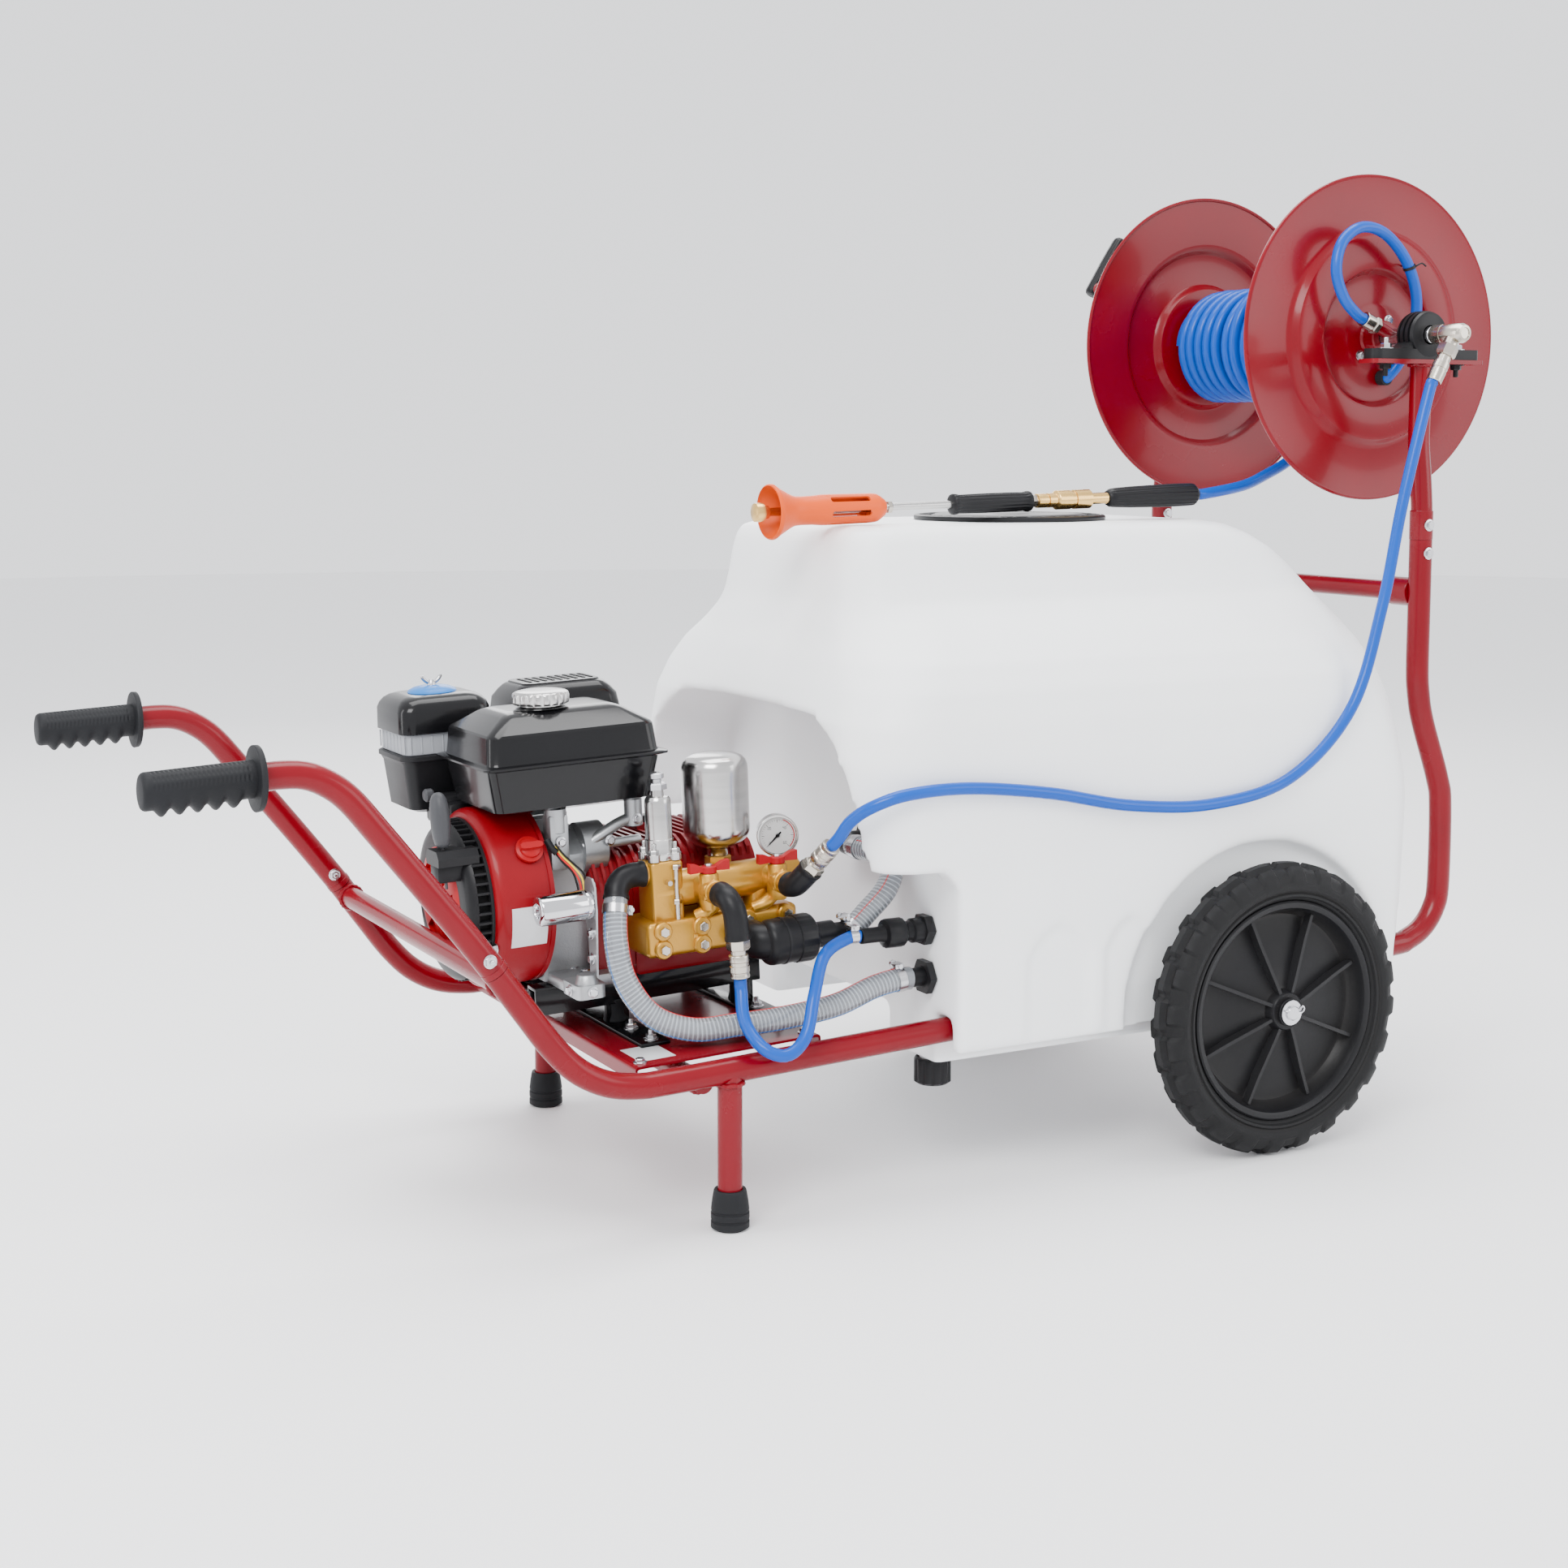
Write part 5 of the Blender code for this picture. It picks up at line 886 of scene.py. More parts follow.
def tank_mesh():
    fine = []
    for a, b in zip(TANK_LEVELS, TANK_LEVELS[1:]):
        fine += [tuple(p + (q - p) * k / 3 for p, q in zip(a, b)) for k in range(3)]
    fine.append(TANK_LEVELS[-1])
    body = skin([plan_ring(*level) for level in fine])
    tools = []

    def cut(part):
        tools.append((part, "DIFFERENCE"))
    arch = [(-0.302, 0.2), (-0.302, 0.47), (-0.29, 0.53), (-0.262, 0.573), (-0.215, 0.602), (-0.15, 0.615),
        (0.15, 0.615), (0.215, 0.602), (0.262, 0.573), (0.29, 0.53), (0.302, 0.47), (0.302, 0.2)]
    arch = [(p.y, p.z) for p in flow([(0, y, z) for y, z in arch], 0.02)]
    cut(prism(arch, "X", -0.3, TANK_FRONT))
    cut(prism([(-0.3, 0.1), (TANK_FRONT, 0.1), (TANK_FRONT, 0.4), (-0.03, 0.424), (-0.3, 0.43)], "Y", -0.5,
        0.5))
    belly = BELLY_Z + RAIL_SLOPE
    cut(prism([(-0.2, 0.1), (1.0, 0.1), (1.0, belly), (-0.2, BELLY_Z - 0.2 * RAIL_SLOPE)], "Y", -0.16,
        0.16))
    top = TUBE_R + GAP
    for s in (-1, 1):
        lo, hi = sorted((s * 0.281, s * 0.319))
        cut(prism([(-0.2, 0.1), (1.0, 0.1), (1.0, rail_z(1.0) + top), (-0.2, rail_z(-0.2) + top)], "Y", lo,
            hi))
        lo, hi = sorted((s * 0.15, s * 0.3))
        cut(prism([(0.38, 0.1), (1.0, 0.1), (1.0, belly), (0.38, BELLY_Z + 0.38 * RAIL_SLOPE)], "Y", lo,
            hi))
        lo, hi = sorted((s * 0.31, s * 0.5))
        cut(block((-0.5, lo, 0.1), (1.0, hi, 0.187), 0))
        cut(lathe([(s * 0.322, 0.223), (s * 0.45, 0.223)], (AXLE.x, 0, AXLE.z), (0, 1, 0), 90))
        lo, hi = sorted((s * 0.3365, s * 0.45))
        for x0, x1 in ((0.092, 0.196), (0.214, 0.3)):
            mid = (x0 + x1) / 2
            head = [(x1, 0.3), (x1 - (x1 - mid) * 0.45, 0.33), (mid, 0.345), (x0 + (mid - x0) * 0.45, 0.33),
                (x0, 0.3)]
            cut(prism([(x0, 0.15), (x1, 0.15)] + head, "Y", lo, hi))
        lo, hi = sorted((s * 0.286, s * 0.325))
        cut(block((0.44, lo, 0.1), (0.512, hi, 0.2465), 0))
        lo, hi = sorted((s * 0.28, s * 0.32))
        cut(block((0.735, lo, 0.1), (1.0, hi, 0.3), 0))
    cut(lathe([(0.8, 0.094), (0.9, 0.094)], (LID_X, 0, 0), (0, 0, 1), 64))
    body = bake(body, tools, 0.0055, 7)
    low = (0.013, -0.24, 0)
    neck = lathe([(0.146, 0.0165), (0.147, 0.017), (0.1655, 0.017), (0.17, 0.022)], low, (0, 0, 1), 40)
    stub = sweep(flow([(-0.014, -0.11, 0.43), (-0.033, -0.11, 0.43), (-0.045, -0.114, 0.43),
        (-0.052, -0.126, 0.43), (-0.052, -0.142, 0.43)], 0.004), 0.0138, 28)
    flange = lathe([(-0.02, 0.022), (-0.019, 0.023), (-0.006, 0.023), (-0.005, 0.022)], (0, -0.11, 0.43),
        (1, 0, 0), 6)
    return body, neck, merge(stub, flange)


tank_body, tank_neck, tank_stub = tank_mesh()
place("tank", merge(tank_body, tank_neck), "tank_pe", stands="tank_shell", crease=75)
place("tank_stub", tank_stub, "black_plastic")


def lid_mesh():
    prof = [(-0.019, 0.0915), (-0.018, 0.0925), (0.0003, 0.0925), (0.0003, LID_R - 0.001),
        (0.001, LID_R + 0.0004), (0.0045, LID_R + 0.001), (0.0062, LID_R), (0.0072, LID_R - 0.002),
        (0.0076, LID_R - 0.005), (0.006, LID_R - 0.008), (0.006, 0.112), (0.0075, 0.108), (0.0088, 0.104),
        (0.009, 0.08), (0.0078, 0.077), (0.0078, 0.03), (0.009, 0.027), (0.009, 0.004)]
    disc = lathe(prof, (LID_X, 0, DECK_Z), (0, 0, 1), 160)
    ribs = []
    for k in range(36):
        a = 2 * math.pi * k / 36
        rib = block((0.113, -0.0022, 0.005), (LID_R - 0.007, 0.0022, 0.0074), 0.0008, 1)
        ribs.append(turn(rib, Matrix.Translation((LID_X, 0, DECK_Z)) @ Matrix.Rotation(a, 4, "Z")))
    return merge(disc, *ribs)


place("lid", lid_mesh(), "black_plastic", "tank_lid", "tank_lid", crease=30)


def knurled(stops, base, direction, count, depth, rows, n=144):
    """Lathe with a scalloped grip on chosen rows."""
    return lathe(stops, base, direction, n, lobes=lambda a, i: 1 - depth * (0.5
        + 0.5 * math.cos(a * count)) ** 2 if i in rows else 1.0)


place("drain_knob", knurled([(0.125, 0.0205), (0.1258, 0.0215), (0.128, 0.0248), (0.156, 0.0248),
    (0.1585, 0.0235), (0.1597, 0.0225), (0.1597, 0.0175), (0.144, 0.0175)], (0.013, -0.24, 0), (0, 0, 1),
    12, 0.07, (2, 3)), "black_plastic", "drain_cap", "drain_cap")
RET = Vector((0, -0.268, 0.338))
place("return_fitting", lathe([(-0.113, 0.0095), (-0.112, 0.01), (-0.086, 0.01), (-0.08, 0.0118),
    (-0.078, 0.0185), (-0.0765, 0.019), (-0.0535, 0.019), (-0.052, 0.018), (-0.05, 0.013), (-0.04, 0.013),
    (-0.038, 0.016), (-0.024, 0.016)], RET, (1, 0, 0), 36, lobes=lambda a,
    i: 1 - 0.05 * (0.5 + 0.5 * math.cos(a * 16)) if 4 <= i <= 7 else 1.0), "black_plastic",
    stands="return_port")
pool("port_nuts", hexagon(RET + Vector((-0.0245, 0, 0)), (1, 0, 0), 0.0212, 0.0142), "black_plastic")
SUC = Vector((0, -0.268, 0.276))
place("suction_fitting", lathe([(-0.04, 0.0118), (-0.0395, 0.0125), (-0.022, 0.0125), (-0.0205, 0.019)],
    SUC, (1, 0, 0), 36), "black_plastic", stands="suction_port")
pool("port_nuts", hexagon(SUC + Vector((-0.0215, 0, 0)), (1, 0, 0), 0.0238, 0.0112), "black_plastic")

# ---- hose reel ---------------------------------------------------------------------------
DISC_Y = 0.188


def disc_mesh(s):
    """Pressed sheet disc: raised annulus, dished centre, hub boss and rolled rim."""
    y = DISC_Y
    outer = [(0.013, 0.03), (0.0225, 0.03), (0.024, 0.028), (0.025, 0.01), (0.0275, 0.0068),
        (0.046, 0.0055), (0.05, 0.0044), (0.056, 0.0024), (0.088, 0.0012), (0.0915, 0.0022),
        (0.0945, 0.006), (0.0965, 0.01), (0.0995, 0.0128), (0.1035, 0.0138), (0.142, 0.0142),
        (0.1465, 0.013), (0.15, 0.0096), (0.153, 0.0058), (0.1565, 0.0036), (0.162, 0.0028),
        (0.2285, 0.0028), (0.231, 0.0034), (0.233, 0.0026)]
    edge = [(0.234, 0.0006), (0.2336, -0.0016), (0.2315, -0.0028), (0.2295, -0.0018), (0.2285, 0.0)]
    inner = [(r, w - 0.0026) for r, w in reversed(outer[7:21])]
    stops = [(s * (y + w), r) for r, w in outer + edge + inner + [(0.048, -0.0006), (0.013, -0.0006)]]
    return lathe(stops, (REEL.x, 0, REEL.z), (0, 1, 0), 180, loop=True)


reel_parts = [disc_mesh(-1), disc_mesh(1)]
reel_parts.append(lathe([(-0.187, 0.048), (0.187, 0.048)], (REEL.x, 0, REEL.z), (0, 1, 0), 64))
CRANK_A, CRANK_B = Vector((REEL.x, 0, REEL.z)), Vector((0.667, 0, 1.208))
along = (CRANK_B - CRANK_A).normalized()
across = Vector((along.z, 0, -along.x))
outline = []
for k in range(13):
    a = math.pi * k / 12
    outline.append(CRANK_B + along * (0.011 * math.sin(a)) + across * (0.011 * math.cos(a)))
for k in range(13):
    a = math.pi * k / 12
    outline.append(CRANK_A - along * (0.0145 * math.sin(a)) - across * (0.0145 * math.cos(a)))
reel_parts.append(prism([(p.x, p.z) for p in outline], "Y", 0.314, 0.32, 0.001))
reel_parts.append(sweep(flow([(REEL.x + 0.004, -0.216, REEL.z), (REEL.x - 0.008, -0.2335, REEL.z + 0.0035),
    (REEL.x - 0.026, -0.236, REEL.z + 0.011), (REEL.x - 0.036, -0.236, REEL.z + 0.015)], 0.003), 0.0088,
    24))
place("spool", merge(*reel_parts), "red_paint", "reel", "reel_spool", crease=26)
pool("reel_shaft", lathe([(-0.3142, 0.0112), (-0.3134, 0.012), (-0.19, 0.012)], (REEL.x, 0, REEL.z),
    (0, 1, 0), 32), "zinc", "reel")
pool("reel_shaft", lathe([(0.19, 0.012), (0.3142, 0.012)], (REEL.x, 0, REEL.z), (0, 1, 0), 32), "zinc",
    "reel")
for s in (-1, 1):
    for k in range(4):
        a = math.radians(45 + 90 * k)
        at = (REEL.x + 0.0365 * math.cos(a), s * (DISC_Y + 0.006), REEL.z + 0.0365 * math.sin(a))
        bolt(at, (0, s, 0), 0.0055, 0.0045, 0.0078, body="reel")
bolt((REEL.x, 0.32, REEL.z), (0, 1, 0), 0.0085, 0.006, 0.0125, body="reel")
HOSE_OUT = Vector((-0.018, 0, 0.0075)).normalized()
LINK_A = Vector((REEL.x - 0.058, -0.236, REEL.z + 0.024))
for a, b, r in ((-0.026, -0.0175, 0.0125), (-0.0175, -0.0155, 0.0098), (-0.0155, 0.0, 0.0112)):
    if r == 0.0125:
        pool("link_ferrule", hexagon(LINK_A + HOSE_OUT * a, HOSE_OUT, r, b - a), "nickel", "reel")
    else:
        pool("link_ferrule", lathe([(a, r - 0.0004), (a + 0.0006, r), (b - 0.0006, r), (b, r - 0.0006)],
            LINK_A, HOSE_OUT, 32), "nickel", "reel")
pool("link_ferrule", lathe([(0, 0.0085), (0.0006, 0.0108), (0.014, 0.0112), (0.0146, 0.0086)],
    (0.8, -0.1925, 1.056), (0, -1, 0), 32), "black_rubber", "reel")


def wound():
    """Two layers of hose on the drum and the last turn that leads to the lance."""
    parts = []
    for radius, pitch, wobble, phase in ((0.0562, 0.0166, 0.0004, 0.0), (0.064, 0.0172, 0.0006, 0.5),
            (0.0782, 0.0205, 0.0018, 0.2)):
        turns = int(0.348 / pitch)
        drift = [rng.uniform(-wobble, wobble) for _ in range(turns + 3)]
        pts = []
        for i in range(turns * 40 + 1):
            t = i / 40
            k = int(t)
            f = t - k
            push = drift[k] * (1 - f) + drift[k + 1] * f
            a = 2 * math.pi * (t + phase)
            r = radius + push * 0.6
            y = -turns * pitch / 2 + t * pitch + push * 2.2
            sag = 0.0022 * (wobble > 0.001) * max(0.0, -math.sin(a)) ** 2
            pts.append((REEL.x + r * math.cos(a), y, REEL.z + (r + sag) * math.sin(a)))
        parts.append(sweep(pts, HOSE_R, 16))
    pts = []
    for i in range(61):
        a = i / 60 * 1.55 * math.pi
        r = 0.0968 - 0.015 * (i / 60) ** 1.5
        pts.append((REEL.x + r * math.cos(a), 0.0 + 0.03 * (i / 60) ** 2, REEL.z + r * math.sin(a)))
    parts.append(sweep(pts, HOSE_R, 16))
    return merge(*parts)


place("wound_hose", wound(), "blue_hose", "reel", "hose_coil", crease=70)
tie_at = Vector((0.819, -0.2265, 1.213))
tie_dir = (Vector((0.835, -0.225, 1.172)) - Vector((0.812, -0.227, 1.222))).normalized()
place("cable_tie", merge(lathe([(-0.0022, 0.0083), (-0.0022, 0.0094), (0.0022, 0.0094), (0.0022, 0.0083)],
    tie_at, tie_dir, 32, loop=True), sweep(flow([tie_at + Vector((0.004, 0.008, 0.002)),
    tie_at + Vector((0.006, 0.016, 0.006)), tie_at + Vector((0.008, 0.024, 0.004))], 0.003), 0.0014, 8),
    sweep(flow([tie_at + Vector((0.006, -0.0075, 0.002)), tie_at + Vector((0.014, -0.01, 0.006)),
    tie_at + Vector((0.022, -0.01, 0.002))], 0.003), 0.0012, 8)), "black_plastic", "reel")

for s, tag in ((-1, "near"), (1, "far")):
    y = s * POST_Y
    tube = sweep(flow([(POST_X, s * RAIL_Y, 0.825 + GAP), (POST_X, s * RAIL_Y, 0.85),
        (POST_X, s * RAIL_Y, 0.872), (POST_X, s * 0.2962, 0.915), (POST_X, y, 0.96), (POST_X, y, 1.01),
        (POST_X, y, 1.0735)], 0.008), TUBE_R - 0.001, 32)
    sleeve = lathe([(0, 0.016), (0.0008, 0.0164), (0.04, 0.0164), (0.0412, 0.0154)],
        (POST_X, s * RAIL_Y, 0.825 + GAP), (0, 0, 1), 32)
    ends = rounded(POST_X, y, 0.102, 0.019, 0.006, 0, 5)
    plate = prism([(p.x, p.y) for p in ends], "Z", 1.0727, 1.0787, 0.001)
    place("post_" + tag, merge(tube, sleeve, plate, weld((POST_X, y, 1.0718), (0, 0, 1), TUBE_R - 0.001)),
        "red_paint", stands="reel_post_" + tag)
    base = prism([(p.x, p.y) for p in rounded(POST_X, y, 0.098, 0.0165, 0.012, 0, 6)], "Z", 1.079, 1.0932,
        0.002)
    house = lathe([(-0.017, 0.0135), (-0.017, 0.03), (-0.016, 0.0318), (-0.0115, 0.0335), (-0.011, 0.031),
        (-0.008, 0.031), (-0.0075, 0.034), (-0.002, 0.034), (-0.0015, 0.0312), (0.0015, 0.0312),
        (0.002, 0.034), (0.0075, 0.034), (0.008, 0.031), (0.011, 0.031), (0.0115, 0.0335), (0.016, 0.0318),
        (0.017, 0.03), (0.017, 0.0135)], (REEL.x, y, REEL.z), (0, 1, 0), 64, loop=True)
    web = prism([(REEL.x - 0.052, 1.093), (REEL.x + 0.052, 1.093), (REEL.x + 0.04, 1.0975),
        (REEL.x + 0.03, 1.104), (REEL.x - 0.03, 1.104), (REEL.x - 0.04, 1.0975)], "Y", y - 0.0135,
        y + 0.0135, 0.0015)
    cut_web = bake(web, [(lathe([(-0.05, 0.0145), (0.05, 0.0145)], (REEL.x, y, REEL.z), (0, 1, 0), 40),
        "DIFFERENCE")])
    place("bearing_" + tag, merge(base, house, cut_web), "black_plastic", stands="reel_bearing_" + tag)
    for x in (-0.066, 0.066):
        bolt((POST_X + x, y, 1.0932), (0, 0, 1), 0.008, 0.0065, 0.0115, 0.008)
        pool("post_nuts", hexagon((POST_X + x, y, 1.0727), (0, 0, -1), 0.008, 0.0065, 0.0115, 0.01),
            "black_plastic")
    for z in (0.806, 0.846):
        bolt((POST_X, y * 0 + s * RAIL_Y - 0.0158, z), (0, -1, 0), 0.006, 0.0045, 0.0085)

BR = (BRANCH_END - Vector((REEL.x, -0.355, REEL.z)))
BR_LEN, BR_DIR = BR.length, BR.normalized()
SW = Vector((REEL.x, -0.355, REEL.z))
place("swivel", merge(lathe([(0.3145, 0.0105), (0.3175, 0.0135), (0.334, 0.0135), (0.3345, 0.0122),
    (0.337, 0.0122), (0.3375, 0.0138), (0.3695, 0.0138), (0.3715, 0.0125), (0.375, 0.011), (0.3755, 0.008),
    (0.374, 0.0075)], (REEL.x, 0, REEL.z), (0, -1, 0), 40), lathe([(0.0, 0.01), (0.02, 0.01),
    (0.0205, 0.0085), (0.0375, 0.0085), (0.038, 0.0095), (0.046, 0.0095), (0.0465, 0.011), (0.056, 0.0113),
    (0.0565, 0.0104), (0.059, 0.0104), (0.0595, 0.0113), (BR_LEN - 0.001, 0.0108), (BR_LEN, 0.0098)], SW,
    BR_DIR, 36), hexagon(SW + BR_DIR * 0.0205, BR_DIR, 0.014, 0.0155)), "nickel", stands="reel_swivel")
place("crank_handle", lathe([(-0.01, 0.0085), (-0.0092, 0.01), (-0.006, 0.0118), (0.0, 0.0122),
    (0.02, 0.0124), (0.045, 0.013), (0.07, 0.0129), (0.09, 0.0125), (0.094, 0.0115), (0.0975, 0.0085),
    (0.098, 0.005)], (0.667, 0.334, 1.208), (0.552, 0, 0.834), 96, lobes=lambda a,
    i: 1 - 0.045 * (0.5 + 0.5 * math.cos(a * 14)) if 2 <= i <= 7 else 1.0), "black_plastic", "crank_grip",
    "crank_grip")

# ---- engine ------------------------------------------------------------------------------
CRANK_Y, CRANK_H = -0.03, 0.178
HUB = (0, CRANK_Y, CRANK_H)


def hull(circles, steps=72):
    points = sorted(set((round(a + r * math.cos(2 * math.pi * i / steps), 6),
        round(b + r * math.sin(2 * math.pi * i / steps), 6)) for a, b, r in circles for i in range(steps)))

    def chain(sequence):
        out = []
        for p in sequence:
            while len(out) > 1 and (out[-1][0] - out[-2][0]) * (p[1] - out[-2][1]) \
                    - (out[-1][1] - out[-2][1]) * (p[0] - out[-2][0]) <= 1e-9:
                out.pop()
            out.append(p)
        return out[:-1]
    return chain(points) + chain(reversed(points))


COWL = hull([(CRANK_Y, CRANK_H, 0.115), (0.05, 0.2, 0.06)])


def inset(outline, amount):
    n = len(outline)
    out = []
    for i, (a, b) in enumerate(outline):
        ta = Vector(outline[(i + 1) % n]) - Vector(outline[i - 1])
        normal = Vector((-ta.y, ta.x)).normalized()
        out.append((a + normal.x * amount, b + normal.y * amount))
    return out


cowl_rings = []
for x, amount in ((-0.47, 0.002), (-0.4704, 0.0), (-0.476, 0.0), (-0.4765, 0.0012), (-0.4785, 0.0012),
        (-0.479, 0.0), (-0.534, 0.0), (-0.539, 0.0008), (-0.543, 0.0026), (-0.5456, 0.005),
        (-0.5468, 0.008), (-0.547, 0.01)):
    cowl_rings.append([(x, y, h) for y, h in inset(COWL, amount)])
place("cowl", skin(cowl_rings), "red_cast", stands="fan_cowl", group=True, crease=24)


def around(angle, r, x):
    return Vector((x, CRANK_Y + r * math.cos(angle), CRANK_H + r * math.sin(angle)))


for deg in (205, 245, 285, 330):
    a = math.radians(deg)
    bolt(around(a, 0.109, -0.5462), (-1, 0, 0), 0.005, 0.004, 0.007, group=True)
# Painted shade: a near-black fill inside the slotted cage stands for the shade behind its slots.
core = lathe([(-0.547, 0.094), (-0.569, 0.094), (-0.5735, 0.088)], HUB, (1, 0, 0), 96)
place("recoil_painted_shade", core, "dark_void", group=True)
cage = [lathe([(-0.5471, 0.0935), (-0.5471, 0.104), (-0.551, 0.104), (-0.551, 0.0935)], HUB, (1, 0, 0), 96,
    loop=True), lathe([(-0.5665, 0.0935), (-0.5665, 0.1016), (-0.57, 0.1), (-0.574, 0.0965),
    (-0.5768, 0.093), (-0.5785, 0.086), (-0.58, 0.072), (-0.58, 0.068), (-0.576, 0.068), (-0.5745, 0.086)],
    HUB, (1, 0, 0), 96, loop=True)]
for k in range(52):
    a = 2 * math.pi * k / 52
    rib = block((-0.5672, 0.0925, -0.0016), (-0.5505, 0.103, 0.0016), 0.0004, 1)
    cage.append(turn(rib, Matrix.Translation(HUB) @ Matrix.Rotation(a, 4, "X")))
for k in range(30):
    a = 2 * math.pi * k / 30
    rib = block((-0.58, 0.064, -0.0013), (-0.5755, 0.07, 0.0013), 0.0003, 1)
    cage.append(turn(rib, Matrix.Translation(HUB) @ Matrix.Rotation(a, 4, "X")))
guide = prism([(-0.112, 0.238), (-0.068, 0.238), (-0.066, 0.248), (-0.074, 0.257), (-0.106, 0.257),
    (-0.113, 0.248)], "X", -0.609, -0.556, 0.003)
cage.append(guide)
cage.append(block((-0.6085, -0.105, 0.216), (-0.556, -0.075, 0.242), 0.006))
place("recoil_cage", merge(*cage), "black_plastic", stands="recoil_housing", group=True, crease=30)


def recoil_cover():
    """Red pressed cover with six openings between curved spokes."""
    plate = lathe([(-0.5752, 0.072), (-0.58, 0.07), (-0.5822, 0.066), (-0.584, 0.056), (-0.585, 0.04),
        (-0.5855, 0.025), (-0.5835, 0.024)], HUB, (1, 0, 0), 96)
    tools = []
    for k in range(6):
        a0 = 2 * math.pi * k / 6
        ring = []
        for i in range(12):
            a = a0 + math.radians(-20 + 40 * i / 11)
            ring.append((0.0575 * math.cos(a), 0.0575 * math.sin(a)))
        for i in range(12):
            a = a0 + math.radians(15 - 30 * i / 11)
            ring.append((0.033 * math.cos(a), 0.033 * math.sin(a)))
        tools.append((prism([(CRANK_Y + p, CRANK_H + q) for p, q in ring], "X", -0.6, -0.5783),
            "DIFFERENCE"))
    return bake(plate, tools)


place("recoil_cover", recoil_cover(), "red_plastic", group=True, crease=25)
# Painted shade: a near-black disc behind the cover's openings stands for the shade seen through them.
place("cover_painted_shade", lathe([(-0.5765, 0.066), (-0.578, 0.064)], HUB, (1, 0, 0), 64), "dark_void", group=True)
PULL_AT = Vector((-0.596, -0.09, 0.293))
PULL_UP = Vector((0, 0.12, 0.993)).normalized()
pull = lathe([(-0.034, 0.005), (-0.033, 0.008), (-0.029, 0.0112), (-0.02, 0.0135), (-0.008, 0.0148),
    (0.004, 0.015), (0.016, 0.0143), (0.025, 0.0125), (0.031, 0.0095), (0.034, 0.006), (0.035, 0.002)],
    PULL_AT, PULL_UP, 48)
bmesh.ops.transform(pull, matrix=Matrix.Translation(PULL_AT) @ Matrix.Diagonal((0.8, 1.06, 1.0, 1.0))
    @ Matrix.Translation(-PULL_AT), verts=pull.verts)
rope = lathe([(-0.085, 0.0019), (-0.03, 0.0019)], PULL_AT, PULL_UP, 16)
place("pull_grip", merge(pull, rope), "grey_plastic", "recoil_handle", "recoil_handle", group=True,
    crease=60)


def fuel_tank_mesh():
    """Two pressed shells with chamfered corners on a rolled seam."""
    cx, cy, hx, hy = -0.431, -0.055, 0.124, 0.095
    levels = [(0.294, 0.034, 0.014), (0.299, 0.018, 0.015), (0.3515, 0.009, 0.014), (0.354, 0.0015, 0.012),
        (0.3548, 0.0, 0.012), (0.3572, 0.0, 0.012), (0.358, 0.0015, 0.012), (0.359, 0.0085, 0.015),
        (0.362, 0.0095, 0.016), (0.3925, 0.0125, 0.017), (0.3955, 0.0145, 0.017), (0.4125, 0.041, 0.012),
        (0.415, 0.0455, 0.012), (0.4178, 0.0555, 0.01), (0.4182, 0.062, 0.008)]
    return skin([rounded(cx, cy, hx - i, hy - i, r, h, 5) for h, i, r in levels])


place("fuel_tank_shells", fuel_tank_mesh(), "black_paint", stands="fuel_tank", group=True, crease=22)
CAP = Vector((-0.448, -0.07, 0.4178))
place("filler_neck", lathe([(0.0, 0.032), (0.0012, 0.0315), (0.002, 0.027), (0.0028, 0.026)], CAP,
    (0, 0, 1), 48), "black_paint", group=True)
place("filler_cap", knurled([(0.0003, 0.025), (0.001, 0.0262), (0.004, 0.0262), (0.005, 0.034),
    (0.006, 0.0355), (0.0085, 0.0362), (0.0165, 0.0362), (0.019, 0.035), (0.0205, 0.0325), (0.0218, 0.027),
    (0.0222, 0.015), (0.0222, 0.002)], CAP, (0, 0, 1), 20, 0.05, (4, 5, 6)), "brushed", "fuel_cap",
    "fuel_cap", group=True, crease=50)


def shell(levels, cx, cy, steps=6):
    return skin([rounded(cx, cy, x, y, r, h, steps) for h, x, y, r in levels])


AC = (-0.526, 0.118)
place("cleaner_base", merge(shell([(0.275, 0.04, 0.04, 0.012), (0.28, 0.052, 0.05, 0.014),
    (0.338, 0.058, 0.055, 0.016), (0.344, 0.061, 0.058, 0.018), (0.345, 0.063, 0.06, 0.018),
    (0.3505, 0.063, 0.06, 0.018), (0.352, 0.06, 0.057, 0.016)], *AC),
    block((AC[0] - 0.03, AC[1] - 0.085, 0.262), (AC[0] + 0.03, AC[1] - 0.035, 0.3), 0.006),
    block((AC[0] - 0.018, AC[1] - 0.1, 0.27), (AC[0] + 0.018, AC[1] - 0.06, 0.292), 0.005)),
    "black_plastic", stands="air_cleaner", group=True, crease=30)
place("cleaner_band", shell([(0.3521, 0.057, 0.054, 0.013), (0.353, 0.0578, 0.0548, 0.014),
    (0.378, 0.0578, 0.0548, 0.014), (0.3789, 0.057, 0.054, 0.013)], *AC), "band_grey", group=True,
    crease=30)
place("cleaner_top", shell([(0.379, 0.06, 0.057, 0.016), (0.38, 0.0628, 0.0598, 0.018),
    (0.408, 0.0624, 0.0594, 0.019), (0.415, 0.06, 0.057, 0.02), (0.421, 0.0555, 0.0525, 0.02),
    (0.425, 0.049, 0.046, 0.018), (0.4268, 0.041, 0.039, 0.016), (0.4272, 0.033, 0.031, 0.014)], *AC,
    steps=8), "black_paint", group=True, crease=34)
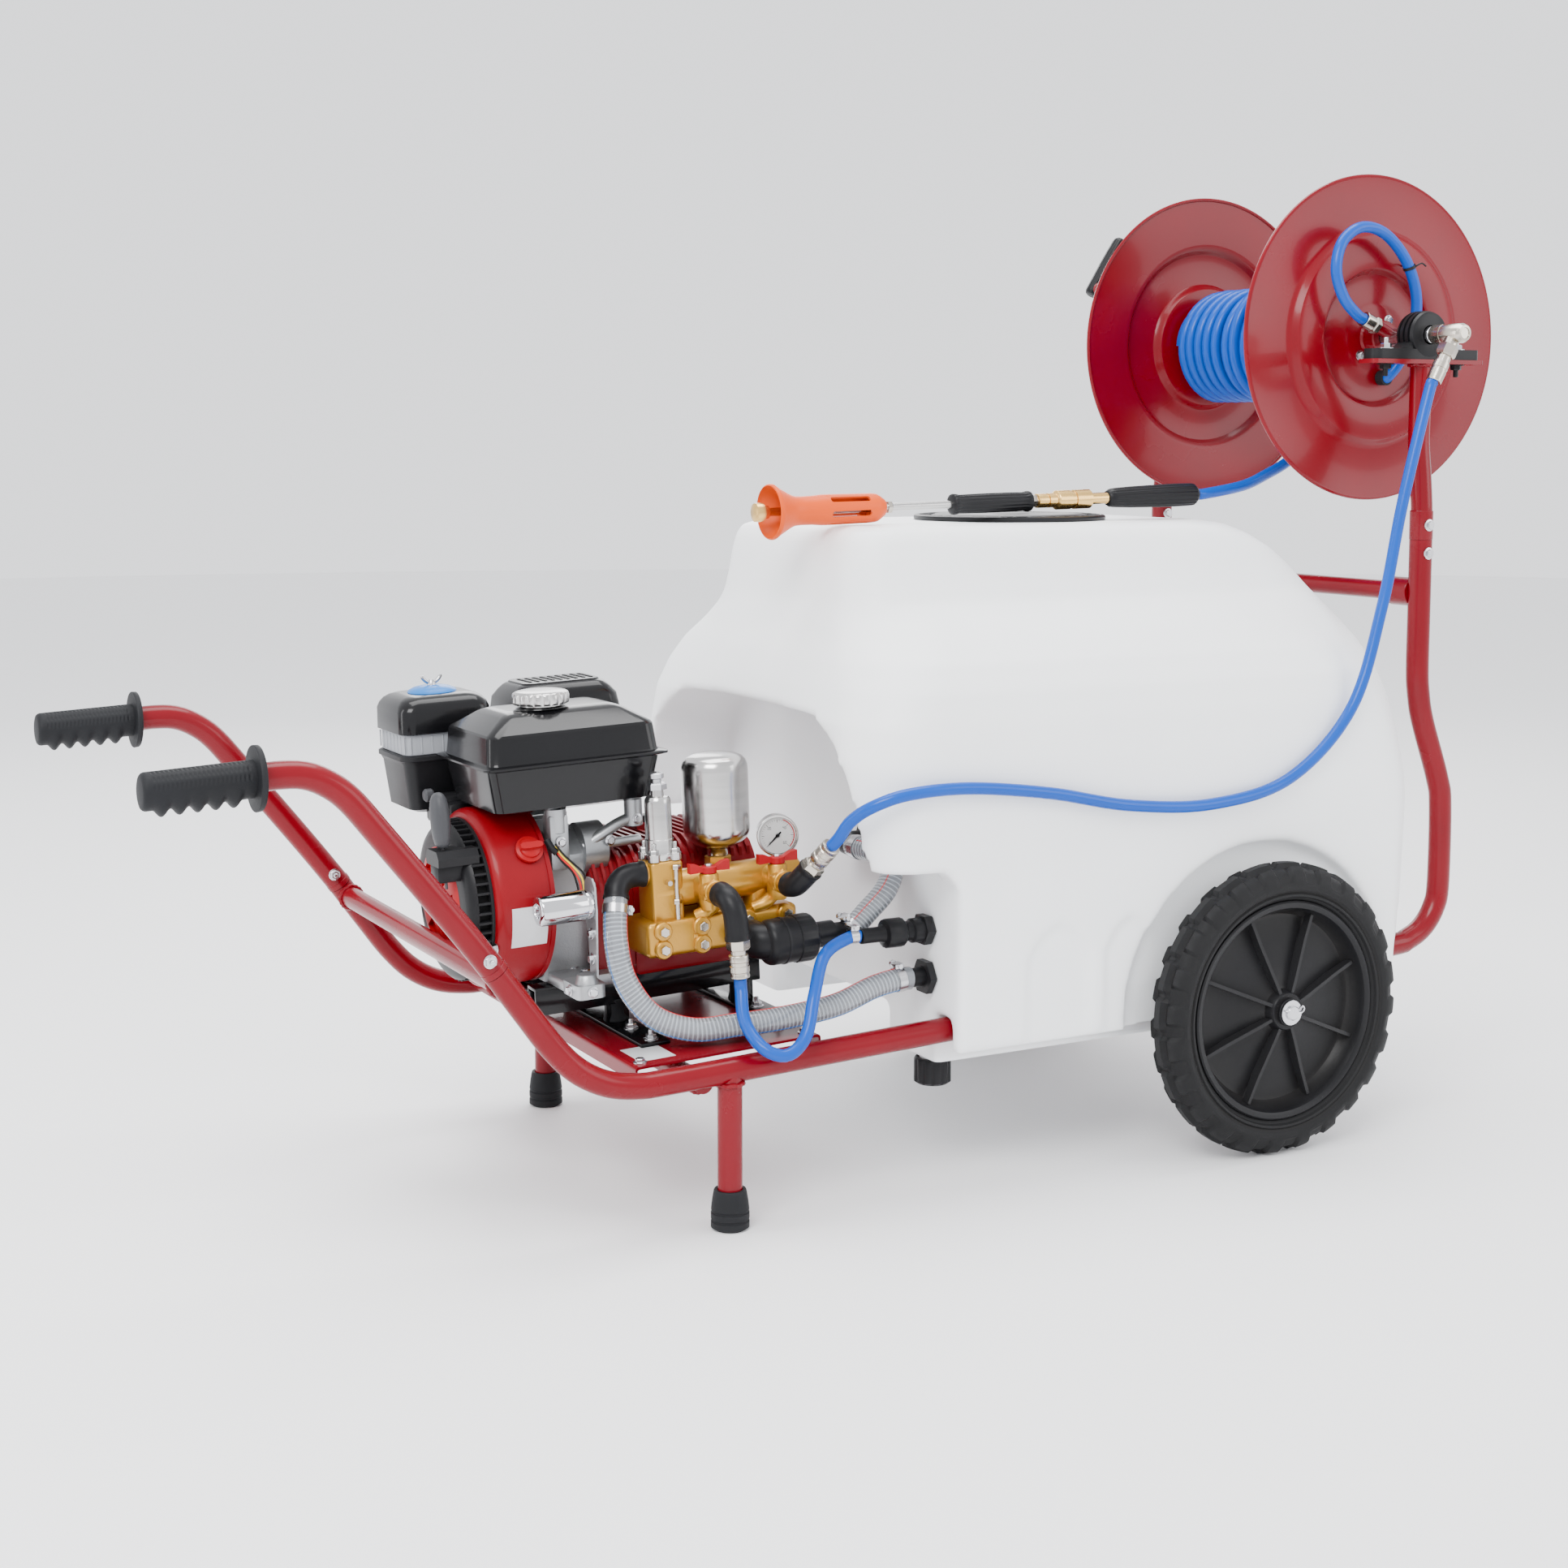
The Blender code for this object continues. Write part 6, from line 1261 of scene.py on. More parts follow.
for k in range(8):
    pool("band_ribs", block((AC[0] - 0.052 + k * 0.0145, AC[1] - 0.0556, 0.3545),
        (AC[0] - 0.05 + k * 0.0145, AC[1] - 0.054, 0.3765), 0.0004, 1), "band_grey", group=True)
    pool("band_ribs", block((AC[0] - 0.0586, AC[1] - 0.05 + k * 0.014, 0.3545),
        (AC[0] - 0.057, AC[1] - 0.048 + k * 0.014, 0.3765), 0.0004, 1), "band_grey", group=True)
place("cleaner_disc", lathe([(0.4262, 0.032), (0.4275, 0.0325), (0.43, 0.031), (0.4335, 0.024),
    (0.4355, 0.015), (0.436, 0.006)], (*AC, 0), (0, 0, 1), 64), "blue_cap", group=True)
wing = [lathe([(0.4355, 0.0058), (0.44, 0.005), (0.443, 0.003)], (*AC, 0), (0, 0, 1), 24)]
for s in (-1, 1):
    wing.append(sweep(flow([(AC[0] + s * 0.002, AC[1], 0.4385), (AC[0] + s * 0.0075, AC[1], 0.441),
        (AC[0] + s * 0.012, AC[1], 0.446), (AC[0] + s * 0.0125, AC[1], 0.4485)], 0.002), 0.0026, 12))
place("wing_nut", merge(*wing), "zinc", group=True)
MU = (-0.355, 0.115)
place("muffler_cover", shell([(0.305, 0.066, 0.046, 0.012), (0.31, 0.074, 0.053, 0.014),
    (0.39, 0.077, 0.056, 0.016), (0.408, 0.075, 0.054, 0.018), (0.418, 0.068, 0.048, 0.018),
    (0.424, 0.062, 0.043, 0.017), (0.4262, 0.058, 0.04, 0.016), (0.4268, 0.056, 0.038, 0.015),
    (0.429, 0.0545, 0.0365, 0.014), (0.4292, 0.05, 0.032, 0.012)], *MU), "black_paint", stands="muffler",
    group=True, crease=30)
# Painted shade: near-black strips on the muffler top stand for the shade in its louvre slots.
for i in range(9):
    pool("muffler_louvres", block((MU[0] - 0.044 + i * 0.011, MU[1] - 0.024, 0.4288),
        (MU[0] - 0.0395 + i * 0.011, MU[1] + 0.024, 0.43), 0.0005, 1), "dark_void", group=True)
LEVER = Vector((-0.547, 0.047, 0.26))
place("throttle", merge(lathe([(-0.56, 0.005), (-0.5595, 0.0062), (-0.5473, 0.0062)], (0, LEVER.y, LEVER.z),
    (1, 0, 0), 28), prism([(LEVER.y - 0.0045, LEVER.z), (LEVER.y + 0.0045, LEVER.z),
    (LEVER.y + 0.0035, LEVER.z + 0.042), (LEVER.y - 0.0035, LEVER.z + 0.042)], "X", -0.56, -0.5565, 0.0006),
    lathe([(-0.569, 0.006), (-0.5665, 0.0085), (-0.559, 0.0085), (-0.5565, 0.0065)],
    (0, LEVER.y, LEVER.z + 0.042), (1, 0, 0), 28)), "grey_plastic", "throttle_lever", "throttle_lever",
    group=True)
SWITCH_ANGLE = math.radians(37)
SWITCH_DIR = Vector((0, -math.cos(SWITCH_ANGLE), math.sin(SWITCH_ANGLE)))
SWITCH_AT = Vector((-0.495, CRANK_Y, CRANK_H)) + SWITCH_DIR * (0.115 + GAP)
bar_mesh = prism([(-0.0145, -0.0025), (-0.01, -0.0042), (0.01, -0.0042), (0.0145, -0.0025),
    (0.0145, 0.0025), (0.01, 0.0042), (-0.01, 0.0042), (-0.0145, 0.0025)], "Z", 0.009, 0.0172, 0.001)
turn(bar_mesh, Matrix.Translation(SWITCH_AT) @ Matrix.Rotation(math.pi / 2 - SWITCH_ANGLE, 4, "X"))
place("stop_switch", merge(bar_mesh, lathe([(0.0, 0.0168), (0.001, 0.0175), (0.0055, 0.0175),
    (0.0064, 0.015), (0.007, 0.0138), (0.01, 0.0132), (0.0116, 0.011)], SWITCH_AT, SWITCH_DIR, 40)),
    "red_plastic", "engine_switch", "engine_switch", group=True)


def block_mesh():
    """Crankcase casting with finned cylinder, tank brackets and feet."""
    case = prism([(-0.09, 0.07), (0.06, 0.07), (0.066, 0.12), (0.06, 0.235), (0.0, 0.262), (-0.07, 0.258),
        (-0.098, 0.23), (-0.1, 0.215), (-0.092, 0.195)], "X", -0.4695, -0.408, 0.005, 3)
    boss = lathe([(-0.38, 0.05), (-0.3655, 0.05), (-0.364, 0.0485), (-0.361, 0.042), (-0.359, 0.04)], HUB,
        (1, 0, 0), 64)
    lean = Matrix.Translation(HUB) @ Matrix.Rotation(math.radians(25), 4, "X")
    tilted = [block((-0.455, 0.06, -0.036), (-0.378, 0.215, 0.036), 0.004),
        block((-0.452, 0.2, -0.03), (-0.382, 0.225, 0.03), 0.006)]
    tilted += [block((-0.4585, 0.0985 + i * 0.0115, -0.043), (-0.374, 0.102 + i * 0.0115, 0.043), 0.0012)
        for i in range(9)]
    parts = [case, boss] + [turn(p, lean) for p in tilted]
    parts += [block((-0.462, -0.115, 0.215), (-0.436, -0.088, 0.286), 0.004),
        lathe([(0.262, 0.0125), (0.263, 0.0138), (0.2925, 0.0138), (0.2937, 0.0125)], (-0.449, -0.103, 0),
        (0, 0, 1), 40)]
    parts += [lathe([(0.258, 0.0105), (0.259, 0.0118), (0.2925, 0.0118), (0.2937, 0.0105)],
        (-0.341, -0.1, 0), (0, 0, 1), 40)]
    parts += [sweep(flow([(-0.345, -0.098, 0.268), (-0.365, -0.1, 0.262), (-0.39, -0.1, 0.25),
        (-0.41, -0.095, 0.238)], 0.004), 0.009, 16, flat=0.8), sweep(flow([(-0.335, -0.102, 0.24),
        (-0.36, -0.104, 0.24), (-0.4, -0.1, 0.238)], 0.004), 0.006, 16)]
    parts += [block((-0.465, -0.142, 0.0668), (-0.392, -0.07, 0.082), 0.003),
        block((-0.465, 0.03, 0.0668), (-0.392, 0.1, 0.082), 0.003)]
    parts += [lathe([(-0.412, 0.034), (-0.38, 0.034), (-0.377, 0.03)], (0, -0.075, 0.232), (1, 0, 0), 48)]
    return merge(*parts)


adapter = [prism([(-0.119, 0.082), (0.078, 0.082), (0.082, 0.19), (0.058, 0.22), (-0.08, 0.2235),
    (-0.099, 0.212), (-0.119, 0.18)], "X", -0.406, -0.3552, 0.004, 2)]
for i in range(4):
    adapter.append(prism([(-0.1195, 0.16), (-0.1195, 0.186), (-0.104, 0.217), (-0.082, 0.231), (0.0, 0.232),
        (0.0, 0.16)], "X", -0.404 + i * 0.0118, -0.4 + i * 0.0118, 0.0008, 1))
place("pump_adapter", merge(*adapter), "red_cast", stands="engine_block", group=True, crease=32)
place("engine_casting", block_mesh(), "cast_alu", stands="engine_block", group=True, crease=32)
for y in (-0.128, -0.084, 0.044, 0.086):
    bolt((-0.4285, y, 0.082), (0, 0, 1), 0.0062, 0.005, 0.0088, group=True)
for at in ((-0.449, -0.1172, 0.252), (-0.341, -0.1118, 0.268), (-0.38, -0.112, 0.245)):
    bolt(at, (0, -1, 0), 0.0048, 0.004, 0.0068, group=True)
CAN_Y, CAN_H = -0.176, 0.182
place("canister", lathe([(-0.438, 0.015), (-0.4388, 0.0172), (-0.442, 0.0188), (-0.446, 0.019),
    (-0.447, 0.0186), (-0.448, 0.019), (-0.503, 0.019), (-0.5058, 0.0187), (-0.5076, 0.0176),
    (-0.5086, 0.0155), (-0.509, 0.012), (-0.5086, 0.0092), (-0.507, 0.0085), (-0.492, 0.008),
    (-0.4918, 0.001)], (0, CAN_Y, CAN_H), (1, 0, 0), 64), "chrome", stands="pulse_canister", group=True)
# Painted shade: a near-black disc in the canister's bore stands for the shade inside it.
place("canister_bore_shade", lathe([(-0.493, 0.0078), (-0.4925, 0.0078)], (0, CAN_Y, CAN_H), (1, 0, 0), 32),
    "dark_void", group=True)
place("canister_bracket", merge(prism([(CAN_Y - 0.011, 0.09), (CAN_Y + 0.009, 0.09), (CAN_Y + 0.01, 0.13),
    (CAN_Y + 0.017, 0.17), (CAN_Y + 0.016, 0.205), (CAN_Y + 0.008, 0.215), (CAN_Y - 0.008, 0.215),
    (CAN_Y - 0.016, 0.205), (CAN_Y - 0.018, 0.175)], "X", -0.4385, -0.436, 0.0006),
    prism([(p.x, p.y) for p in rounded(-0.449, CAN_Y + 0.0055, 0.019, 0.0275, 0.008, 0, 5)], "Z", 0.068,
    0.085, 0.003), lathe([(0.085, 0.015), (0.0945, 0.0125), (0.096, 0.011)], (-0.449, CAN_Y - 0.004, 0),
    (0, 0, 1), 32)), "cast_alu", group=True)
bolt((-0.436, CAN_Y, 0.205), (1, 0, 0), 0.0048, 0.0038, 0.0068, group=True)
bolt((-0.4385, CAN_Y - 0.002, 0.145), (-1, 0, 0), 0.0048, 0.0038, 0.007, group=True)
bolt((-0.4385, CAN_Y - 0.001, 0.113), (-1, 0, 0), 0.0052, 0.0042, 0.0075, group=True)
bolt((-0.468, CAN_Y + 0.004, 0.0765), (-1, 0, 0), 0.0052, 0.0042, 0.0072, group=True)
bolt((-0.449, CAN_Y - 0.022, 0.0765), (0, -1, 0), 0.0052, 0.0042, 0.0072, group=True)
WIRES = (("ink_red", 0.0), ("wire_yellow", 0.0035), ("ink_black", 0.007), ("ink_black", -0.0035))
for i, (mat, shift) in enumerate(WIRES):
    pts = [(-0.462, -0.128 - shift * 0.3, 0.246 + shift), (-0.456, -0.138 - shift * 0.4, 0.234 + shift),
        (-0.447, -0.146, 0.222 + shift * 1.2), (-0.44 + shift, -0.15, 0.206 + shift),
        (-0.4385 + shift, -0.152, 0.188), (-0.434 + shift, -0.146, 0.17)]
    place("wire_%d" % i, sweep(flow(pts, 0.003), 0.0013, 10), mat, group=True, crease=70)
place("wire_sleeve", merge(sweep(flow([(-0.47, -0.122, 0.258), (-0.466, -0.128, 0.248),
    (-0.461, -0.132, 0.242)], 0.003), 0.0045, 14), block((-0.456, -0.143, 0.16), (-0.438, -0.125, 0.182),
    0.003)), "black_plastic", group=True)


def curved_label(x0, x1, deg0, deg1, r):
    rings = []
    for i in range(17):
        a = math.radians(deg0 + (deg1 - deg0) * i / 16)
        rings.append([around(a, r + 0.0005, x0), around(a, r + 0.0005, x1), around(a, r - 0.001, x1),
            around(a, r - 0.001, x0)])
    return skin(rings)


place("rating_plate", curved_label(-0.529, -0.482, 178, 204, 0.115), "label_silver", group=True)
place("deck_plate_label", block((-0.42, -0.266, -0.0002), (-0.372, -0.206, 0.0004), 0.0001, 1),
    "label_silver", group=True)

# ---- pump --------------------------------------------------------------------------------
PUMP_X0, PUMP_X1, MANI_Y, VALVE_Y = -0.3547, -0.175, -0.165, -0.203
pump = [prism([(-0.1218, 0.072), (0.08, 0.072), (0.086, 0.11), (0.084, 0.19), (0.06, 0.22), (0.05, 0.226),
    (-0.08, 0.226), (-0.098, 0.218), (-0.11, 0.203), (-0.1218, 0.175)], "X", PUMP_X0, PUMP_X1, 0.005, 3),
    lathe([(-0.3587, 0.034), (-0.3575, 0.037), (-0.354, 0.0395), (-0.35, 0.04)], HUB, (1, 0, 0), 64),
    block((-0.352, -0.121, 0.0668), (-0.178, -0.07, 0.08), 0.003),
    block((-0.352, 0.03, 0.0668), (-0.178, 0.085, 0.08), 0.003)]
for i in range(15):
    x = PUMP_X0 + 0.008 + i * 0.0115
    pump.append(prism([(-0.112, 0.19), (-0.109, 0.213), (-0.094, 0.229), (-0.08, 0.235), (0.048, 0.235),
        (0.066, 0.225), (0.066, 0.19)], "X", x, x + 0.0042, 0.0008, 1))
pump.append(prism([(-0.02, 0.225), (0.02, 0.225), (0.016, 0.241), (-0.016, 0.241)], "X", -0.3, -0.255,
    0.002))
place("pump_case", merge(*pump), "red_cast", stands="pump_crankcase", group=True, crease=32)
place("pump_dipstick", merge(lathe([(0.241, 0.012), (0.248, 0.012), (0.25, 0.01)], (-0.278, 0, 0),
    (0, 0, 1), 6),), "black_plastic", group=True)
for y, h in ((-0.1, 0.1), (-0.104, 0.16), (0.07, 0.1), (0.066, 0.18)):
    bolt((PUMP_X1, y, h), (1, 0, 0), 0.006, 0.0048, 0.0082, group=True)
for y, h in ((-0.106, 0.092), (-0.104, 0.182)):
    bolt((PUMP_X0, y, h), (-1, 0, 0), 0.0055, 0.0042, 0.0075, group=True)

mani = [block((-0.372, -0.199, 0.105), (-0.16, -0.1221, 0.15), 0.008, 4),
    lathe([(-0.356, 0.0195), (-0.3545, 0.022), (-0.352, 0.0232), (-0.1485, 0.0232), (-0.146, 0.0218),
    (-0.144, 0.019)], (0, MANI_Y, GALLERY_H), (1, 0, 0), 48), block((-0.3577, -0.188, 0.14),
    (-0.315, -0.142, 0.2237), 0.004, 3), lathe([(-0.372, 0.013), (-0.3577, 0.015), (-0.35, 0.0165)],
    (0, MANI_Y, 0.208), (1, 0, 0), 40)]
for x in (-0.33, -0.266, -0.2):
    mani.append(lathe([(0.14, 0.024), (0.148, 0.0205), (0.158, 0.019), (0.172, 0.0195), (0.184, 0.0225)],
        (x, MANI_Y, 0), (0, 0, 1), 40))
for x in (-0.352, -0.298, -0.234, -0.178):
    mani.append(lathe([(-0.199, 0.0125), (-0.202, 0.012), (-0.2035, 0.0105)][::-1], (x, 0, 0.116),
        (0, 1, 0), 32))
    mani.append(lathe([(-0.2035, 0.0105), (-0.202, 0.012), (-0.196, 0.0125)], (x, 0, 0.139), (0, 1, 0), 32))
    bolt((x, -0.2035, 0.116), (0, -1, 0), 0.0066, 0.0052, 0.0, group=True, mat="nickel")
    bolt((x, -0.2035, 0.139), (0, -1, 0), 0.0066, 0.0052, 0.0, group=True, mat="nickel")
for x in VALVE_X:
    mani.append(lathe([(0.16, 0.011), (0.17, 0.0138), (0.19, 0.0138), (0.192, 0.0125), (0.204, 0.0122),
        (0.2057, 0.011)], (x, VALVE_Y, 0), (0, 0, 1), 40))
    mani.append(lathe([(-0.165, 0.018), (-0.186, 0.0165), (-0.19, 0.014), (-0.214, 0.0138), (-0.216, 0.015),
        (-0.2215, 0.015), (-0.223, 0.0138), (-0.2347, 0.0135)], (x, 0, GALLERY_H), (0, 1, 0), 40))
    mani.append(hexagon(Vector((x, -0.21, GALLERY_H)), (0, -1, 0), 0.0168, 0.01))
CH = (-0.24, -0.134)
mani.append(lathe([(GALLERY_H, 0.015), (0.2, 0.015), (0.201, 0.0172), (0.2105, 0.0172), (0.2117, 0.016)],
    (*CH, 0), (0, 0, 1), 6))
mani.append(block((CH[0] - 0.018, MANI_Y, 0.172), (CH[0] + 0.018, -0.123, 0.198), 0.003))
mani.append(sweep(flow([(-0.3, -0.19, 0.15), (-0.288, -0.196, 0.156), (-0.266, -0.19, 0.166),
    (-0.25, -0.178, 0.176)], 0.004), 0.0085, 16))
mani.append(sweep(flow([(-0.22, -0.192, 0.15), (-0.206, -0.198, 0.156), (-0.186, -0.19, 0.166)], 0.004),
    0.0085, 16))
for i in range(3):
    mani.append(block((-0.31 + i * 0.058, -0.2003, 0.1245), (-0.29 + i * 0.058, -0.197, 0.13), 0.001))
place("manifold", merge(*mani), "gold_cast", stands="pump_manifold", group=True, crease=36)
place("gallery_plug", hexagon(Vector((-0.144, MANI_Y, GALLERY_H)), (1, 0, 0), 0.0135, 0.0075, 0.0165),
    "nickel", group=True)
bolt((-0.338, -0.188, 0.198), (0, -1, 0), 0.004, 0.01, 0.0, group=True, mat="nickel")
place("block_stud", merge(lathe([(0.15, 0.0036), (0.22, 0.0036)], (-0.326, -0.19, 0), (0, 0, 1), 20),
    hexagon(Vector((-0.326, -0.19, 0.17)), (0, 0, 1), 0.0062, 0.0055),
    hexagon(Vector((-0.326, -0.19, 0.214)), (0, 0, 1), 0.0062, 0.0055)), "nickel", group=True)
RG = (-0.336, -0.165)
reg = [lathe([(0.224, 0.0195), (0.2248, 0.02), (0.2315, 0.02), (0.2322, 0.0186), (0.234, 0.0182),
    (0.25, 0.0182), (0.251, 0.0172), (0.2965, 0.0168), (0.301, 0.016), (0.304, 0.0138), (0.3046, 0.0085),
    (0.312, 0.008)], (*RG, 0), (0, 0, 1), 48)]
for k in range(4):
    a = math.radians(45 + 90 * k)
    at = Vector((RG[0] + 0.0205 * math.cos(a), RG[1] + 0.0205 * math.sin(a), 0))
    reg.append(hexagon(at + Vector((0, 0, 0.232)), (0, 0, 1), 0.0062, 0.0055, 0.0082, 0.008))
    reg.append(lathe([(0.2242, 0.008), (0.232, 0.008)], at, (0, 0, 1), 20))
place("regulator", merge(*reg), "brushed", stands="pressure_regulator", group=True)
place("regulator_screw", merge(lathe([(0.3123, 0.006), (0.33, 0.006), (0.3345, 0.0055)], (*RG, 0),
    (0, 0, 1), 28), hexagon(Vector((*RG, 0.3128)), (0, 0, 1), 0.0128, 0.0085),
    lathe([(0.326, 0.007), (0.3275, 0.0093), (0.333, 0.0093), (0.3345, 0.0072)], (*RG, 0), (0, 0, 1), 32)),
    "zinc", "regulator_knob", "regulator_knob", group=True)
place("chamber_dome", lathe([(0.212, 0.0135), (0.214, 0.014), (0.2205, 0.014), (0.2225, 0.017),
    (0.2265, 0.028), (0.231, 0.035), (0.236, 0.0395), (0.241, 0.042), (0.245, 0.0431), (0.249, 0.0433),
    (0.324, 0.0433), (0.33, 0.0428), (0.336, 0.0405), (0.3405, 0.036), (0.3435, 0.029), (0.345, 0.021),
    (0.3458, 0.012), (0.346, 0.004)], (*CH, 0), (0, 0, 1), 96), "brushed", stands="air_chamber", group=True,
    crease=60)

GAUGE = Vector((-0.167, -0.16, 0.2345))
FACE = Vector((-0.36, -0.933, 0.0)).normalized()
GAUGE_R = 0.0272
RIGHT = Vector((-FACE.y, FACE.x, 0))
place("gauge_body", merge(lathe([(-0.012, 0.0205), (-0.011, 0.0235), (-0.009, 0.0255), (0.011, 0.0258),
    (0.0114, 0.0268), (0.0122, GAUGE_R), (0.0158, GAUGE_R), (0.0165, 0.0264), (0.0165, 0.0246),
    (0.015, 0.024), (0.0125, 0.0239)], GAUGE, FACE, 72), hexagon(Vector((GAUGE.x, GAUGE.y, 0.2072)),
    (0, 0, 1), 0.0088, 0.006)), "brushed", stands="gauge_case", group=True)


def dial(a, b, out):
    return GAUGE + RIGHT * a + Vector((0, 0, b)) + FACE * (0.0126 + out)


def flat(points, out):
    bm = bmesh.new()
    bm.faces.new([bm.verts.new(dial(a, b, out)) for a, b in points])
    return bm


def polar(r, deg):
    return r * math.sin(math.radians(deg)), r * math.cos(math.radians(deg))


place("dial_face", flat([polar(0.0236, 360 * k / 64) for k in range(64)], 0.0001), "dial_white", group=True)
marks = []
for k in range(31):
    deg = -135 + 270 * k / 30
    r0 = 0.017 if k % 5 == 0 else 0.0188
    half = 0.9 if k % 5 == 0 else 0.5
    marks.append(flat([polar(0.0206, deg - half), polar(0.0206, deg + half), polar(r0, deg + half),
        polar(r0, deg - half)], 0.0002))
STROKES = {"0": [(0, 0, 1, 0), (1, 0, 1, 2), (1, 2, 0, 2), (0, 2, 0, 0)],
    "2": [(0, 2, 1, 2), (1, 2, 1, 1), (1, 1, 0, 1), (0, 1, 0, 0), (0, 0, 1, 0)],
    "4": [(0, 2, 0, 1), (0, 1, 1, 1), (1, 2, 1, 0)], "6": [(1, 2, 0, 2), (0, 2, 0, 0), (0, 0, 1, 0),
    (1, 0, 1, 1), (1, 1, 0, 1)]}
for text, deg in (("0", -135), ("20", -45), ("40", 45), ("60", 135)):
    ca, cb = polar(0.0138, deg)
    for n, ch in enumerate(text):
        ox = ca + (n - len(text) / 2) * 0.0026
        for x0, y0, x1, y1 in STROKES[ch]:
            p, q = Vector((ox + x0 * 0.0015, cb - 0.0016 + y0 * 0.0016)), Vector((ox + x1 * 0.0015,
                cb - 0.0016 + y1 * 0.0016))
            w = (q - p).normalized().orthogonal() * 0.00022
            e = (q - p).normalized() * 0.00022
            marks.append(flat([tuple(p - e + w), tuple(q + e + w), tuple(q + e - w), tuple(p - e - w)],
                0.0002))
place("dial_marks", merge(*marks), "ink_black", group=True)
arc = [polar(0.0222, 20 + 115 * k / 24) for k in range(25)] + [polar(0.0208, 135 - 115 * k / 24)
    for k in range(25)]
place("dial_arc", flat(arc, 0.0002), "ink_red", group=True)
needle = [(-0.001, -0.0065), (0.001, -0.0065), (0.0014, 0.0), (0.0003, 0.018), (-0.0003, 0.018),
    (-0.0014, 0.0)]
c, s = math.cos(math.radians(135)), math.sin(math.radians(135))
needle = [(c * a - s * b, s * a + c * b) for a, b in needle]
place("needle", merge(skin([[dial(a, b, 0.0008) for a, b in needle],
    [dial(a, b, 0.0013) for a, b in needle]]), lathe([(0.0134, 0.0026), (0.0142, 0.0026), (0.0146, 0.0018)],
    GAUGE, FACE, 24)), "ink_black", "gauge_needle", "gauge_needle", group=True)
place("gauge_glass", lathe([(0.015, 0.024), (0.0154, 0.024), (0.0157, 0.015), (0.0158, 0.001)], GAUGE, FACE,
    48), "gauge_glass", group=True, crease=70)
for x, tag in zip(VALVE_X, ("left", "right")):
    wings = prism([(-0.0275, 0.2205), (-0.0275, 0.2078), (-0.019, 0.208), (-0.014, 0.2084), (0.014, 0.2084),
        (0.019, 0.208), (0.0275, 0.2078), (0.0275, 0.2205), (0.018, 0.219), (0.0085, 0.214),
        (-0.0085, 0.214), (-0.018, 0.219)], "Y", -0.0046, 0.0046, 0.0012)
    bmesh.ops.translate(wings, verts=wings.verts, vec=(x, VALVE_Y, 0))
    place("tap_" + tag, merge(wings, lathe([(0.206, 0.0095), (0.2068, 0.0102), (0.214, 0.01),
        (0.215, 0.008)], (x, VALVE_Y, 0), (0, 0, 1), 36)), "red_plastic", "valve_" + tag,
        "valve_handle_" + tag, group=True)
    bolt((x, VALVE_Y, 0.215), (0, 0, 1), 0.0048, 0.0026, 0.0, body="valve_" + tag, group=True)


def crimp(a, b, nut_r=0.015, r=0.0128):
    """Swaged hose ferrule with its hex nut at the fitting's end."""
    a, b = Vector(a), Vector(b)
    span = (b - a).length
    tube = lathe([(span * 0.3, r * 0.8), (span * 0.4, r * 0.8), (span * 0.42, r * 0.96), (span * 0.44, r),
        (span * 0.58, r * 0.98), (span * 0.6, r * 0.91), (span * 0.68, r * 0.91), (span * 0.7, r * 0.98),
        (span * 0.84, r * 0.97), (span * 0.86, r * 0.9), (span * 0.92, r * 0.9), (span * 0.95, r * 0.96),
        (span - 0.0006, r * 0.94), (span, r * 0.84)], a, b - a, 40)
    return merge(hexagon(a, b - a, nut_r, span * 0.3), tube)


END_LIP, LIP_GROWTH = 0.004, 1.07  # moulded elbows thicken at both ends


def elbow(name, path, ferrule, node, r=0.0152):
    curve = flow(path, 0.003)
    total = length_of(curve)
    rings = []
    for i in range(len(curve)):
        inner = END_LIP < length_of(curve[:i + 1]) < total - END_LIP
        rings.append(r * (1.0 if inner else LIP_GROWTH))
    place(name, sweep(curve, r, 28, radii=rings), "black_plastic", stands=node, group=True, crease=55)
    if ferrule:
        place(name + "_ferrule", crimp(*ferrule), "nickel", group=True)


elbow("elbow_mid", [(VALVE_X[0], -0.235, GALLERY_H), (VALVE_X[0], -0.246, GALLERY_H),
    (VALVE_X[0] + 0.001, -0.256, GALLERY_H - 0.005), (VALVE_X[0] + 0.003, -0.263, GALLERY_H - 0.014),
    (VALVE_X[0] + 0.004, -0.266, GALLERY_H - 0.026), (VALVE_X[0] + 0.005, -0.267, GALLERY_H - 0.052)],
    (MID_TOP, MID_END), "elbow_outlet_mid")
elbow("elbow_right", [(VALVE_X[1], -0.235, GALLERY_H), (VALVE_X[1], -0.243, GALLERY_H),
    (VALVE_X[1] + 0.002, -0.2515, GALLERY_H + 0.0035), (VALVE_X[1] + 0.007, -0.261, GALLERY_H + 0.013),
    RIGHT_BEND], (RIGHT_BEND - RIGHT_DIR * 0.004, RIGHT_END), "elbow_outlet_right")
elbow("elbow_return", [(-0.36, MANI_Y, 0.208), (-0.376, MANI_Y, 0.208), (-0.39, MANI_Y - 0.003, 0.205),
    BYPASS_A, BYPASS_B], None, "elbow_bypass", 0.0155)
inlet = sweep(flow([(-0.238, -0.1993, 0.118), (-0.238, -0.215, 0.118), (-0.236, -0.228, 0.117),
    (-0.228, -0.236, 0.116), (-0.214, -0.238, 0.115)], 0.003), 0.0232, 36)
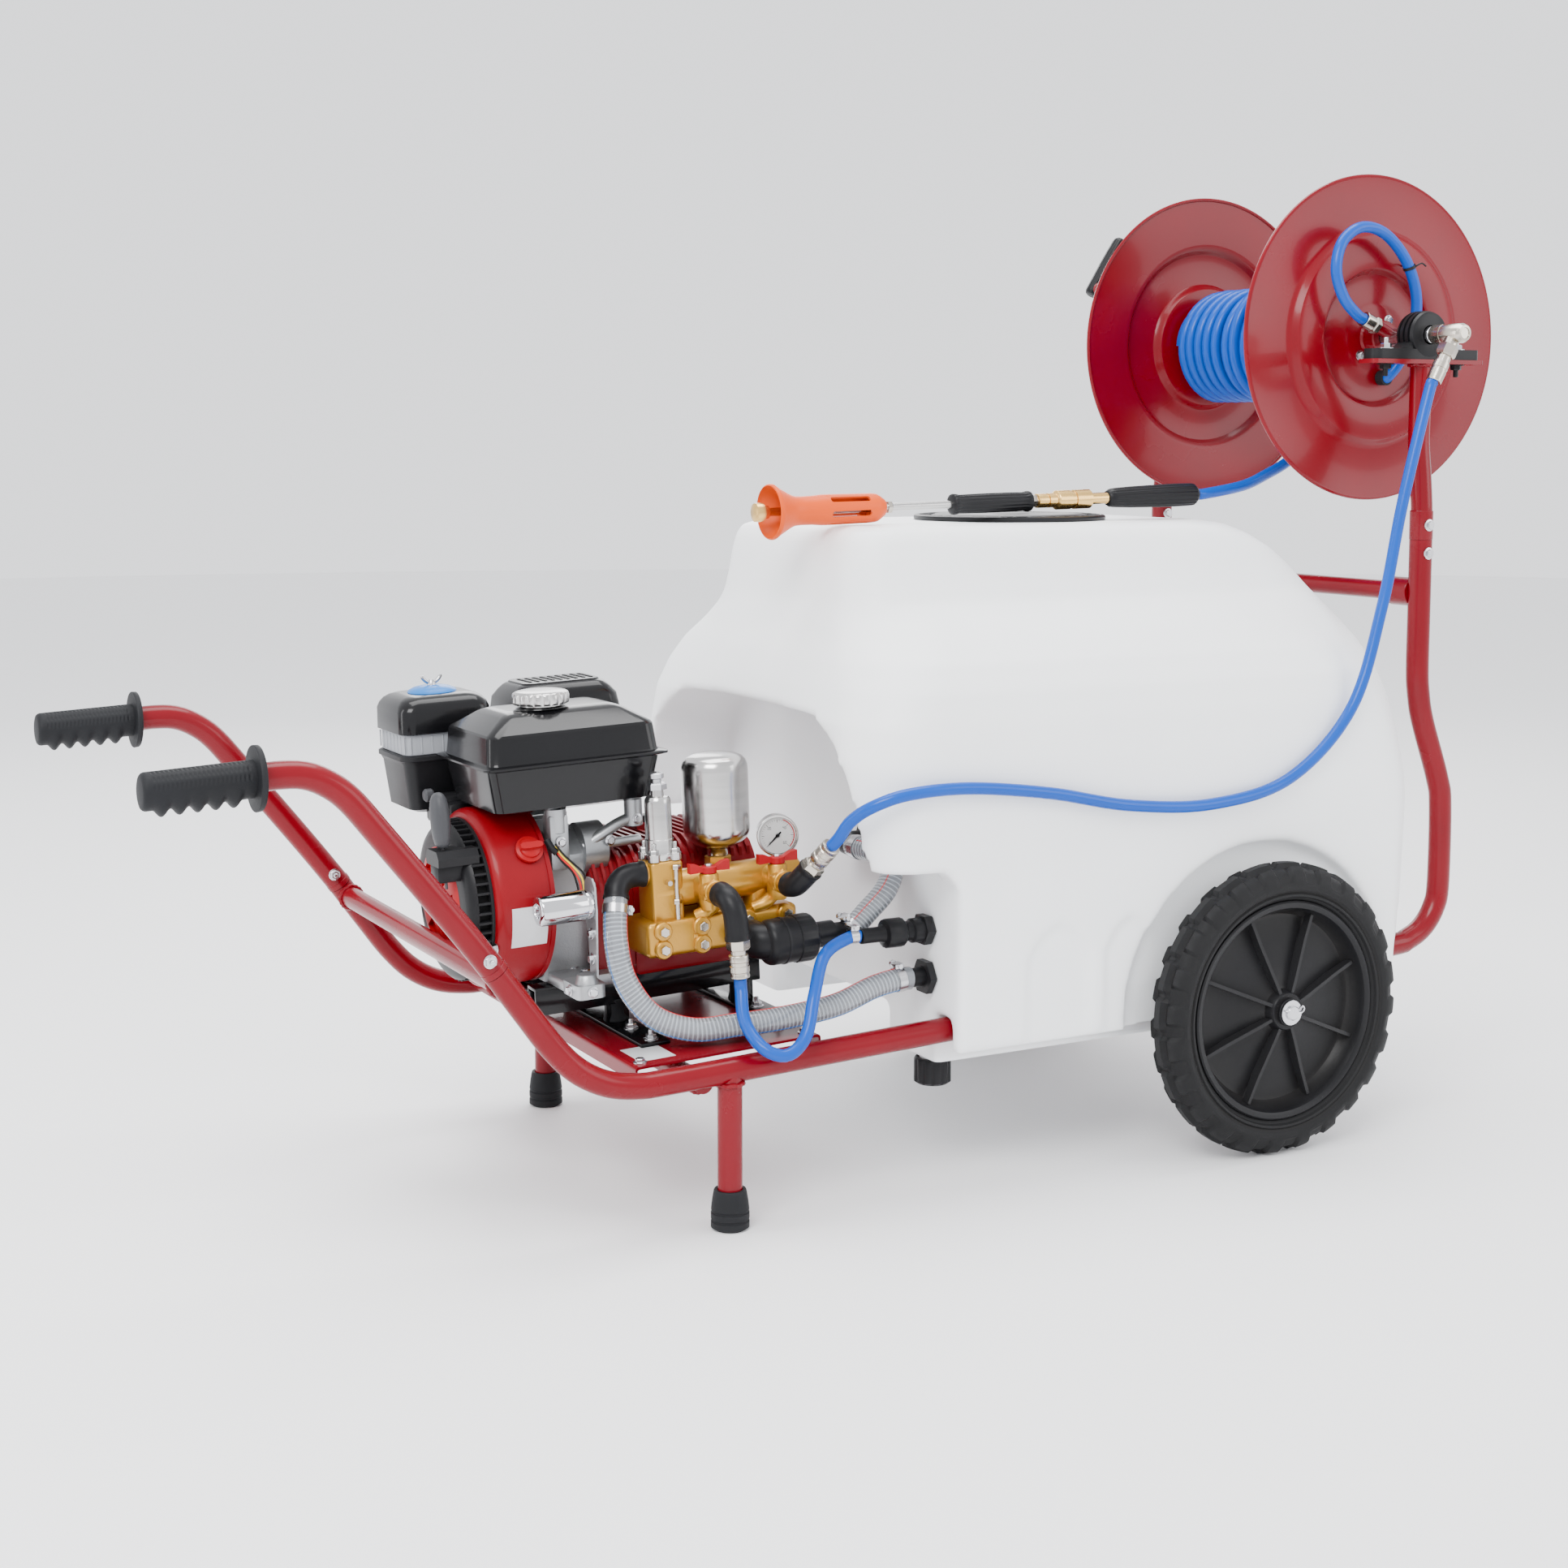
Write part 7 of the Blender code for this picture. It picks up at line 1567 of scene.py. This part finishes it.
cup = lathe([(-0.232, 0.023), (-0.2285, 0.027), (-0.225, 0.0288), (-0.222, 0.0292), (-0.1905, 0.029),
    (-0.1895, 0.0308), (-0.169, 0.0308), (-0.166, 0.029), (-0.163, 0.025), (-0.1605, 0.0168),
    (-0.1335, 0.0163), (-0.132, 0.0125), (-0.118, 0.0118)], (0, -0.238, 0.114), (1, 0, 0), 72,
    lobes=lambda a, i: 1 - 0.035 * (0.5 + 0.5 * math.cos(a * 22)) ** 3 if 5 <= i <= 6 else 1.0)
ring = lathe([(-0.2085, 0.0288), (-0.208, 0.03), (-0.205, 0.03), (-0.2045, 0.0288)], (0, -0.238, 0.114),
    (1, 0, 0), 64, loop=True)
place("strainer", merge(inlet, cup, ring), "black_plastic", stands="inlet_strainer", group=True, crease=45)

# ---- spray lance -------------------------------------------------------------------------
def on_lance(stops, n=40, lobes=None, loop=False):
    return lathe(stops, LANCE_A, LANCE_DIR, n, loop=loop, lobes=lobes)


place("lance_pipe", merge(on_lance([(0.0, 0.0075), (0.0006, 0.0085), (0.0015, 0.0122), (0.004, 0.0125),
    (0.0122, 0.0125), (0.013, 0.0085), (0.02, 0.0085), (0.021, 0.0055), (0.0225, 0.0055)]),
    on_lance([(0.435, 0.006), (0.441, 0.0065), (0.4415, 0.0098), (0.444, 0.01), (0.456, 0.01),
    (0.4565, 0.0086), (0.459, 0.0086), (0.4595, 0.01), (0.472, 0.01), (0.4728, 0.012), (0.4745, 0.0135),
    (0.496, 0.0135), (0.4965, 0.012), (0.503, 0.012), (0.5035, 0.0135), (0.529, 0.0135), (0.5305, 0.01),
    (0.5315, 0.008), (0.56, 0.008)])), "brass", stands="lance_tube")
place("lance_rod", on_lance([(0.0215, 0.005), (0.022, 0.0055), (0.439, 0.0055), (0.4395, 0.005)]),
    "brushed")
place("lance_nuts", merge(hexagon(LANCE_A + LANCE_DIR * 0.432, LANCE_DIR, 0.0094, 0.009),
    hexagon(LANCE_A + LANCE_DIR * 0.2, LANCE_DIR, 0.0088, 0.007)), "nickel")


def guard_mesh():
    """Flared nozzle guard with a row of long slots in its throat."""
    outer = [(0.022, 0.0345), (0.0226, 0.036), (0.0245, 0.0368), (0.0262, 0.0368), (0.029, 0.035),
        (0.034, 0.0318), (0.04, 0.0286), (0.047, 0.0246), (0.054, 0.0214), (0.06, 0.0196), (0.07, 0.019),
        (0.085, 0.0192), (0.1, 0.0204), (0.106, 0.0205), (0.175, 0.0198), (0.182, 0.019), (0.188, 0.016),
        (0.194, 0.012)]
    inner = [(0.194, 0.0062), (0.18, 0.0062), (0.176, 0.0165), (0.1, 0.0172), (0.07, 0.016), (0.054, 0.018),
        (0.04, 0.0252), (0.03, 0.0318), (0.025, 0.0338)]
    body = on_lance(outer + inner, 96, loop=True)
    tools = []
    for k in range(6):
        a = 2 * math.pi * k / 6 + 0.3
        u, v, w = side_axes(LANCE_DIR)
        out = u * math.cos(a) + v * math.sin(a)
        frame_at = Matrix((w, out.cross(w), out)).transposed().to_4x4()
        frame_at.translation = LANCE_A + LANCE_DIR * 0.137
        tools.append((turn(block((-0.03, -0.0042, 0.012), (0.03, 0.0042, 0.03), 0.003, 3), frame_at),
            "DIFFERENCE"))
    return bake(body, tools)


place("guard", guard_mesh(), "orange", stands="lance_guard", crease=34)


def ribbed(a, o):
    return lambda angle, i: 1 - o * (0.5 + 0.5 * math.cos(angle * a)) ** 2 if 3 <= i <= 12 else 1.0


place("front_grip", on_lance([(0.302, 0.0062), (0.302, 0.011), (0.3035, 0.014), (0.306, 0.0146),
    (0.31, 0.014), (0.313, 0.013), (0.33, 0.0133), (0.35, 0.0136), (0.37, 0.0137), (0.39, 0.0136),
    (0.41, 0.0133), (0.419, 0.013), (0.422, 0.0138), (0.426, 0.0146), (0.429, 0.0138), (0.43, 0.011),
    (0.43, 0.0062)], 120, ribbed(16, 0.07)), "black_plastic", stands="lance_grip_front", crease=55)
LANCE_LEN = (LANCE_B - LANCE_A).length
place("rear_grip", on_lance([(0.5605, 0.0088), (0.562, 0.0105), (0.566, 0.0128), (0.572, 0.0136),
    (0.6, 0.015), (0.63, 0.0157), (0.655, 0.0162), (0.68, 0.0165), (0.695, 0.0164), (0.703, 0.0162),
    (0.708, 0.0161), (0.7105, 0.016), (0.712, 0.0158), (0.7145, 0.0135), (LANCE_LEN, 0.011),
    (LANCE_LEN, 0.0082)], 120, ribbed(18, 0.065)), "black_plastic", "lance_grip_rear", "lance_grip_rear",
    crease=55)

# ---- pooled small pieces and the carried-over CAD nodes -----------------------------------
for (name, mat, body), parts in POOL.items():
    tag = name if body == "cart" and name != "bolts" else "%s_%s_%s" % (name, mat, body)
    place(tag, merge(*parts), mat, body, crease=32)
BY_SLOT = {slot: name for name, slot in SLOTS.items()}
for name, node in frame["nodes"].items():
    want = next((part["material_slot"] for part in frame["record"]["subparts"] if part["node"] == name),
        "black_plastic")
    for i in range(len(node.material_slots)):
        node.material_slots[i].material = MATS[BY_SLOT.get(want, "black_plastic")]
